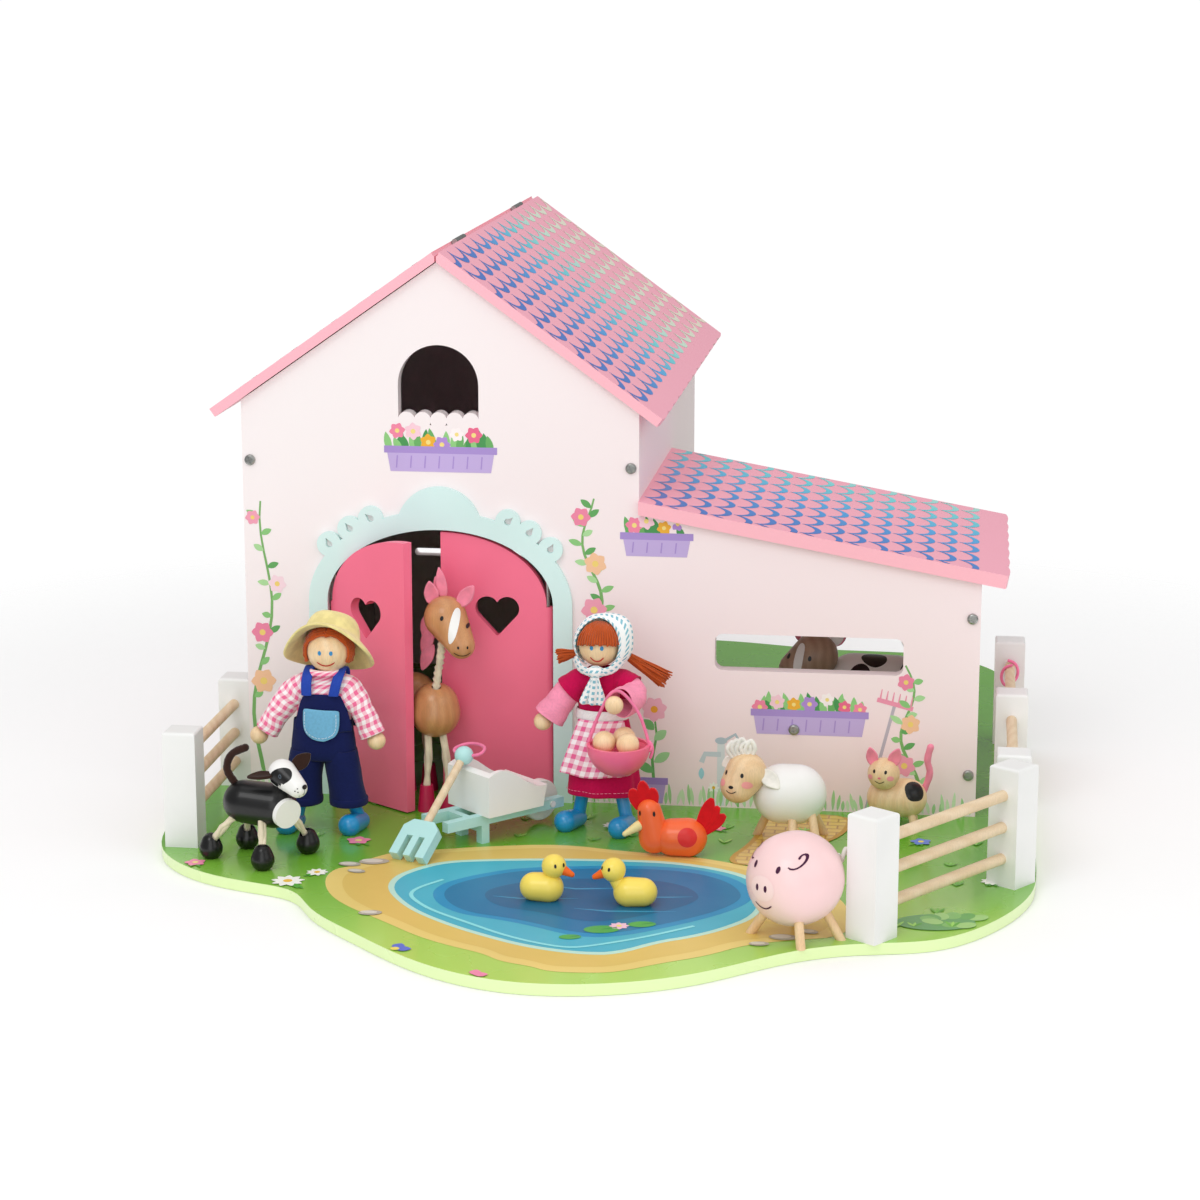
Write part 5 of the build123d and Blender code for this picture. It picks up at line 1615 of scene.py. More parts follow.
WHITE_FELT = Finish("white_felt", Surface.FELT, "f4f0e8", rough=0.95, bump=0.5)
BROWN_FELT = Finish("brown_felt", Surface.FELT, "35211a", rough=0.95, bump=0.9)
RED_FELT = Finish("red_felt", Surface.FELT, "d8141c", rough=0.92, bump=0.8)
STRAW_FELT = Finish("straw_felt", Surface.FELT, "f0e09a", rough=0.95, bump=0.9)
RUST_YARN = Finish("rust_yarn", Surface.FELT, "c25420", rough=0.9, bump=1.0, scale=1.6)
PINK_CORD = Finish("pink_cord", Surface.FELT, "f77fa9", rough=0.6, bump=0.4, scale=2.0)
NAVY = Finish("navy_cloth", Surface.CLOTH, "161f54", rough=0.9, bump=0.35)
STRAP = Finish("blue_ribbon", Surface.CLOTH, "2346ad", rough=0.55, bump=0.25)
POCKET = Finish("pocket_cloth", Surface.CLOTH, "78b8dc", rough=0.9, bump=0.4)
SHIRT = Finish("shirt_gingham", Surface.CHECK, "fff5f6", "f2709c", rough=0.88, bump=0.3, scale=215.0)
APRON = Finish("apron_gingham", Surface.CHECK, "fdf3f6", "e9679a", rough=0.88, bump=0.3, scale=185.0)
MAGENTA = Finish("magenta_cloth", Surface.CLOTH, "c50a4e", rough=0.9, bump=0.35)
SLEEVE = Finish("pink_cloth", Surface.CLOTH, "fa98b6", rough=0.88, bump=0.35)
BAND = Finish("white_band", Surface.CLOTH, "f3f0f0", rough=0.85, bump=0.3)
SCARF = Finish("scarf_cloth", Surface.DOTS, "f4f5f4", "84bccb", rough=0.88, bump=0.3, scale=310.0)
THREAD = Finish("pale_thread", Surface.CLOTH, "dfe9f2", rough=0.8, bump=0.3)


class Horse(Toy):
    """Horse: kept turned body, head and hooves, with cord legs and felt."""

    def details(self) -> None:
        """Add the cords, ears, mane, tail, blaze and face."""
        p = self.point
        turn = math.radians(124.0)
        sx, sy = 31.0 * math.cos(turn), 31.0 * math.sin(turn)
        roots = ((-3.5, -3), (4.0, -2), (sx - 3.5, sy), (sx + 4.5, sy + 1))
        feet = ((-4.0, -8.5), (8.2, -5.0), (sx - 5.0, sy + 4), (sx + 7.0, sy + 7))
        cords = []
        for root, foot in zip(roots, feet):
            cords.append(twisted([p(*root, 48.5), p((root[0] + foot[0]) / 2 + 0.4,
                                  (root[1] + foot[1]) / 2 - 0.3, 29.5), p(*foot, 11.5)], 2.6, 5.2))
        cords.append(twisted(curve_line([p(0.5, -4, 64.5), p(3.6, -5.8, 84), p(6.5, -7, 104)], 14),
                             2.7, 5.6))
        cords.append(twisted([p(0, 0, 56.5), p(sx, sy, 56.5)], 2.6, 5.4))
        self.soft("horse_cord_legs", "cream_cord", CREAM_CORD, cords, "horse_cords")
        ears = [leaf(p(0.5, -5.0, 118.0), p(-1.5, -6.0, 132.0), 8.5, 1.3, (0.1, -1, 0.1), 1.6),
                leaf(p(15.0, -7.0, 118.5), p(24.0, -8.0, 130.5), 8.5, 1.3, (-0.1, -1, 0.1), 1.6)]
        mane = [leaf(p(6.0 - k * 0.4, -2 + k * 0.7, 121 - k),
                     p(3.2 - k * 2.2, -1.4 + k * 0.6, 139 - k * 5.5),
                     6.5, 1.5, (0, -1, 0), 0.3, 0.6) for k in range(3)]
        mane += [leaf(p(-2.0, 3.0, 112.0 - k * 9), p(-7.5 - k * 0.3, 4.5, 98.0 - k * 10), 8.0, 1.6,
                      (-0.2, -1, 0), 0.2, 0.5) for k in range(3)]
        tail = yarn(p(sx - 3, sy + 13, 61), p(sx - 7, sy + 20, 32), 1.6, 16, 0.55, 5)
        self.soft("horse_felt_trim", "pink_felt", PINK_FELT, ears + mane + [tail], "horse_felt")
        marks = Marks("horse_face", "horse", "white_paint", "horse_head")
        centre, facing = p(12.5, -10.0, 105.5), Vector((0.15, -1.0, 0.12))
        marks.aim(centre, facing, -14)
        marks.patch(smooth_line([(-2.0, 13), (1.6, 12.5), (2.6, 4), (2.2, -4), (0.0, -8.0), (-2.0, -3),
                                 (-2.8, 5)]), PALE)
        marks.dots(((-7.5, 5.5), (7.2, 4.6)), 0.95, 1.35, INKY)
        marks.aim(p(16.5, -13.5, 99.0), Vector((0.35, -1.0, -0.2)), 0)
        marks.dots(((-2.0, 1.0), (3.0, 1.0)), 0.55, 0.8, INKY)
        marks.smile(0.4, -2.4, 4.6, 1.5, INKY, 0.5)
        marks.make()


class Cow(Toy):
    """Cow: kept body and legs, with spots, a head in darker grey-brown wood that paints the shade on it,
    and a face.
    """

    def details(self) -> None:
        """Add the spots, the head's painted shade and the face."""
        p = self.point
        marks = Marks("cow_markings", "cow", "black_paint", "cow_body")
        marks.aim(p(14, 0, 57), (0, -1, 0.05))
        blot = smooth_line([(-7, -6), (-9, 1), (-4, 7), (3, 8), (8, 3), (6, -5), (0, -8)])
        for u, v, size in ((-8, 6, 0.8), (10, -4, 1.05), (20, 9, 0.62), (-1, -11, 0.5)):
            marks.patch([(u + a * size, v + b * size) for a, b in blot], BLACK)
        marks.aim(p(14, 0, 57), (-0.2, -0.2, 1))
        marks.patch([(a * 0.9 + 4, b * 0.9) for a, b in blot], BLACK)
        marks.make()
        # The head egg's darker grey-brown wood is painted shade: the head sits in shade under the lean-to
        # roof.
        head = self.soft("cow_grey_head", "cow_paint", HEAD_SHADE_WOOD,
                         [egg(p(-20.5, -7, 73), p(-31.5, -12, 66), 13.3, 9.8)])
        marks = Marks("cow_face", "cow", "black_paint", head.data)
        marks.aim(p(-26, -9.5, 69.5), (-0.35, -1, 0.05))
        marks.patch(smooth_line([(-2.4, 12), (2.6, 12), (2.8, 3), (2.0, -4), (-1.6, -4.4),
                                 (-2.6, 2)]), PALE)
        marks.dots(((-6.6, 4.4), (6.4, 4.2)), 1.0, 1.5, INKY, OVAL_LIFT)
        marks.dots(((-3.2, -6.6), (2.6, -6.6)), 0.7, 1.0, INKY, OVAL_LIFT)
        marks.smile(-0.3, -9.4, 3.8, 1.2, INKY, 0.5)
        marks.make()
        ears = [leaf(p(-12.5, -6, 80), p(-2.5, -6.4, 86), 8.0, 1.3, (0, -1, 0.1), 1.2),
                leaf(p(-26.5, 2.4, 80.5), p(-34.0, 6.5, 84.5), 7.4, 1.3, (0, -1, 0.1), 1.2)]
        self.soft("cow_felt_ears", "pink_felt", PINK_FELT, ears)


class Sheep(Toy):
    """Sheep: kept white body, wooden head and legs, felt ears and tuft."""

    def details(self) -> None:
        """Add ears, tuft and face."""
        p = self.point
        felt = [leaf(p(-14.5, -10.5, 43.5), p(-4.5, -14.5, 34.5), 9.4, 1.6, (0.3, -1, 0.3), 1.0, 0.8),
                leaf(p(-30.0, 0.5, 45.5), p(-37.0, 3.6, 41.5), 8.0, 1.6, (-0.3, -1, 0.3), 0.8)]
        for k in range(5):
            x = -30.6 + k * 2.4
            curl = [p(x, -8.0, 49.8), p(x - 2.6, -9.4, 54.4 + k % 2), p(x + 0.3, -9.0, 58.4 + k % 3),
                    p(x + 2.6, -8.4, 55.0), p(x + 0.8, -7.6, 50.4)]
            felt.append(soft_rod(curve_line(curl, 16), 1.25, k))
        self.soft("sheep_felt_trim", "cream_felt", WHITE_FELT, felt, "sheep_felt")
        marks = Marks("sheep_face", "sheep", "warm_wood", "sheep_head_and_legs")
        marks.aim(p(-25.0, -8.6, 38.0), (-0.45, -1, 0.12))
        marks.dots(((4.6, 3.4), (-5.6, 3.6)), 0.85, 1.25, INKY, OVAL_LIFT)
        marks.oval(7.0, -1.6, 2.3, 2.0, ink("f2a1a0"))
        marks.oval(-6.6, -1.8, 2.0, 1.9, ink("f2a1a0"))
        marks.oval(-0.6, -3.4, 1.4, 0.9, INKY)
        marks.smile(-0.6, -5.4, 2.8, 1.2, INKY, 0.45)
        marks.make()


class Pig(Toy):
    """Pig: kept painted ball and legs, with snout, face, ears and a curled tail."""

    def details(self) -> None:
        """Add the painted face and the tail."""
        p = self.point
        plum = ink("4a1f3f")
        marks = Marks("pig_face", "pig", "pig_paint", "pig_body")
        marks.aim(p(-0.8, -0.4, 29.5), (-0.62, -0.78, 0.08))
        marks.oval(0, -1.5, 7.4, 6.4, ink("f8d9d8"))
        marks.dots(((-2.6, -1.2), (2.6, -1.2)), 0.9, 1.7, plum)
        marks.smile(0, -9.4, 5.2, 2.4, plum, 0.7)
        marks.dots(((-7.0, 9.0), (7.4, 9.0)), 1.0, 1.7, plum)
        for side in (-1, 1):
            swirl = [(side * (13.5 - 0.25 * k * math.cos(k * 0.36)),
                      14.5 + (1.0 + 0.26 * k) * math.sin(k * 0.36)) for k in range(16)]
            marks.line(swirl, 0.8, plum)
        marks.make()
        curl = [p(20.2 + 0.5 * k, 9.5 + 2.2 * math.sin(k * 0.85),
                  37.0 + 2.2 * math.cos(k * 0.85) + 0.45 * k) for k in range(13)]
        self.soft("pig_curled_tail", "cream_cord", WHITE_FELT, [tube(curve_line(curl, 40), 1.1, 10)])


class Cat(Toy):
    """Cat: kept wood, with a black saddle, felt ears and tail."""

    def details(self) -> None:
        """Add the saddle, face, ears and tail."""
        p = self.point
        felt = [leaf(p(-13.0, -8.0, 36.5), p(-15.5, -9.5, 47.5), 6.8, 1.3, (0, -1, 0), 0.9),
                leaf(p(-3.5, -8.6, 36.5), p(0.5, -10.5, 47.5), 7.4, 1.3, (0, -1, 0), 0.9),
                soft_rod(curve_line([p(14.2, 2.5, 19.5), p(17.4, 2.6, 30), p(16.0, 2.0, 38),
                                     p(17.5, 1.5, 45.5)]), 1.9, 4)]
        self.soft("cat_felt_trim", "pink_felt", PINK_FELT, felt, "cat_felt")
        marks = Marks("cat_markings", "cat", "black_paint", "cat_wood")
        marks.aim(p(5.5, 0, 16.5), (0.35, -0.8, 0.6))
        marks.patch(smooth_line([(-4, -5), (-5, 3), (-1, 6.5), (5, 6), (7, 0), (4, -5.5)]), BLACK)
        marks.aim(p(-7.6, -7.0, 32.0), (-0.25, -1, 0.1))
        marks.dots(((-3.2, 2.2), (3.2, 2.2)), 0.7, 1.05, INKY, OVAL_LIFT)
        marks.dots(((-5.6, -1.2), (5.6, -1.2)), 1.6, 1.4, ink("f29aa2"), OVAL_LIFT)
        marks.oval(0, -1.2, 0.9, 0.6, ink("e9788c"))
        marks.smile(0, -2.8, 2.6, 1.2, INKY, 0.4)
        marks.make()


class Dog(Toy):
    """Dog: kept painted body and head, cord legs, felt ears and tail."""

    def details(self) -> None:
        """Add the legs, felt, patches and face."""
        p = self.point
        roots = ((-13, -5), (2, -8), (14, 4), (-10, 8))
        feet = ((-28.0, -0.5), (4.2, -16.5), (21.5, 14.5), (-13.0, 19.0))
        cords = [twisted([p(*root, 25.5), p((root[0] + foot[0]) / 2, (root[1] + foot[1]) / 2, 17.8),
                          p(*foot, 8.3)], 2.5, 4.6) for root, foot in zip(roots, feet)]
        self.soft("dog_cord_legs", "cream_cord", CREAM_CORD, cords, "dog_cords")
        felt = [leaf(p(17.5, 0.5, 51.0), p(26.5, 4.0, 58.5), 8.6, 1.6, (0.1, -1, 0.2), 0.6),
                leaf(p(9.0, -7.6, 49.5), p(-5.0, -9.4, 48.0), 6.4, 1.6, (0, -0.5, 1), 0.5, 0.8),
                soft_rod(curve_line([p(-14, 1.5, 41), p(-18.5, 1.5, 49), p(-16, 2, 57), p(-8.5, 2.2, 61)]),
                         2.1, 9)]
        self.soft("dog_felt_trim", "brown_felt", BROWN_FELT, felt, "dog_felt")
        marks = Marks("dog_face", "dog", "black_paint", "dog_head")
        marks.aim(p(15.5, -4.5, 47.0), (-0.1, -1, 0.42), 24)
        marks.patch(smooth_line([(-7.8, -3.6), (-8.2, 3.4), (-3, 5.4), (3.6, 4.2), (5.2, 0.2),
                                 (3.0, -4.0)]), BLACK)
        marks.oval(-1.6, 0.6, 0.8, 1.1, ink("5a6672"), OVAL_LIFT + 0.04)
        marks.oval(-1.6, 0.6, 0.45, 0.7, INKY, DOT_LIFT + 0.04)
        marks.aim(p(22.0, -8.5, 43.0), (0.55, -1, 0.1))
        marks.oval(2.6, 1.0, 1.5, 1.2, INKY, DOT_LIFT)
        marks.line([(2.6, 0), (2.2, -2.6), (-0.6, -3.8)], 0.4, INKY)
        marks.dots(((-1.4, 0.6), (-2.6, -0.6), (-1.2, -1.2)), 0.32, 0.32, INKY)
        marks.make()


class Hen(Toy):
    """Hen: kept orange body, with comb, tail, wing spot, beak and eyes."""

    def details(self) -> None:
        """Add felt and painted parts."""
        p = self.point
        lobes = ((-3.4, -1.2, -7.2, 36.5), (-0.6, 0.6, -1.4, 41.2), (2.4, -0.6, 4.6, 37.5))
        felt = [leaf(p(-17.4 + dx, -1.3, 27.0 + dz), p(-19.0 + ex, -1.5, top), 7.4, 2.6, (0, -1, 0),
                     outline=ROUNDED) for dx, dz, ex, top in lobes]
        felt += [leaf(p(10.5, 0.4, 12.5 + k), p(24.5 - 3.6 * k, 1.4, 23.0 + 4.6 * k), 7.6, 2.4,
                      (0, -1, 0), outline=ROUNDED) for k in range(3)]
        self.soft("hen_felt_trim", "red_felt", RED_FELT, felt, "hen_felt")
        marks = Marks("hen_markings", "hen", "orange_paint", "hen_body")
        marks.aim(p(3.6, 0, 10), (0.15, -1, 0.25))
        marks.oval(0, 0.5, 5.2, 5.2, ink("e0322f"))
        self.soft("hen_beak", "yellow_paint", ink("f2df9c"),
                  [egg(p(-21.6, -5.3, 17.2), p(-28.5, -9.0, 13.5), 2.8, 1.4)])
        for u in (-6.5, 3.2):
            marks.aim(p(-16.0, -1.2, 24.0), (u / 6.5, -1, 0.1))
            marks.oval(0, 0, 0.7, 1.4, INKY, DOT_LIFT)
        marks.make()


@dataclass
class Duck(Toy):
    """Duck: kept yellow body, with bill and eyes."""

    facing: int = 1
    reach: float = 6.2

    def details(self) -> None:
        """Add bill and eyes."""
        p, f = self.point, self.facing
        bill = egg(p(f * (self.reach + 4.9), -0.6, 16.6), p(f * (self.reach + 9.4), -1.2, 14.6), 2.6, 1.4)
        self.soft(self.body + "_bill", "orange_paint", ink("f26a1f"), [bill])
        marks = Marks(self.body + "_face", self.body, "yellow_paint", *self.finishes)
        marks.aim(p(f * self.reach, 0, 18.4), (f * 0.45, -1, 0.15))
        marks.dots(((-f, 0.9), (3.6 * f, 0.9)), 0.6, 1.0, INKY)
        marks.make()


def sleeve(line: list[Point], radii: list[float], folds: float, seed: int) -> Mesh:
    """Cloth sleeve along an arm, open at the wrist.

    Args:
        line: points from shoulder to wrist.
        radii: radius at each.
        folds: depth of its creases as a share of the radius.
        seed: number that fixes the creases.

    Returns:
        The sleeve with its cloth's thickness.
    """
    path, at, rings = curve_line(line, 22), np.linspace(0, 1, len(radii)), []
    last = len(path) - 1
    for k, spot in enumerate(path):
        way = Vector(path[min(k + 1, last)]) - Vector(path[max(k - 1, 0)])
        radius = float(np.interp(k / last, at, radii)) * (1 + folds * 0.5 * math.sin(k * 1.35 + seed))
        turn = Vector((0, 0, 1)).rotation_difference(way.normalized())
        points = []
        for j in range(30):
            angle = math.tau * j / 30
            crease = 1 + folds * math.sin(2 * angle + k * 0.5 + seed) + folds * 0.4 * math.sin(
                5 * angle - k * 0.7)
            points.append(tuple(Vector(spot) + turn @ Vector(
                (radius * crease * math.cos(angle), radius * crease * math.sin(angle), 0))))
        rings.append(points)
    middle = Vector(path[-1]) * 0.07
    rings.append([tuple(Vector(point) * 0.93 + middle) for point in rings[-1]])
    return thicken(loft(rings, "sleeve"), 0.6)


def stitches(line: list[Point], facing: Point, length: float = 1.1, gap: float = 0.8,
             radius: float = 0.17) -> Mesh:
    """Row of sewn stitches along a line.

    Args:
        line: line on the cloth.
        facing: direction away from the cloth.
        length: length of one stitch.
        gap: gap between two.
        radius: thread radius.

    Returns:
        The stitches' mesh.
    """
    out = Vector(facing).normalized()
    path, so_far, parts, start = curve_line(line, 120), [0.0], [], 0.0
    for a, b in zip(path, path[1:]):
        so_far.append(so_far[-1] + math.dist(a, b))
    while start + length < so_far[-1]:
        run = []
        for share in (0, 0.5, 1.0):
            k = int(np.searchsorted(so_far, start + length * share)) or 1
            spot = Vector(path[min(k, len(path) - 1)])
            run.append(tuple(spot + out * (0.12 if share == 0.5 else 0.0)))
        parts.append(tube(run, radius, 6))
        start += length + gap
    return join(parts, "stitches")


def cloth(rows: list[list[Point]], name: str, depth: float) -> Mesh:
    """Flat-cut cloth over rows of points."""
    return thicken(loft(rows, name, closed=False), depth)


def face(marks: Marks, centre: Point, facing: Point, eyes: float, high: float, smile: Flat) -> None:
    """Plain dots and a smile on a doll's head.

    Args:
        marks: the head's marks.
        centre: middle of the head.
        facing: direction that the face looks along.
        eyes: half the distance between the eyes.
        high: height of the eyes over the middle.
        smile: half width and depth of the smile.
    """
    marks.aim(centre, facing)
    marks.dots(((-eyes, high), (eyes, high)), 0.95, 1.25, EYE_BLUE, OVAL_LIFT)
    marks.smile(0, high - 5.2, smile[0], smile[1], LIP_RED, 0.75)


@dataclass
class Farmer(Toy):
    """Farmer doll: kept head, hands and boots; sewn shirt, dungarees, hat and hair."""

    head: Point = (4.0, 0, 102)

    def shirt(self) -> None:
        """Checked shirt with its sleeves and collar."""
        p = self.point
        rows = ((46, 15.2, 8.4, 0), (56, 15.6, 9.2, 0), (66, 15.2, 9.2, 0), (76, 14.6, 8.8, 0),
                (83, 13.2, 7.8, 1), (88, 9.4, 6.4, 2), (91.5, 6.6, 5.6, 2.6))
        rings = [ring(p(0.4 + s * 0.6, 0, z), a, d, 44, 5, 0.018, z * 0.3) for z, a, d, s in rows]
        parts = [thicken(loft(rings, "shirt"), 0.6)]
        parts.append(sleeve([p(-4.6, 0, 83.4), p(-11.5, -0.3, 82.0), p(-18.5, -0.8, 75), p(-25.5, -1.4, 65),
                             p(-31.2, -2.2, 56.0)], [5.4, 7.2, 7.3, 6.8, 6.9], 0.05, 2))
        parts.append(sleeve([p(5.4, 0, 83.4), p(12.5, -0.3, 82.0), p(18.5, -0.8, 75), p(23.5, -1.4, 66),
                             p(28.0, -2.2, 55.6)], [5.4, 7.2, 7.3, 6.7, 6.8], 0.05, 5))
        collar = [ring(p(2.2, -0.3, z), a, d, 40, 2, 0.03) for z, a, d in
                  ((90.6, 7.2, 6.2), (92.0, 8.6, 7.4), (91.2, 9.6, 8.6), (89.2, 10.2, 9.2))]
        parts.append(thicken(loft(collar, "collar"), 0.7))
        piece = self.soft("farmer_shirt", "pink_felt", SHIRT, parts, "farmer_clothes")

    def dungarees(self) -> None:
        """Dungarees with bib, straps, pocket and turned-up hems."""
        p = self.point
        parts = []
        rows = ((41, 17.0, 9.4), (44.5, 18.3, 10.8), (50, 17.8, 11.0), (58, 16.9, 10.6), (64, 16.2, 10.2))
        hips = [ring(p(0, 0, z), a, d, 48, 6, 0.02, z * 0.4) for z, a, d in rows]
        parts.append(thicken(loft(hips, "hips"), 0.7))
        for side, foot in ((-1, -12.0), (1, 13.2)):
            shape = [(47, side * 8.6, 9.4), (40.5, side * 9.7, 9.3), (34, side * 10.8, 9.0),
                     (27, side * 11.6, 9.0), (20, foot * 0.98, 9.4), (15.6, foot, 9.9)]
            rings = [ring(p(x, 0.2, z), r, r * 0.96, 40, 4, 0.035, z * 0.35 + side) for z, x, r in shape]
            parts.append(thicken(loft(rings, "leg"), 0.7))
            cuff = [ring(p(foot, 0.2, z), r, r * 0.96, 40, 3, 0.02) for z, r in
                    ((15.2, 9.7), (15.0, 10.5), (17.0, 10.8), (19.2, 10.7), (19.6, 10.1))]
            parts.append(thicken(loft(cuff, "hem"), 0.6))
        for facing in (-1, 1):
            bib = []
            for row in range(9):
                t = row / 8
                half = float(np.interp(t, (0, 0.35, 0.75, 1), (16.4, 15.2, 13.0, 10.6)))
                line = [p(1.2 + half * (k / 12 - 1),
                          facing * (10.9 - 0.9 * t - 4.6 * (k / 12 - 1) ** 2 * (half / 14)),
                          58 + 21.5 * t - 1.3 * (k / 12 - 1) ** 2 * t) for k in range(25)]
                bib.append(line[::-facing])
            parts.append(cloth(bib, "bib", 0.8))
        piece = self.soft("farmer_dungarees", "navy_cloth", NAVY, parts)
        straps = []
        for low, top in (((-6.6, -10.5, 78.6), (-6.4, -6.4, 90.6)),
                         ((8.2, -10.5, 78.6), (11.0, -6.0, 90.4))):
            mid = ((low[0] + top[0]) / 2 - (0.2 if low[0] < 0 else -0.2), -10.0, 85.4)
            path = curve_line([p(*low), p(*mid), p(*top), p(top[0], 2.0, 92.4), p(top[0], 7.4, 87),
                               p(low[0], 9.8, 76.0)], 30)
            grid = [[(x + 3.0, y, z), (x, y - 0.15, z), (x - 3.0, y, z)] for x, y, z in path]
            straps.append(cloth(grid, "strap", 0.6))
        self.soft("farmer_straps", "navy_cloth", STRAP, straps)
        edge = [(-8.9, 71.8), (-9.3, 63.5), (-8.0, 57.8), (-3.0, 54.2), (2.9, 53.6), (9.1, 56.4),
                (11.4, 61.8), (11.6, 70.8)]
        left = curve_line([(x, 0, z) for x, z in edge[:5]], 12)
        right = curve_line([(x, 0, z) for x, z in edge[:3:-1]], 12)
        rows = []
        for step in range(6):
            share = step / 5
            rows.append([p(a[0] * (1 - share) + b[0] * share,
                           -12.4 + 0.018 * (a[0] - 1.2) ** 2 * (1 - 2 * share) ** 2,
                           a[2] * (1 - share) + b[2] * share) for a, b in zip(left, right)])
        self.soft("farmer_pocket", "blue_paint", POCKET, [cloth(rows, "pocket", 0.5)])
        inner = [p(1.2 + (x - 1.2) * 0.84, -12.75, 63.6 + (z - 63.6) * 0.82) for x, z in edge]
        self.soft("farmer_stitching", "blue_paint", THREAD, [stitches(inner, (0, -1, 0))])

    def hat(self) -> None:
        """Felt sun hat with its waved brim."""
        p = self.point
        axis = Vector((0.03, 0.66, 0.75)).normalized()
        centre = Vector(p(3.8, 2.6, 102.6))
        turn = Vector((0, 0, 1)).rotation_difference(axis)
        rows = ((7.6, 18.0), (11.4, 16.0), (13.2, 12.4), (13.9, 7.6), (14.4, 4.6), (17.2, 2.6), (20.2, 0.4),
                (23.0, -2.2), (24.0, -3.6))
        rings = [[tuple(centre + turn @ Vector((0.05 * c, 0.05 * s, 18.9))) for c, s in circle(56)]]
        for radius, height in rows:
            loose = max(0.0, radius - 14.4) / 10
            points = []
            for k in range(56):
                angle = math.tau * k / 56
                wave = 1 + 0.03 * loose * math.sin(3 * angle + 1.0) + 0.015 * math.sin(5 * angle + radius)
                drop = 3.4 * loose * math.cos(2 * angle) - 1.0 * loose * math.sin(3 * angle + 0.4)
                dent = 0.7 * math.sin(2 * angle + 0.7) if radius < 13 else 0.0
                wide = radius * wave
                points.append(tuple(centre + turn @ Vector((
                    wide * math.cos(angle), wide * math.sin(angle), height - drop + dent))))
            rings.append(points)
        self.soft("farmer_felt_hat", "straw_felt", STRAW_FELT, [mend(thicken(loft(rings, "hat"), 1.5))],
                  "farmer_hat")

    def hair(self) -> None:
        """Locks of yarn round the head, under the hat."""
        dice = random.Random(11)
        locks = []
        head = Vector(self.point(*self.head))
        for k in range(64):
            side = -1 if k % 2 else 1
            share = (k // 2) / 31
            start_angle = math.radians(88 - 8 * share)
            line = []
            for j in range(9):
                t = j / 8
                angle = start_angle - math.radians(112 - 10 * share) * t
                depth = -5.0 + 13.2 * share - 3.8 * (1 - t) ** 1.5 * (1 - share)
                reach = (math.sqrt(13.0 ** 2 - depth ** 2) + 0.45 * math.sin(11 * t + k)
                         + dice.uniform(-0.1, 0.5))
                line.append(tuple(head + Vector((side * reach * math.cos(angle), depth,
                                                 reach * math.sin(angle)))))
            locks.append(tube(line, 0.75, 6))
        self.soft("farmer_yarn_hair", "straw_felt", RUST_YARN, locks)

    def details(self) -> None:
        """Sew the clothes and paint the face."""
        self.shirt()
        self.dungarees()
        self.hat()
        self.hair()
        marks = Marks("farmer_face", "farmer", "skin_wood", "farmer_wood")
        face(marks, self.point(*self.head), (0.04, -1, 0.0), 3.1, 0.9, (4.8, 2.0))
        marks.make()


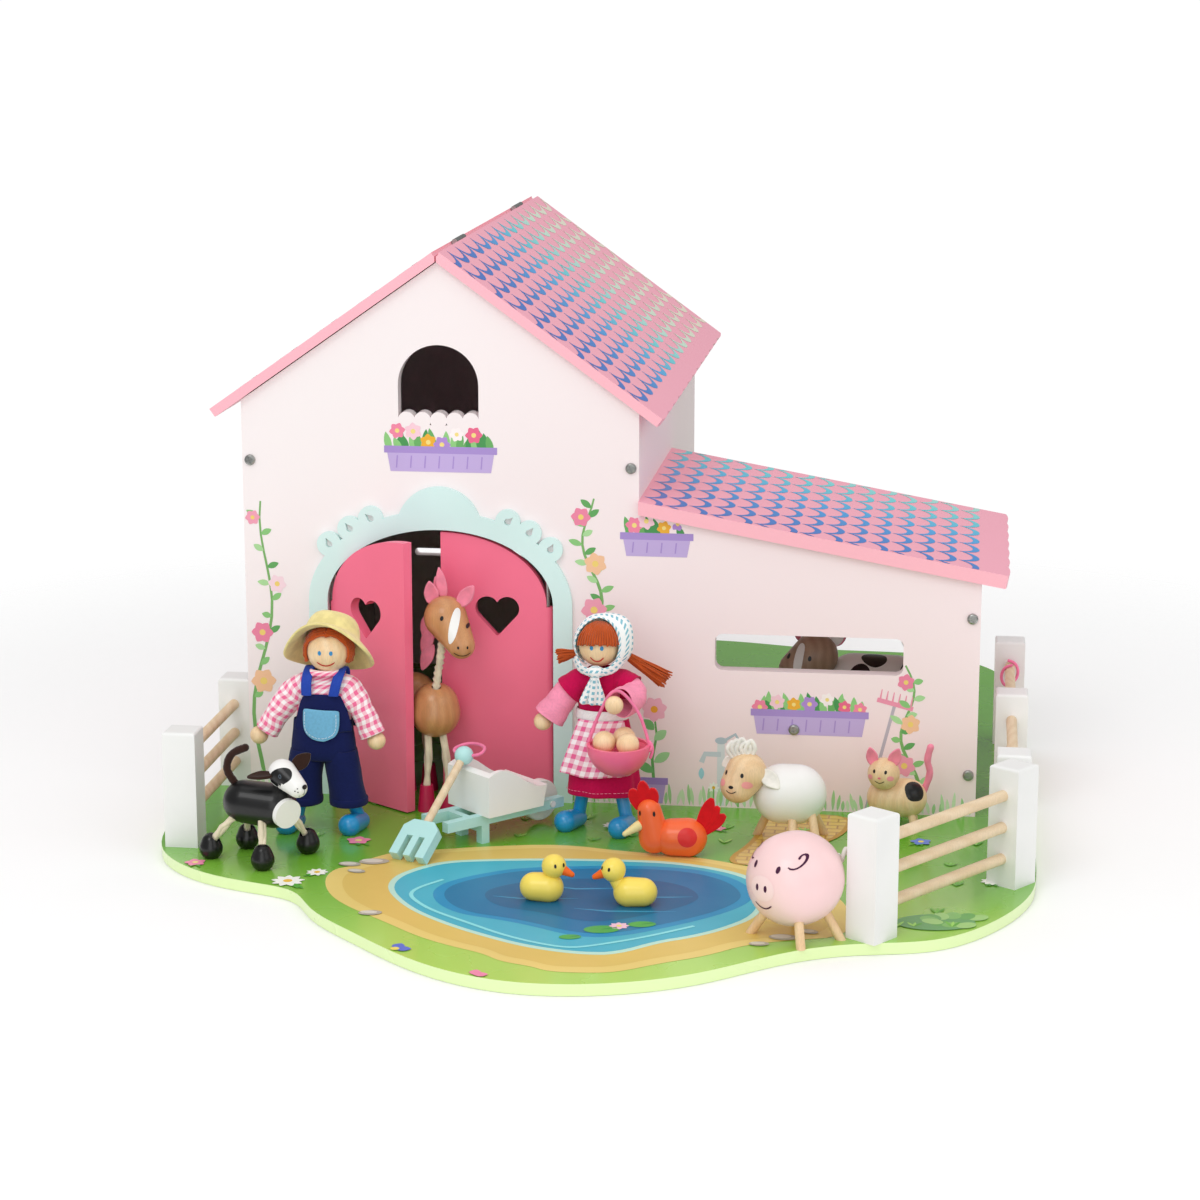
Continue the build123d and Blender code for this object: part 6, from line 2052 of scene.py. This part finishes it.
@dataclass
class Girl(Toy):
    """Girl doll: kept head, hands and boots; sewn dress, apron, headscarf, yarn bunches and basket."""

    head: Point = (-0.5, -0.5, 103.5)

    def dress(self) -> None:
        """Dress with bell sleeves and a hem seam."""
        p = self.point
        rows = ((19.8, 20.2, 13.2), (20.6, 20.4, 13.6), (28, 19.8, 13.4), (38, 18.6, 12.6),
                (50, 16.6, 11.4), (60, 14.4, 10.0), (66, 13.0, 9.2), (73, 14.2, 9.2), (80, 15.8, 8.8),
                (85.5, 14.6, 7.8), (89, 10.4, 6.6), (91.5, 7.2, 5.6))
        rings = []
        for z, a, d in rows:
            deep = 0.045 * max(0.15, (62 - z) / 42) if z < 62 else 0.012
            centre = p(1.5 - 0.9 * max(0, z - 60) / 30, 0.6, z)
            rings.append(ring(centre, a, d, 64, 7, deep, 0.6 + z * 0.012))
        parts = [thicken(loft(rings, "dress"), 0.7)]
        parts.append(sleeve([p(-5.0, 0, 83.6), p(-11.5, -0.3, 82.6), p(-17.6, -1.0, 77.4)],
                            [5.6, 7.8, 8.7], 0.03, 4))
        parts.append(sleeve([p(5.0, 0, 83.6), p(11.8, -0.6, 83.0), p(17.0, -2.6, 80.0)],
                            [5.6, 7.8, 8.5], 0.03, 6))
        piece = self.soft("girl_magenta_dress", "magenta_cloth", MAGENTA, parts, "girl_dress")
        hem = ring(p(1.5, 0.6, 23.0), 20.7, 13.9, 64, 7, 0.04, 0.9)
        self.soft("girl_hem_stitching", "magenta_cloth", SLEEVE,
                  [stitches(hem[34:62], (0, -1, 0), 1.3, 1.0, 0.16)])
        arms = [sleeve([p(-12.4, -0.4, 82.4), p(-17, -0.8, 78), p(-22.5, -2.0, 71), p(-28.2, -3.2, 62.8)],
                       [6.2, 7.2, 8.2, 8.9], 0.045, 3),
                sleeve([p(12.4, -0.6, 83.0), p(17.2, -3.8, 80.2), p(18.4, -10.5, 77.4),
                        p(13.8, -20.8, 76.8)], [6.2, 7.2, 7.8, 8.3], 0.045, 8)]
        self.soft("girl_pink_sleeves", "pink_felt", SLEEVE, arms)

    def apron(self) -> None:
        """Checked apron on a white band."""
        p = self.point
        rows = []
        for row in range(16):
            t = row / 15
            z = 63.5 - 30.0 * t
            half = 12.2 + 8.0 * t ** 0.9
            line = []
            for k in range(31):
                s = k / 15 - 1
                fold = 0.75 * t * math.sin(5.2 * s + 0.7) + 0.35 * t * math.sin(11 * s)
                bow = (11.0 + 4.6 * t) * math.sqrt(max(0.0, 1 - 0.60 * s * s))
                line.append(p(1.3 + half * s - 2.8 * t, 0.4 - bow - fold,
                              z - 1.5 * t * (1 - s * s) + 0.4 * math.sin(6 * s) * t))
            rows.append(line)
        band_rows = [ring(p(0.9, 0.6, z), a, d, 60, 3, 0.008) for z, a, d in
                     ((62.6, 14.6, 10.6), (63.0, 15.1, 11.3), (68.0, 14.6, 10.9), (68.6, 13.9, 10.1))]
        band = self.soft("girl_apron_band", "white_paint", BAND, [thicken(loft(band_rows, "band"), 0.6)])
        apron = self.soft("girl_gingham_apron", "pink_felt", APRON, [cloth(rows, "apron", 0.5)])

    def hood(self) -> list[list[Point]]:
        """Rows of the scarf over the head, from the face to the neck.

        Returns:
            The rows' points.
        """
        head, rows = Vector(self.point(*self.head)), []
        for row in range(15):
            t, line = row / 14, []
            for k in range(41):
                s = k / 20 - 1
                angle = s * math.radians(152 - 22 * t)
                right, left = max(0.0, math.sin(angle)), max(0.0, -math.sin(angle))
                front = 80 - 24 * right - 12 * left
                away = math.radians(front + t * (146 - front))
                swell = math.sin(math.pi * t ** 0.7)
                full = 3.6 * right + 2.8 * math.exp(-((angle - 0.9) / 0.4) ** 2)
                radius = (13.5 + math.sin(math.pi * min(t * 1.2, 1)) + swell * full
                          + 0.25 * math.sin(7 * s + 5 * t))
                reach = radius * math.sin(away)
                height = reach * math.cos(angle) * (1 + 0.1 * max(0.0, math.cos(angle)))
                line.append(tuple(head + Vector((
                    reach * math.sin(angle) * 1.02,
                    0.6 * math.sin(3 * s + 2) - radius * math.cos(away), height + 1.4))))
            rows.append(line)
        return rows

    def scarf(self) -> None:
        """Headscarf round the face, tied under the chin, with its hanging ends."""
        p = self.point
        parts = [cloth(self.hood(), "scarf", 0.6)]
        knot = [ring(p(-1.4, -11.6, z), a, d, 26, 4, 0.06, z) for z, a, d in
                ((94.6, 2.0, 1.4), (93.2, 4.2, 3.0), (91.0, 4.6, 3.2), (89.0, 3.8, 2.6), (88.0, 2.4, 1.6))]
        parts.append(loft(knot, "knot", cap=True))
        for side in (-1, 1):
            inner = curve_line([p(side * 11.6 - 0.5, -7.4, 99.6), p(side * 7.6 - 1.0, -11.4, 95.0),
                                p(side * 2.0 - 1.3, -12.6, 93.2)], 14)
            outer = curve_line([p(side * 14.6 - 0.5, -2.0, 95.6), p(side * 9.6 - 1.0, -8.6, 90.6),
                                p(side * 2.6 - 1.3, -11.8, 88.8)], 14)
            rows = []
            for row in range(6):
                share = row / 5
                slack = Vector((0, 0.5 * math.sin(math.pi * share), 0))
                rows.append([tuple(Vector(a).lerp(Vector(b), share) - slack) for a, b in zip(inner, outer)])
            parts.append(cloth(rows[::-side], "tie", 0.6))
        for side, turn in ((-1, -3.8), (1, 1.4)):
            grid = []
            for row in range(10):
                t = row / 9
                half = 2.2 + 3.0 * t
                grid.append([p(-1.5 + turn * t + half * (k / 4 - 1),
                               -12.4 + 0.9 * math.sin(k * 1.3 + t * 3) - 0.7 * side,
                               89.4 - 16.5 * t + (1.6 * t if k in (0, 8) else 0)) for k in range(9)])
            parts.append(cloth(grid, "end", 0.5))
        piece = self.soft("girl_headscarf", "scarf_cloth", SCARF, parts, "girl_scarf")

    def hair(self) -> None:
        """Yarn fringe and two tied bunches."""
        p = self.point
        bunches = [yarn(p(13.6, 5.0, 97.0), p(36.0, 8.0, 82.5), 5.2, 70, 0.45, 21),
                   yarn(p(-13.2, 3.4, 98.0), p(-24.5, 4.2, 95.5), 4.0, 56, 0.45, 22)]
        head = Vector(p(*self.head))
        dice = random.Random(4)
        for k in range(34):
            side = k / 16.5 - 1
            crown = Vector((2.2 * side + 0.6, -1.5, 13.0))
            low = Vector((10.6 * side, 0, 3.4 - 1.2 * side * side + dice.uniform(-0.5, 0.5)))
            low.y = -math.sqrt(12.7 ** 2 - low.x ** 2 - low.z ** 2)
            proud, line = 13.0 + 0.6 * (k % 2), []
            for j in range(9):
                reach = proud + 0.5 * math.sin(j * 0.4) + 0.2 * math.sin(j * 2.3 + k)
                line.append(tuple(head + crown.lerp(low, j / 8).normalized() * reach))
            bunches.append(tube(line, 0.68, 6))
        self.soft("girl_yarn_hair", "pink_felt", RUST_YARN, bunches)

    def details(self) -> None:
        """Sew the clothes and paint the face."""
        self.dress()
        self.apron()
        self.hair()
        self.scarf()
        p = self.point
        knot = [tube(curve_line([p(30.0, -25.6, 56.8), p(31.2, -26.6, 54.6), p(30.2, -27.4, 52.6),
                                 p(29.4, -26.4, 54.4), p(30.8, -25.8, 56.0), p(31.6, -26.2, 52.2),
                                 p(30.6, -26.6, 48.6)], 40), 0.9, 10)]
        self.soft("basket_cord_knot", "basket_paint", PINK_CORD, knot)
        marks = Marks("girl_face", "girl", "skin_wood", "girl_wood")
        face(marks, p(*self.head), (-0.02, -1, 0.05), 2.8, 0.4, (3.6, 2.4))
        marks.make()


# Cords

@dataclass
class FreeCord:
    """A free cord: its route's points, in millimetres, as a smooth spline's control points."""

    name: str
    body: str
    node: str
    slot: str
    points: tuple[Point, ...]
    length: float
    lay: str
    radius: float = 0.9
    finish: Finish = PINK_CORD

    def build(self) -> Piece:
        """Make the cord as one open spline.

        Returns:
            The piece.
        """
        curve = bpy.data.curves.new(self.name, "CURVE")
        curve.dimensions = "3D"
        spline = curve.splines.new("NURBS")
        spline.points.add(len(self.points) - 1)
        for spot, point in zip(spline.points, self.points):
            spot.co = (*[c * MM for c in point], 1.0)
        spline.order_u = 3
        spline.use_endpoint_u = True
        spline.resolution_u = 14
        curve.bevel_depth = self.radius * MM
        curve.bevel_resolution = 5
        curve.use_fill_caps = True
        piece = bpy.data.objects.new(self.name, curve)
        bpy.context.scene.collection.objects.link(piece)
        curve.materials.append(self.finish.material())
        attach(piece, self.body)
        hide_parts(self.node)
        log.info("cord %s, %.1f mm", self.name, self.length)
        return piece


# Roofs

@dataclass(frozen=True)
class RoofPrint:
    """Rows of fish-scale arcs on one roof panel."""

    name: str
    body: str
    node: str
    pitch: float
    side: int
    row: float
    step: float
    finish: Finish

    def arc(self) -> Mesh:
        """One crescent, thick at its foot, as a small flat mesh.

        Returns:
            The crescent's mesh.
        """
        points, count = [], 22
        wide, tall = self.step / 2 * 1.04, self.row * 0.94
        for k in range(count + 1):
            angle = math.pi * k / count
            for share in (1, 1 - 0.32 * math.sin(angle) ** 0.8):
                points.append((wide * share * math.cos(angle), -tall * share * math.sin(angle), 0))
        return mesh_of(self.name + "_arc", points, grid_faces(count + 1, 2, False))

    def tree(self) -> Nodes:
        """Geometry tree that lays the arcs in staggered rows.

        Returns:
            The tree.
        """
        tree = bpy.data.node_groups.new(self.name + "_rows", "GeometryNodeTree")
        tree.interface.new_socket(name="Geometry", in_out="OUTPUT", socket_type="NodeSocketGeometry")
        for key, kind in (("Rows", "Int"), ("Columns", "Int"), ("Row", "Float"), ("Step", "Float"),
                          ("Arc", "Object"), ("Ink", "Material")):
            tree.interface.new_socket(name=key, in_out="INPUT", socket_type="NodeSocket" + kind)
        w = Wiring(tree)
        given, result = w.add("NodeGroupInput").outputs, w.add("NodeGroupOutput").inputs
        total = w.math("MULTIPLY", given["Rows"], given["Columns"])
        dots = w.add("GeometryNodePoints", {"Count": total})
        index = w.add("GeometryNodeInputIndex").outputs[0]
        row = w.math("FLOOR", w.math("DIVIDE", w.math("ADD", index, 0.5), given["Columns"]))
        col = w.math("SUBTRACT", index, w.math("MULTIPLY", row, given["Columns"]))
        odd = w.math("MULTIPLY", w.math("MODULO", row, 2.0), 0.5)
        across = w.math("MULTIPLY", w.math("ADD", col, odd), given["Step"])
        along = w.math("MULTIPLY", w.math("MULTIPLY", row, given["Row"]), -1.0)
        spot = w.add("ShaderNodeCombineXYZ", {0: across, 1: along})
        place = w.add("GeometryNodeSetPosition", {"Geometry": dots.outputs[0], "Position": spot.outputs[0]})
        shape = w.add("GeometryNodeObjectInfo", {"Object": given["Arc"]})
        lay = w.add("GeometryNodeInstanceOnPoints", {"Points": place.outputs[0],
                                                     "Instance": shape.outputs["Geometry"]})
        real = w.add("GeometryNodeRealizeInstances", {0: lay.outputs[0]})
        inked = w.add("GeometryNodeSetMaterial", {"Geometry": real.outputs[0], "Material": given["Ink"]})
        w.feed(result["Geometry"], inked.outputs[0])
        return tree

    def build(self) -> Piece:
        """Lay the arcs on the roof panel, cut off at its edges.

        Returns:
            The piece.
        """
        length, depth, top = self.upper_face()
        arc = bpy.data.objects.new(self.name + "_arc", self.arc())
        holder = bpy.data.objects.new(self.name + "_work", bpy.data.meshes.new(self.name + "_work"))
        for thing in (arc, holder):
            bpy.context.scene.collection.objects.link(thing)
        modifier = holder.modifiers.new("rows", "NODES")
        modifier.node_group = self.tree()
        values = {"Rows": int((length - 9) / self.row), "Columns": int(depth / self.step) + 3,
                  "Row": self.row * MM, "Step": self.step * MM, "Arc": arc, "Ink": self.finish.material()}
        for socket in modifier.node_group.interface.items_tree:
            if socket.in_out == "INPUT":
                modifier[socket.identifier] = values[socket.name]
        graph = bpy.context.evaluated_depsgraph_get()
        mesh = bpy.data.meshes.new_from_object(holder.evaluated_get(graph))
        bpy.data.objects.remove(holder)
        bpy.data.objects.remove(arc)
        mesh.transform(Matrix.Translation(Vector((-self.step * MM * 0.8, -1.5 * MM, 0))))
        self.trim(mesh, length * MM, depth * MM)
        self.place(mesh, top)
        return link(self.name, mesh, self.body, [self.finish], smooth=False)

    def trim(self, mesh: Mesh, length: float, depth: float) -> None:
        """Cut the flat rows off at the panel's edges, before they are tilted.

        Args:
            mesh: flat rows, to change.
            length: the panel's length in metres.
            depth: its depth in metres.
        """
        edge = 1.2 * MM
        with edited(mesh) as work:
            for spot, way in (((edge, 0, 0), (-1, 0, 0)), ((depth - edge, 0, 0), (1, 0, 0)),
                              ((0, -edge, 0), (0, 1, 0)), ((0, -length + edge, 0), (0, -1, 0))):
                bmesh.ops.bisect_plane(work, geom=work.verts[:] + work.edges[:] + work.faces[:],
                                       plane_co=spot, plane_no=way, clear_outer=True)

    def slope(self) -> tuple[Vector, Vector]:
        """Directions of the panel.

        Returns:
            The way down its slope and the way out of its upper face.
        """
        angle = math.radians(self.pitch)
        return (Vector((self.side * math.cos(angle), 0, -math.sin(angle))),
                Vector((self.side * math.sin(angle), 0, math.cos(angle))))

    def upper_face(self) -> tuple[float, float, Vector]:
        """Measures of the panel's upper face.

        Returns:
            Its length and depth in millimetres, and its front ridge corner.
        """
        down, out = self.slope()
        spots = [vertex.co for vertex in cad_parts[self.node].data.vertices]
        face = max(spot.dot(out) for spot in spots)
        top = [spot for spot in spots if spot.dot(out) > face - 0.1 * MM]
        runs, sides = [spot.dot(down) for spot in top], [spot.y for spot in top]
        corner = down * min(runs) + out * face + Vector((0, min(sides), 0))
        return (max(runs) - min(runs)) / MM, (max(sides) - min(sides)) / MM, corner

    def place(self, mesh: Mesh, top: Vector) -> None:
        """Tilt the flat rows onto the panel's upper face.

        Args:
            mesh: flat rows, to change.
            top: the face's front ridge corner.
        """
        down, out = self.slope()
        for vertex in mesh.vertices:
            u, v, _ = vertex.co
            vertex.co = top + Vector((0, u, 0)) - down * v + out * PATCH_LIFT * MM
        if self.side > 0:
            with edited(mesh) as work:
                bmesh.ops.reverse_faces(work, faces=work.faces)


# Building and stage

def dress_building() -> None:
    """Give the kept CAD nodes of the building, fences and tools their finishes."""
    plan = {
        WALL: ("front_wall", "barn_left_wall", "barn_right_wall", "barn_back_wall", "lean_to_end_wall",
               "loft_floor"),
        MEADOW: ("base_board",), ROOF: ("right_roof_panel", "left_roof_panel", "lean_to_roof"),
        AQUA: ("door_arch_trim", "lean_to_stay"), DOOR: ("left_door", "right_door"),
        STEEL: ("ridge_hinge_fixed", "ridge_hinge_moving", "door_pins", "screws"),
        WHITE: ("fence_posts",), DOWEL: ("fence_rails", "fork_shaft"),
        PALE: ("barrow_tray", "barrow_wheel"), MINT: ("barrow_frame", "fork_head"),
    }
    for finish, nodes in plan.items():
        for node in nodes:
            dress(node, finish)
    log.info("finishes on %d building nodes", sum(len(nodes) for nodes in plan.values()))


def build_prints() -> None:
    """Lay the prints on the meadow, the front wall and the roofs."""
    MeadowPrint(FLOOR).build()
    WallPrint(FRONT_FACE).build()
    for roof in (
            RoofPrint("left_roof_arcs", "lifting_roof", "left_roof_panel", 35.0, -1, 14.0, 24.4, MAIN_ARCS),
            RoofPrint("right_roof_arcs", "farm", "right_roof_panel", 36.0, 1, 14.0, 24.4, MAIN_ARCS),
            RoofPrint("lean_to_arcs", "farm", "lean_to_roof", 10.1, 1, 12.7, 24.0, LEAN_ARCS)):
        roof.build()


def build_toys() -> None:
    """Make the animals and dolls, each at its place on the board."""
    toys = [
        Horse("horse", (-97.8, -71.0), {"horse_body": HORSE, "horse_head": HORSE, "horse_hooves": CRIMSON}),
        Cow("cow", (131.0, 24.0), {"cow_body": PALE, "cow_legs": TURNED}),
        Sheep("sheep", (104.7, -114.0), {"sheep_body": PALE, "sheep_head_and_legs": TURNED}),
        Pig("pig", (117.2, -264.0), {"pig_body": PIG_PINK, "pig_legs": TURNED}),
        Cat("cat", (162.0, -75.5), {"cat_wood": TURNED}),
        Dog("dog", (-172.0, -179.0), {"dog_body": BLACK, "dog_head": PALE}),
        Hen("hen", (48.0, -143.0), {"hen_body": ORANGE}),
        Duck("left_duck", (-14.1, -226.0), {"duck_left": YELLOW}, 1, 6.2),
        Duck("right_duck", (33.9, -228.0), {"duck_right": YELLOW}, -1, 11.0),
        Farmer("farmer", (-150.5, -122.0), {"farmer_wood": FACE, "farmer_boots": BOOT_BLUE}),
        Girl("girl", (-0.5, -98.0), {"girl_wood": FACE, "girl_boots": BOOT_BLUE, "basket_bowl": BASKET,
                                     "basket_eggs": FACE}),
    ]
    for toy in toys:
        toy.build()


FORK_FOOT = (-94, -175, 8.52)
FORK_AXES = ((0.9153, -0.4027, 0), (0.2508, 0.5700, -0.7824), (0.3151, 0.7161, 0.6227))


def on_fork(x: float, y: float, z: float) -> Point:
    """Point on the leaning fork, from its foot: sideways, out of its face and up its shaft."""
    return tuple(o + x * a + y * b + z * c for o, a, b, c in zip(FORK_FOOT, *FORK_AXES))


CORDS = (
    FreeCord("fence_halter", "farm", "halter", "halter_cord",
             ((225.6, 86.25, 59.5), (221.4, 86.55, 58.9), (218.7, 87.05, 53.5), (219.5, 88.55, 48.0),
              (222.5, 91.8, 44.8), (227.9, 95.45, 48.0), (229.4, 96.95, 53.5), (226.8, 97.45, 59.0),
              (222.6, 97.75, 59.5)), 43.1, "hanging"),
    FreeCord("basket_handle", "girl", "basket_cord", "basket_paint",
             ((-3.7, -123, 61.8), (-1.1, -122.8, 70.5), (3.7, -123, 81.5), (8.0, -123, 89.5),
              (12.0, -123, 91.1), (16.2, -123, 88.5), (22.7, -123, 80.5), (26.9, -122.8, 70.1),
              (28.9, -123, 61.8)), 68.9, "taut"),
    FreeCord("fork_loop", "fork", "fork_cord", "handle_cord",
             (on_fork(4.7, 0, 70.62), on_fork(7.8, 0.3, 71.42), on_fork(9.6, 1.4, 75.22),
              on_fork(7.2, 3.4, 80.02), on_fork(-1, 4.2, 81.62), on_fork(-6.6, 3.6, 79.22),
              on_fork(-9.2, 1.6, 74.82), on_fork(-7.6, 0.4, 71.32), on_fork(-4.7, 0, 70.62)),
             38.7, "loose"),
)


@dataclass(frozen=True)
class Lamp:
    """Square studio light, turned to a point that it lights."""

    name: str
    place: Point
    size: float
    power: float
    aim: Point

    def build(self) -> None:
        """Hang the light."""
        light = bpy.data.lights.new(self.name, "AREA")
        light.energy, light.size = self.power, self.size
        lamp = bpy.data.objects.new(self.name, light)
        lamp.location = self.place
        lamp.rotation_euler = (Vector(self.aim) - Vector(self.place)).to_track_quat("-Z", "Y").to_euler()
        bpy.context.scene.collection.objects.link(lamp)


LAMPS = (
    Lamp("key", (-0.55, -1.7, 1.9), 1.0, 10.0, (0, -0.05, 0.1)),
    Lamp("fill", (1.6, -1.2, 1.2), 1.4, 4.0, (0, -0.05, 0.12)),
    Lamp("top", (0.1, -0.2, 2.2), 1.6, 4.5, (0, 0, 0)),
    Lamp("front", (0.1, -2.4, 0.7), 1.4, 6.5, (0, 0, 0.12)),
)
LENS, SENSOR = 86.58, 36.0
CAMERA_PLACE = (0.1965, -1.6156, 0.4837)
CAMERA_RIGHT, CAMERA_UP = (0.99165, 0.12898, 0), (-0.02867, 0.22044, 0.97498)
FLOOR_REACH, FLOOR_DROP = 9000, -0.2


def studio_white() -> bpy.types.Material:
    """White floor that fades into the white backdrop away from the toy.

    Returns:
        The floor's material.
    """
    material = bpy.data.materials.new("studio_white")
    material.use_nodes = True
    w = Wiring(material.node_tree)
    surface = w.tree.nodes["Principled BSDF"]
    surface.inputs["Base Color"].default_value = (0.97, 0.97, 0.97, 1.0)
    surface.inputs["Roughness"].default_value = 0.9
    place = w.add("ShaderNodeTexCoord").outputs["Object"]
    away = w.add("ShaderNodeVectorMath", {0: place}, operation="LENGTH").outputs["Value"]
    clear = w.add("ShaderNodeBsdfTransparent")
    fade = w.add("ShaderNodeMixShader", {0: w.band(away, 0.38, 0.85), 1: surface.outputs[0],
                                         2: clear.outputs[0]})
    w.feed(w.tree.nodes["Material Output"].inputs["Surface"], fade.outputs[0])
    return material


def build_backdrop() -> None:
    """White world, dimmer in reflections, and the floor."""
    scene = bpy.context.scene
    scene.world = bpy.data.worlds.new("studio")
    scene.world.use_nodes = True
    w = Wiring(scene.world.node_tree)
    back = w.tree.nodes["Background"]
    back.inputs["Color"].default_value = (1.0, 1.0, 1.0, 1.0)
    ray = w.add("ShaderNodeLightPath").outputs
    mirrored = w.math("MULTIPLY_ADD", ray["Is Glossy Ray"], -0.5, 0.8)
    w.feed(back.inputs["Strength"], w.math("MULTIPLY_ADD", ray["Is Camera Ray"], 0.22, mirrored))
    far = FLOOR_REACH
    corners = [(x, y, FLOOR_DROP) for x, y in ((-far, -far), (far, -far), (far, far), (-far, far))]
    floor = mesh_of("studio_floor", corners, [[0, 1, 2, 3]])
    floor.materials.append(studio_white())
    ground = bpy.data.objects.new("studio_floor", floor)
    scene.collection.objects.link(ground)


def build_camera() -> None:
    """Camera that was fitted to the photograph."""
    scene = bpy.context.scene
    lens = bpy.data.cameras.new("photo_camera")
    lens.sensor_width, lens.lens = SENSOR, LENS
    camera = bpy.data.objects.new("photo_camera", lens)
    right, up = Vector(CAMERA_RIGHT), Vector(CAMERA_UP)
    turn = Matrix((right, up, right.cross(up))).transposed().to_4x4()
    camera.matrix_world = Matrix.Translation(CAMERA_PLACE) @ turn
    scene.collection.objects.link(camera)
    scene.camera = camera
    scene.view_settings.view_transform = "Standard"


def main() -> None:
    """Build the looks in order: stage, cords, building, prints and toys."""
    logging.basicConfig(level=logging.INFO, format="%(name)s: %(message)s")
    for maker in (paint_film, wood_figure, cloth_weave, felt_fibres):
        GROUPS[maker.__name__] = maker()
    build_backdrop()
    for lamp in LAMPS:
        lamp.build()
    build_camera()
    for cord in CORDS:
        cord.build()
    dress_building()
    build_prints()
    build_toys()


if __name__ == "__main__":
    main()
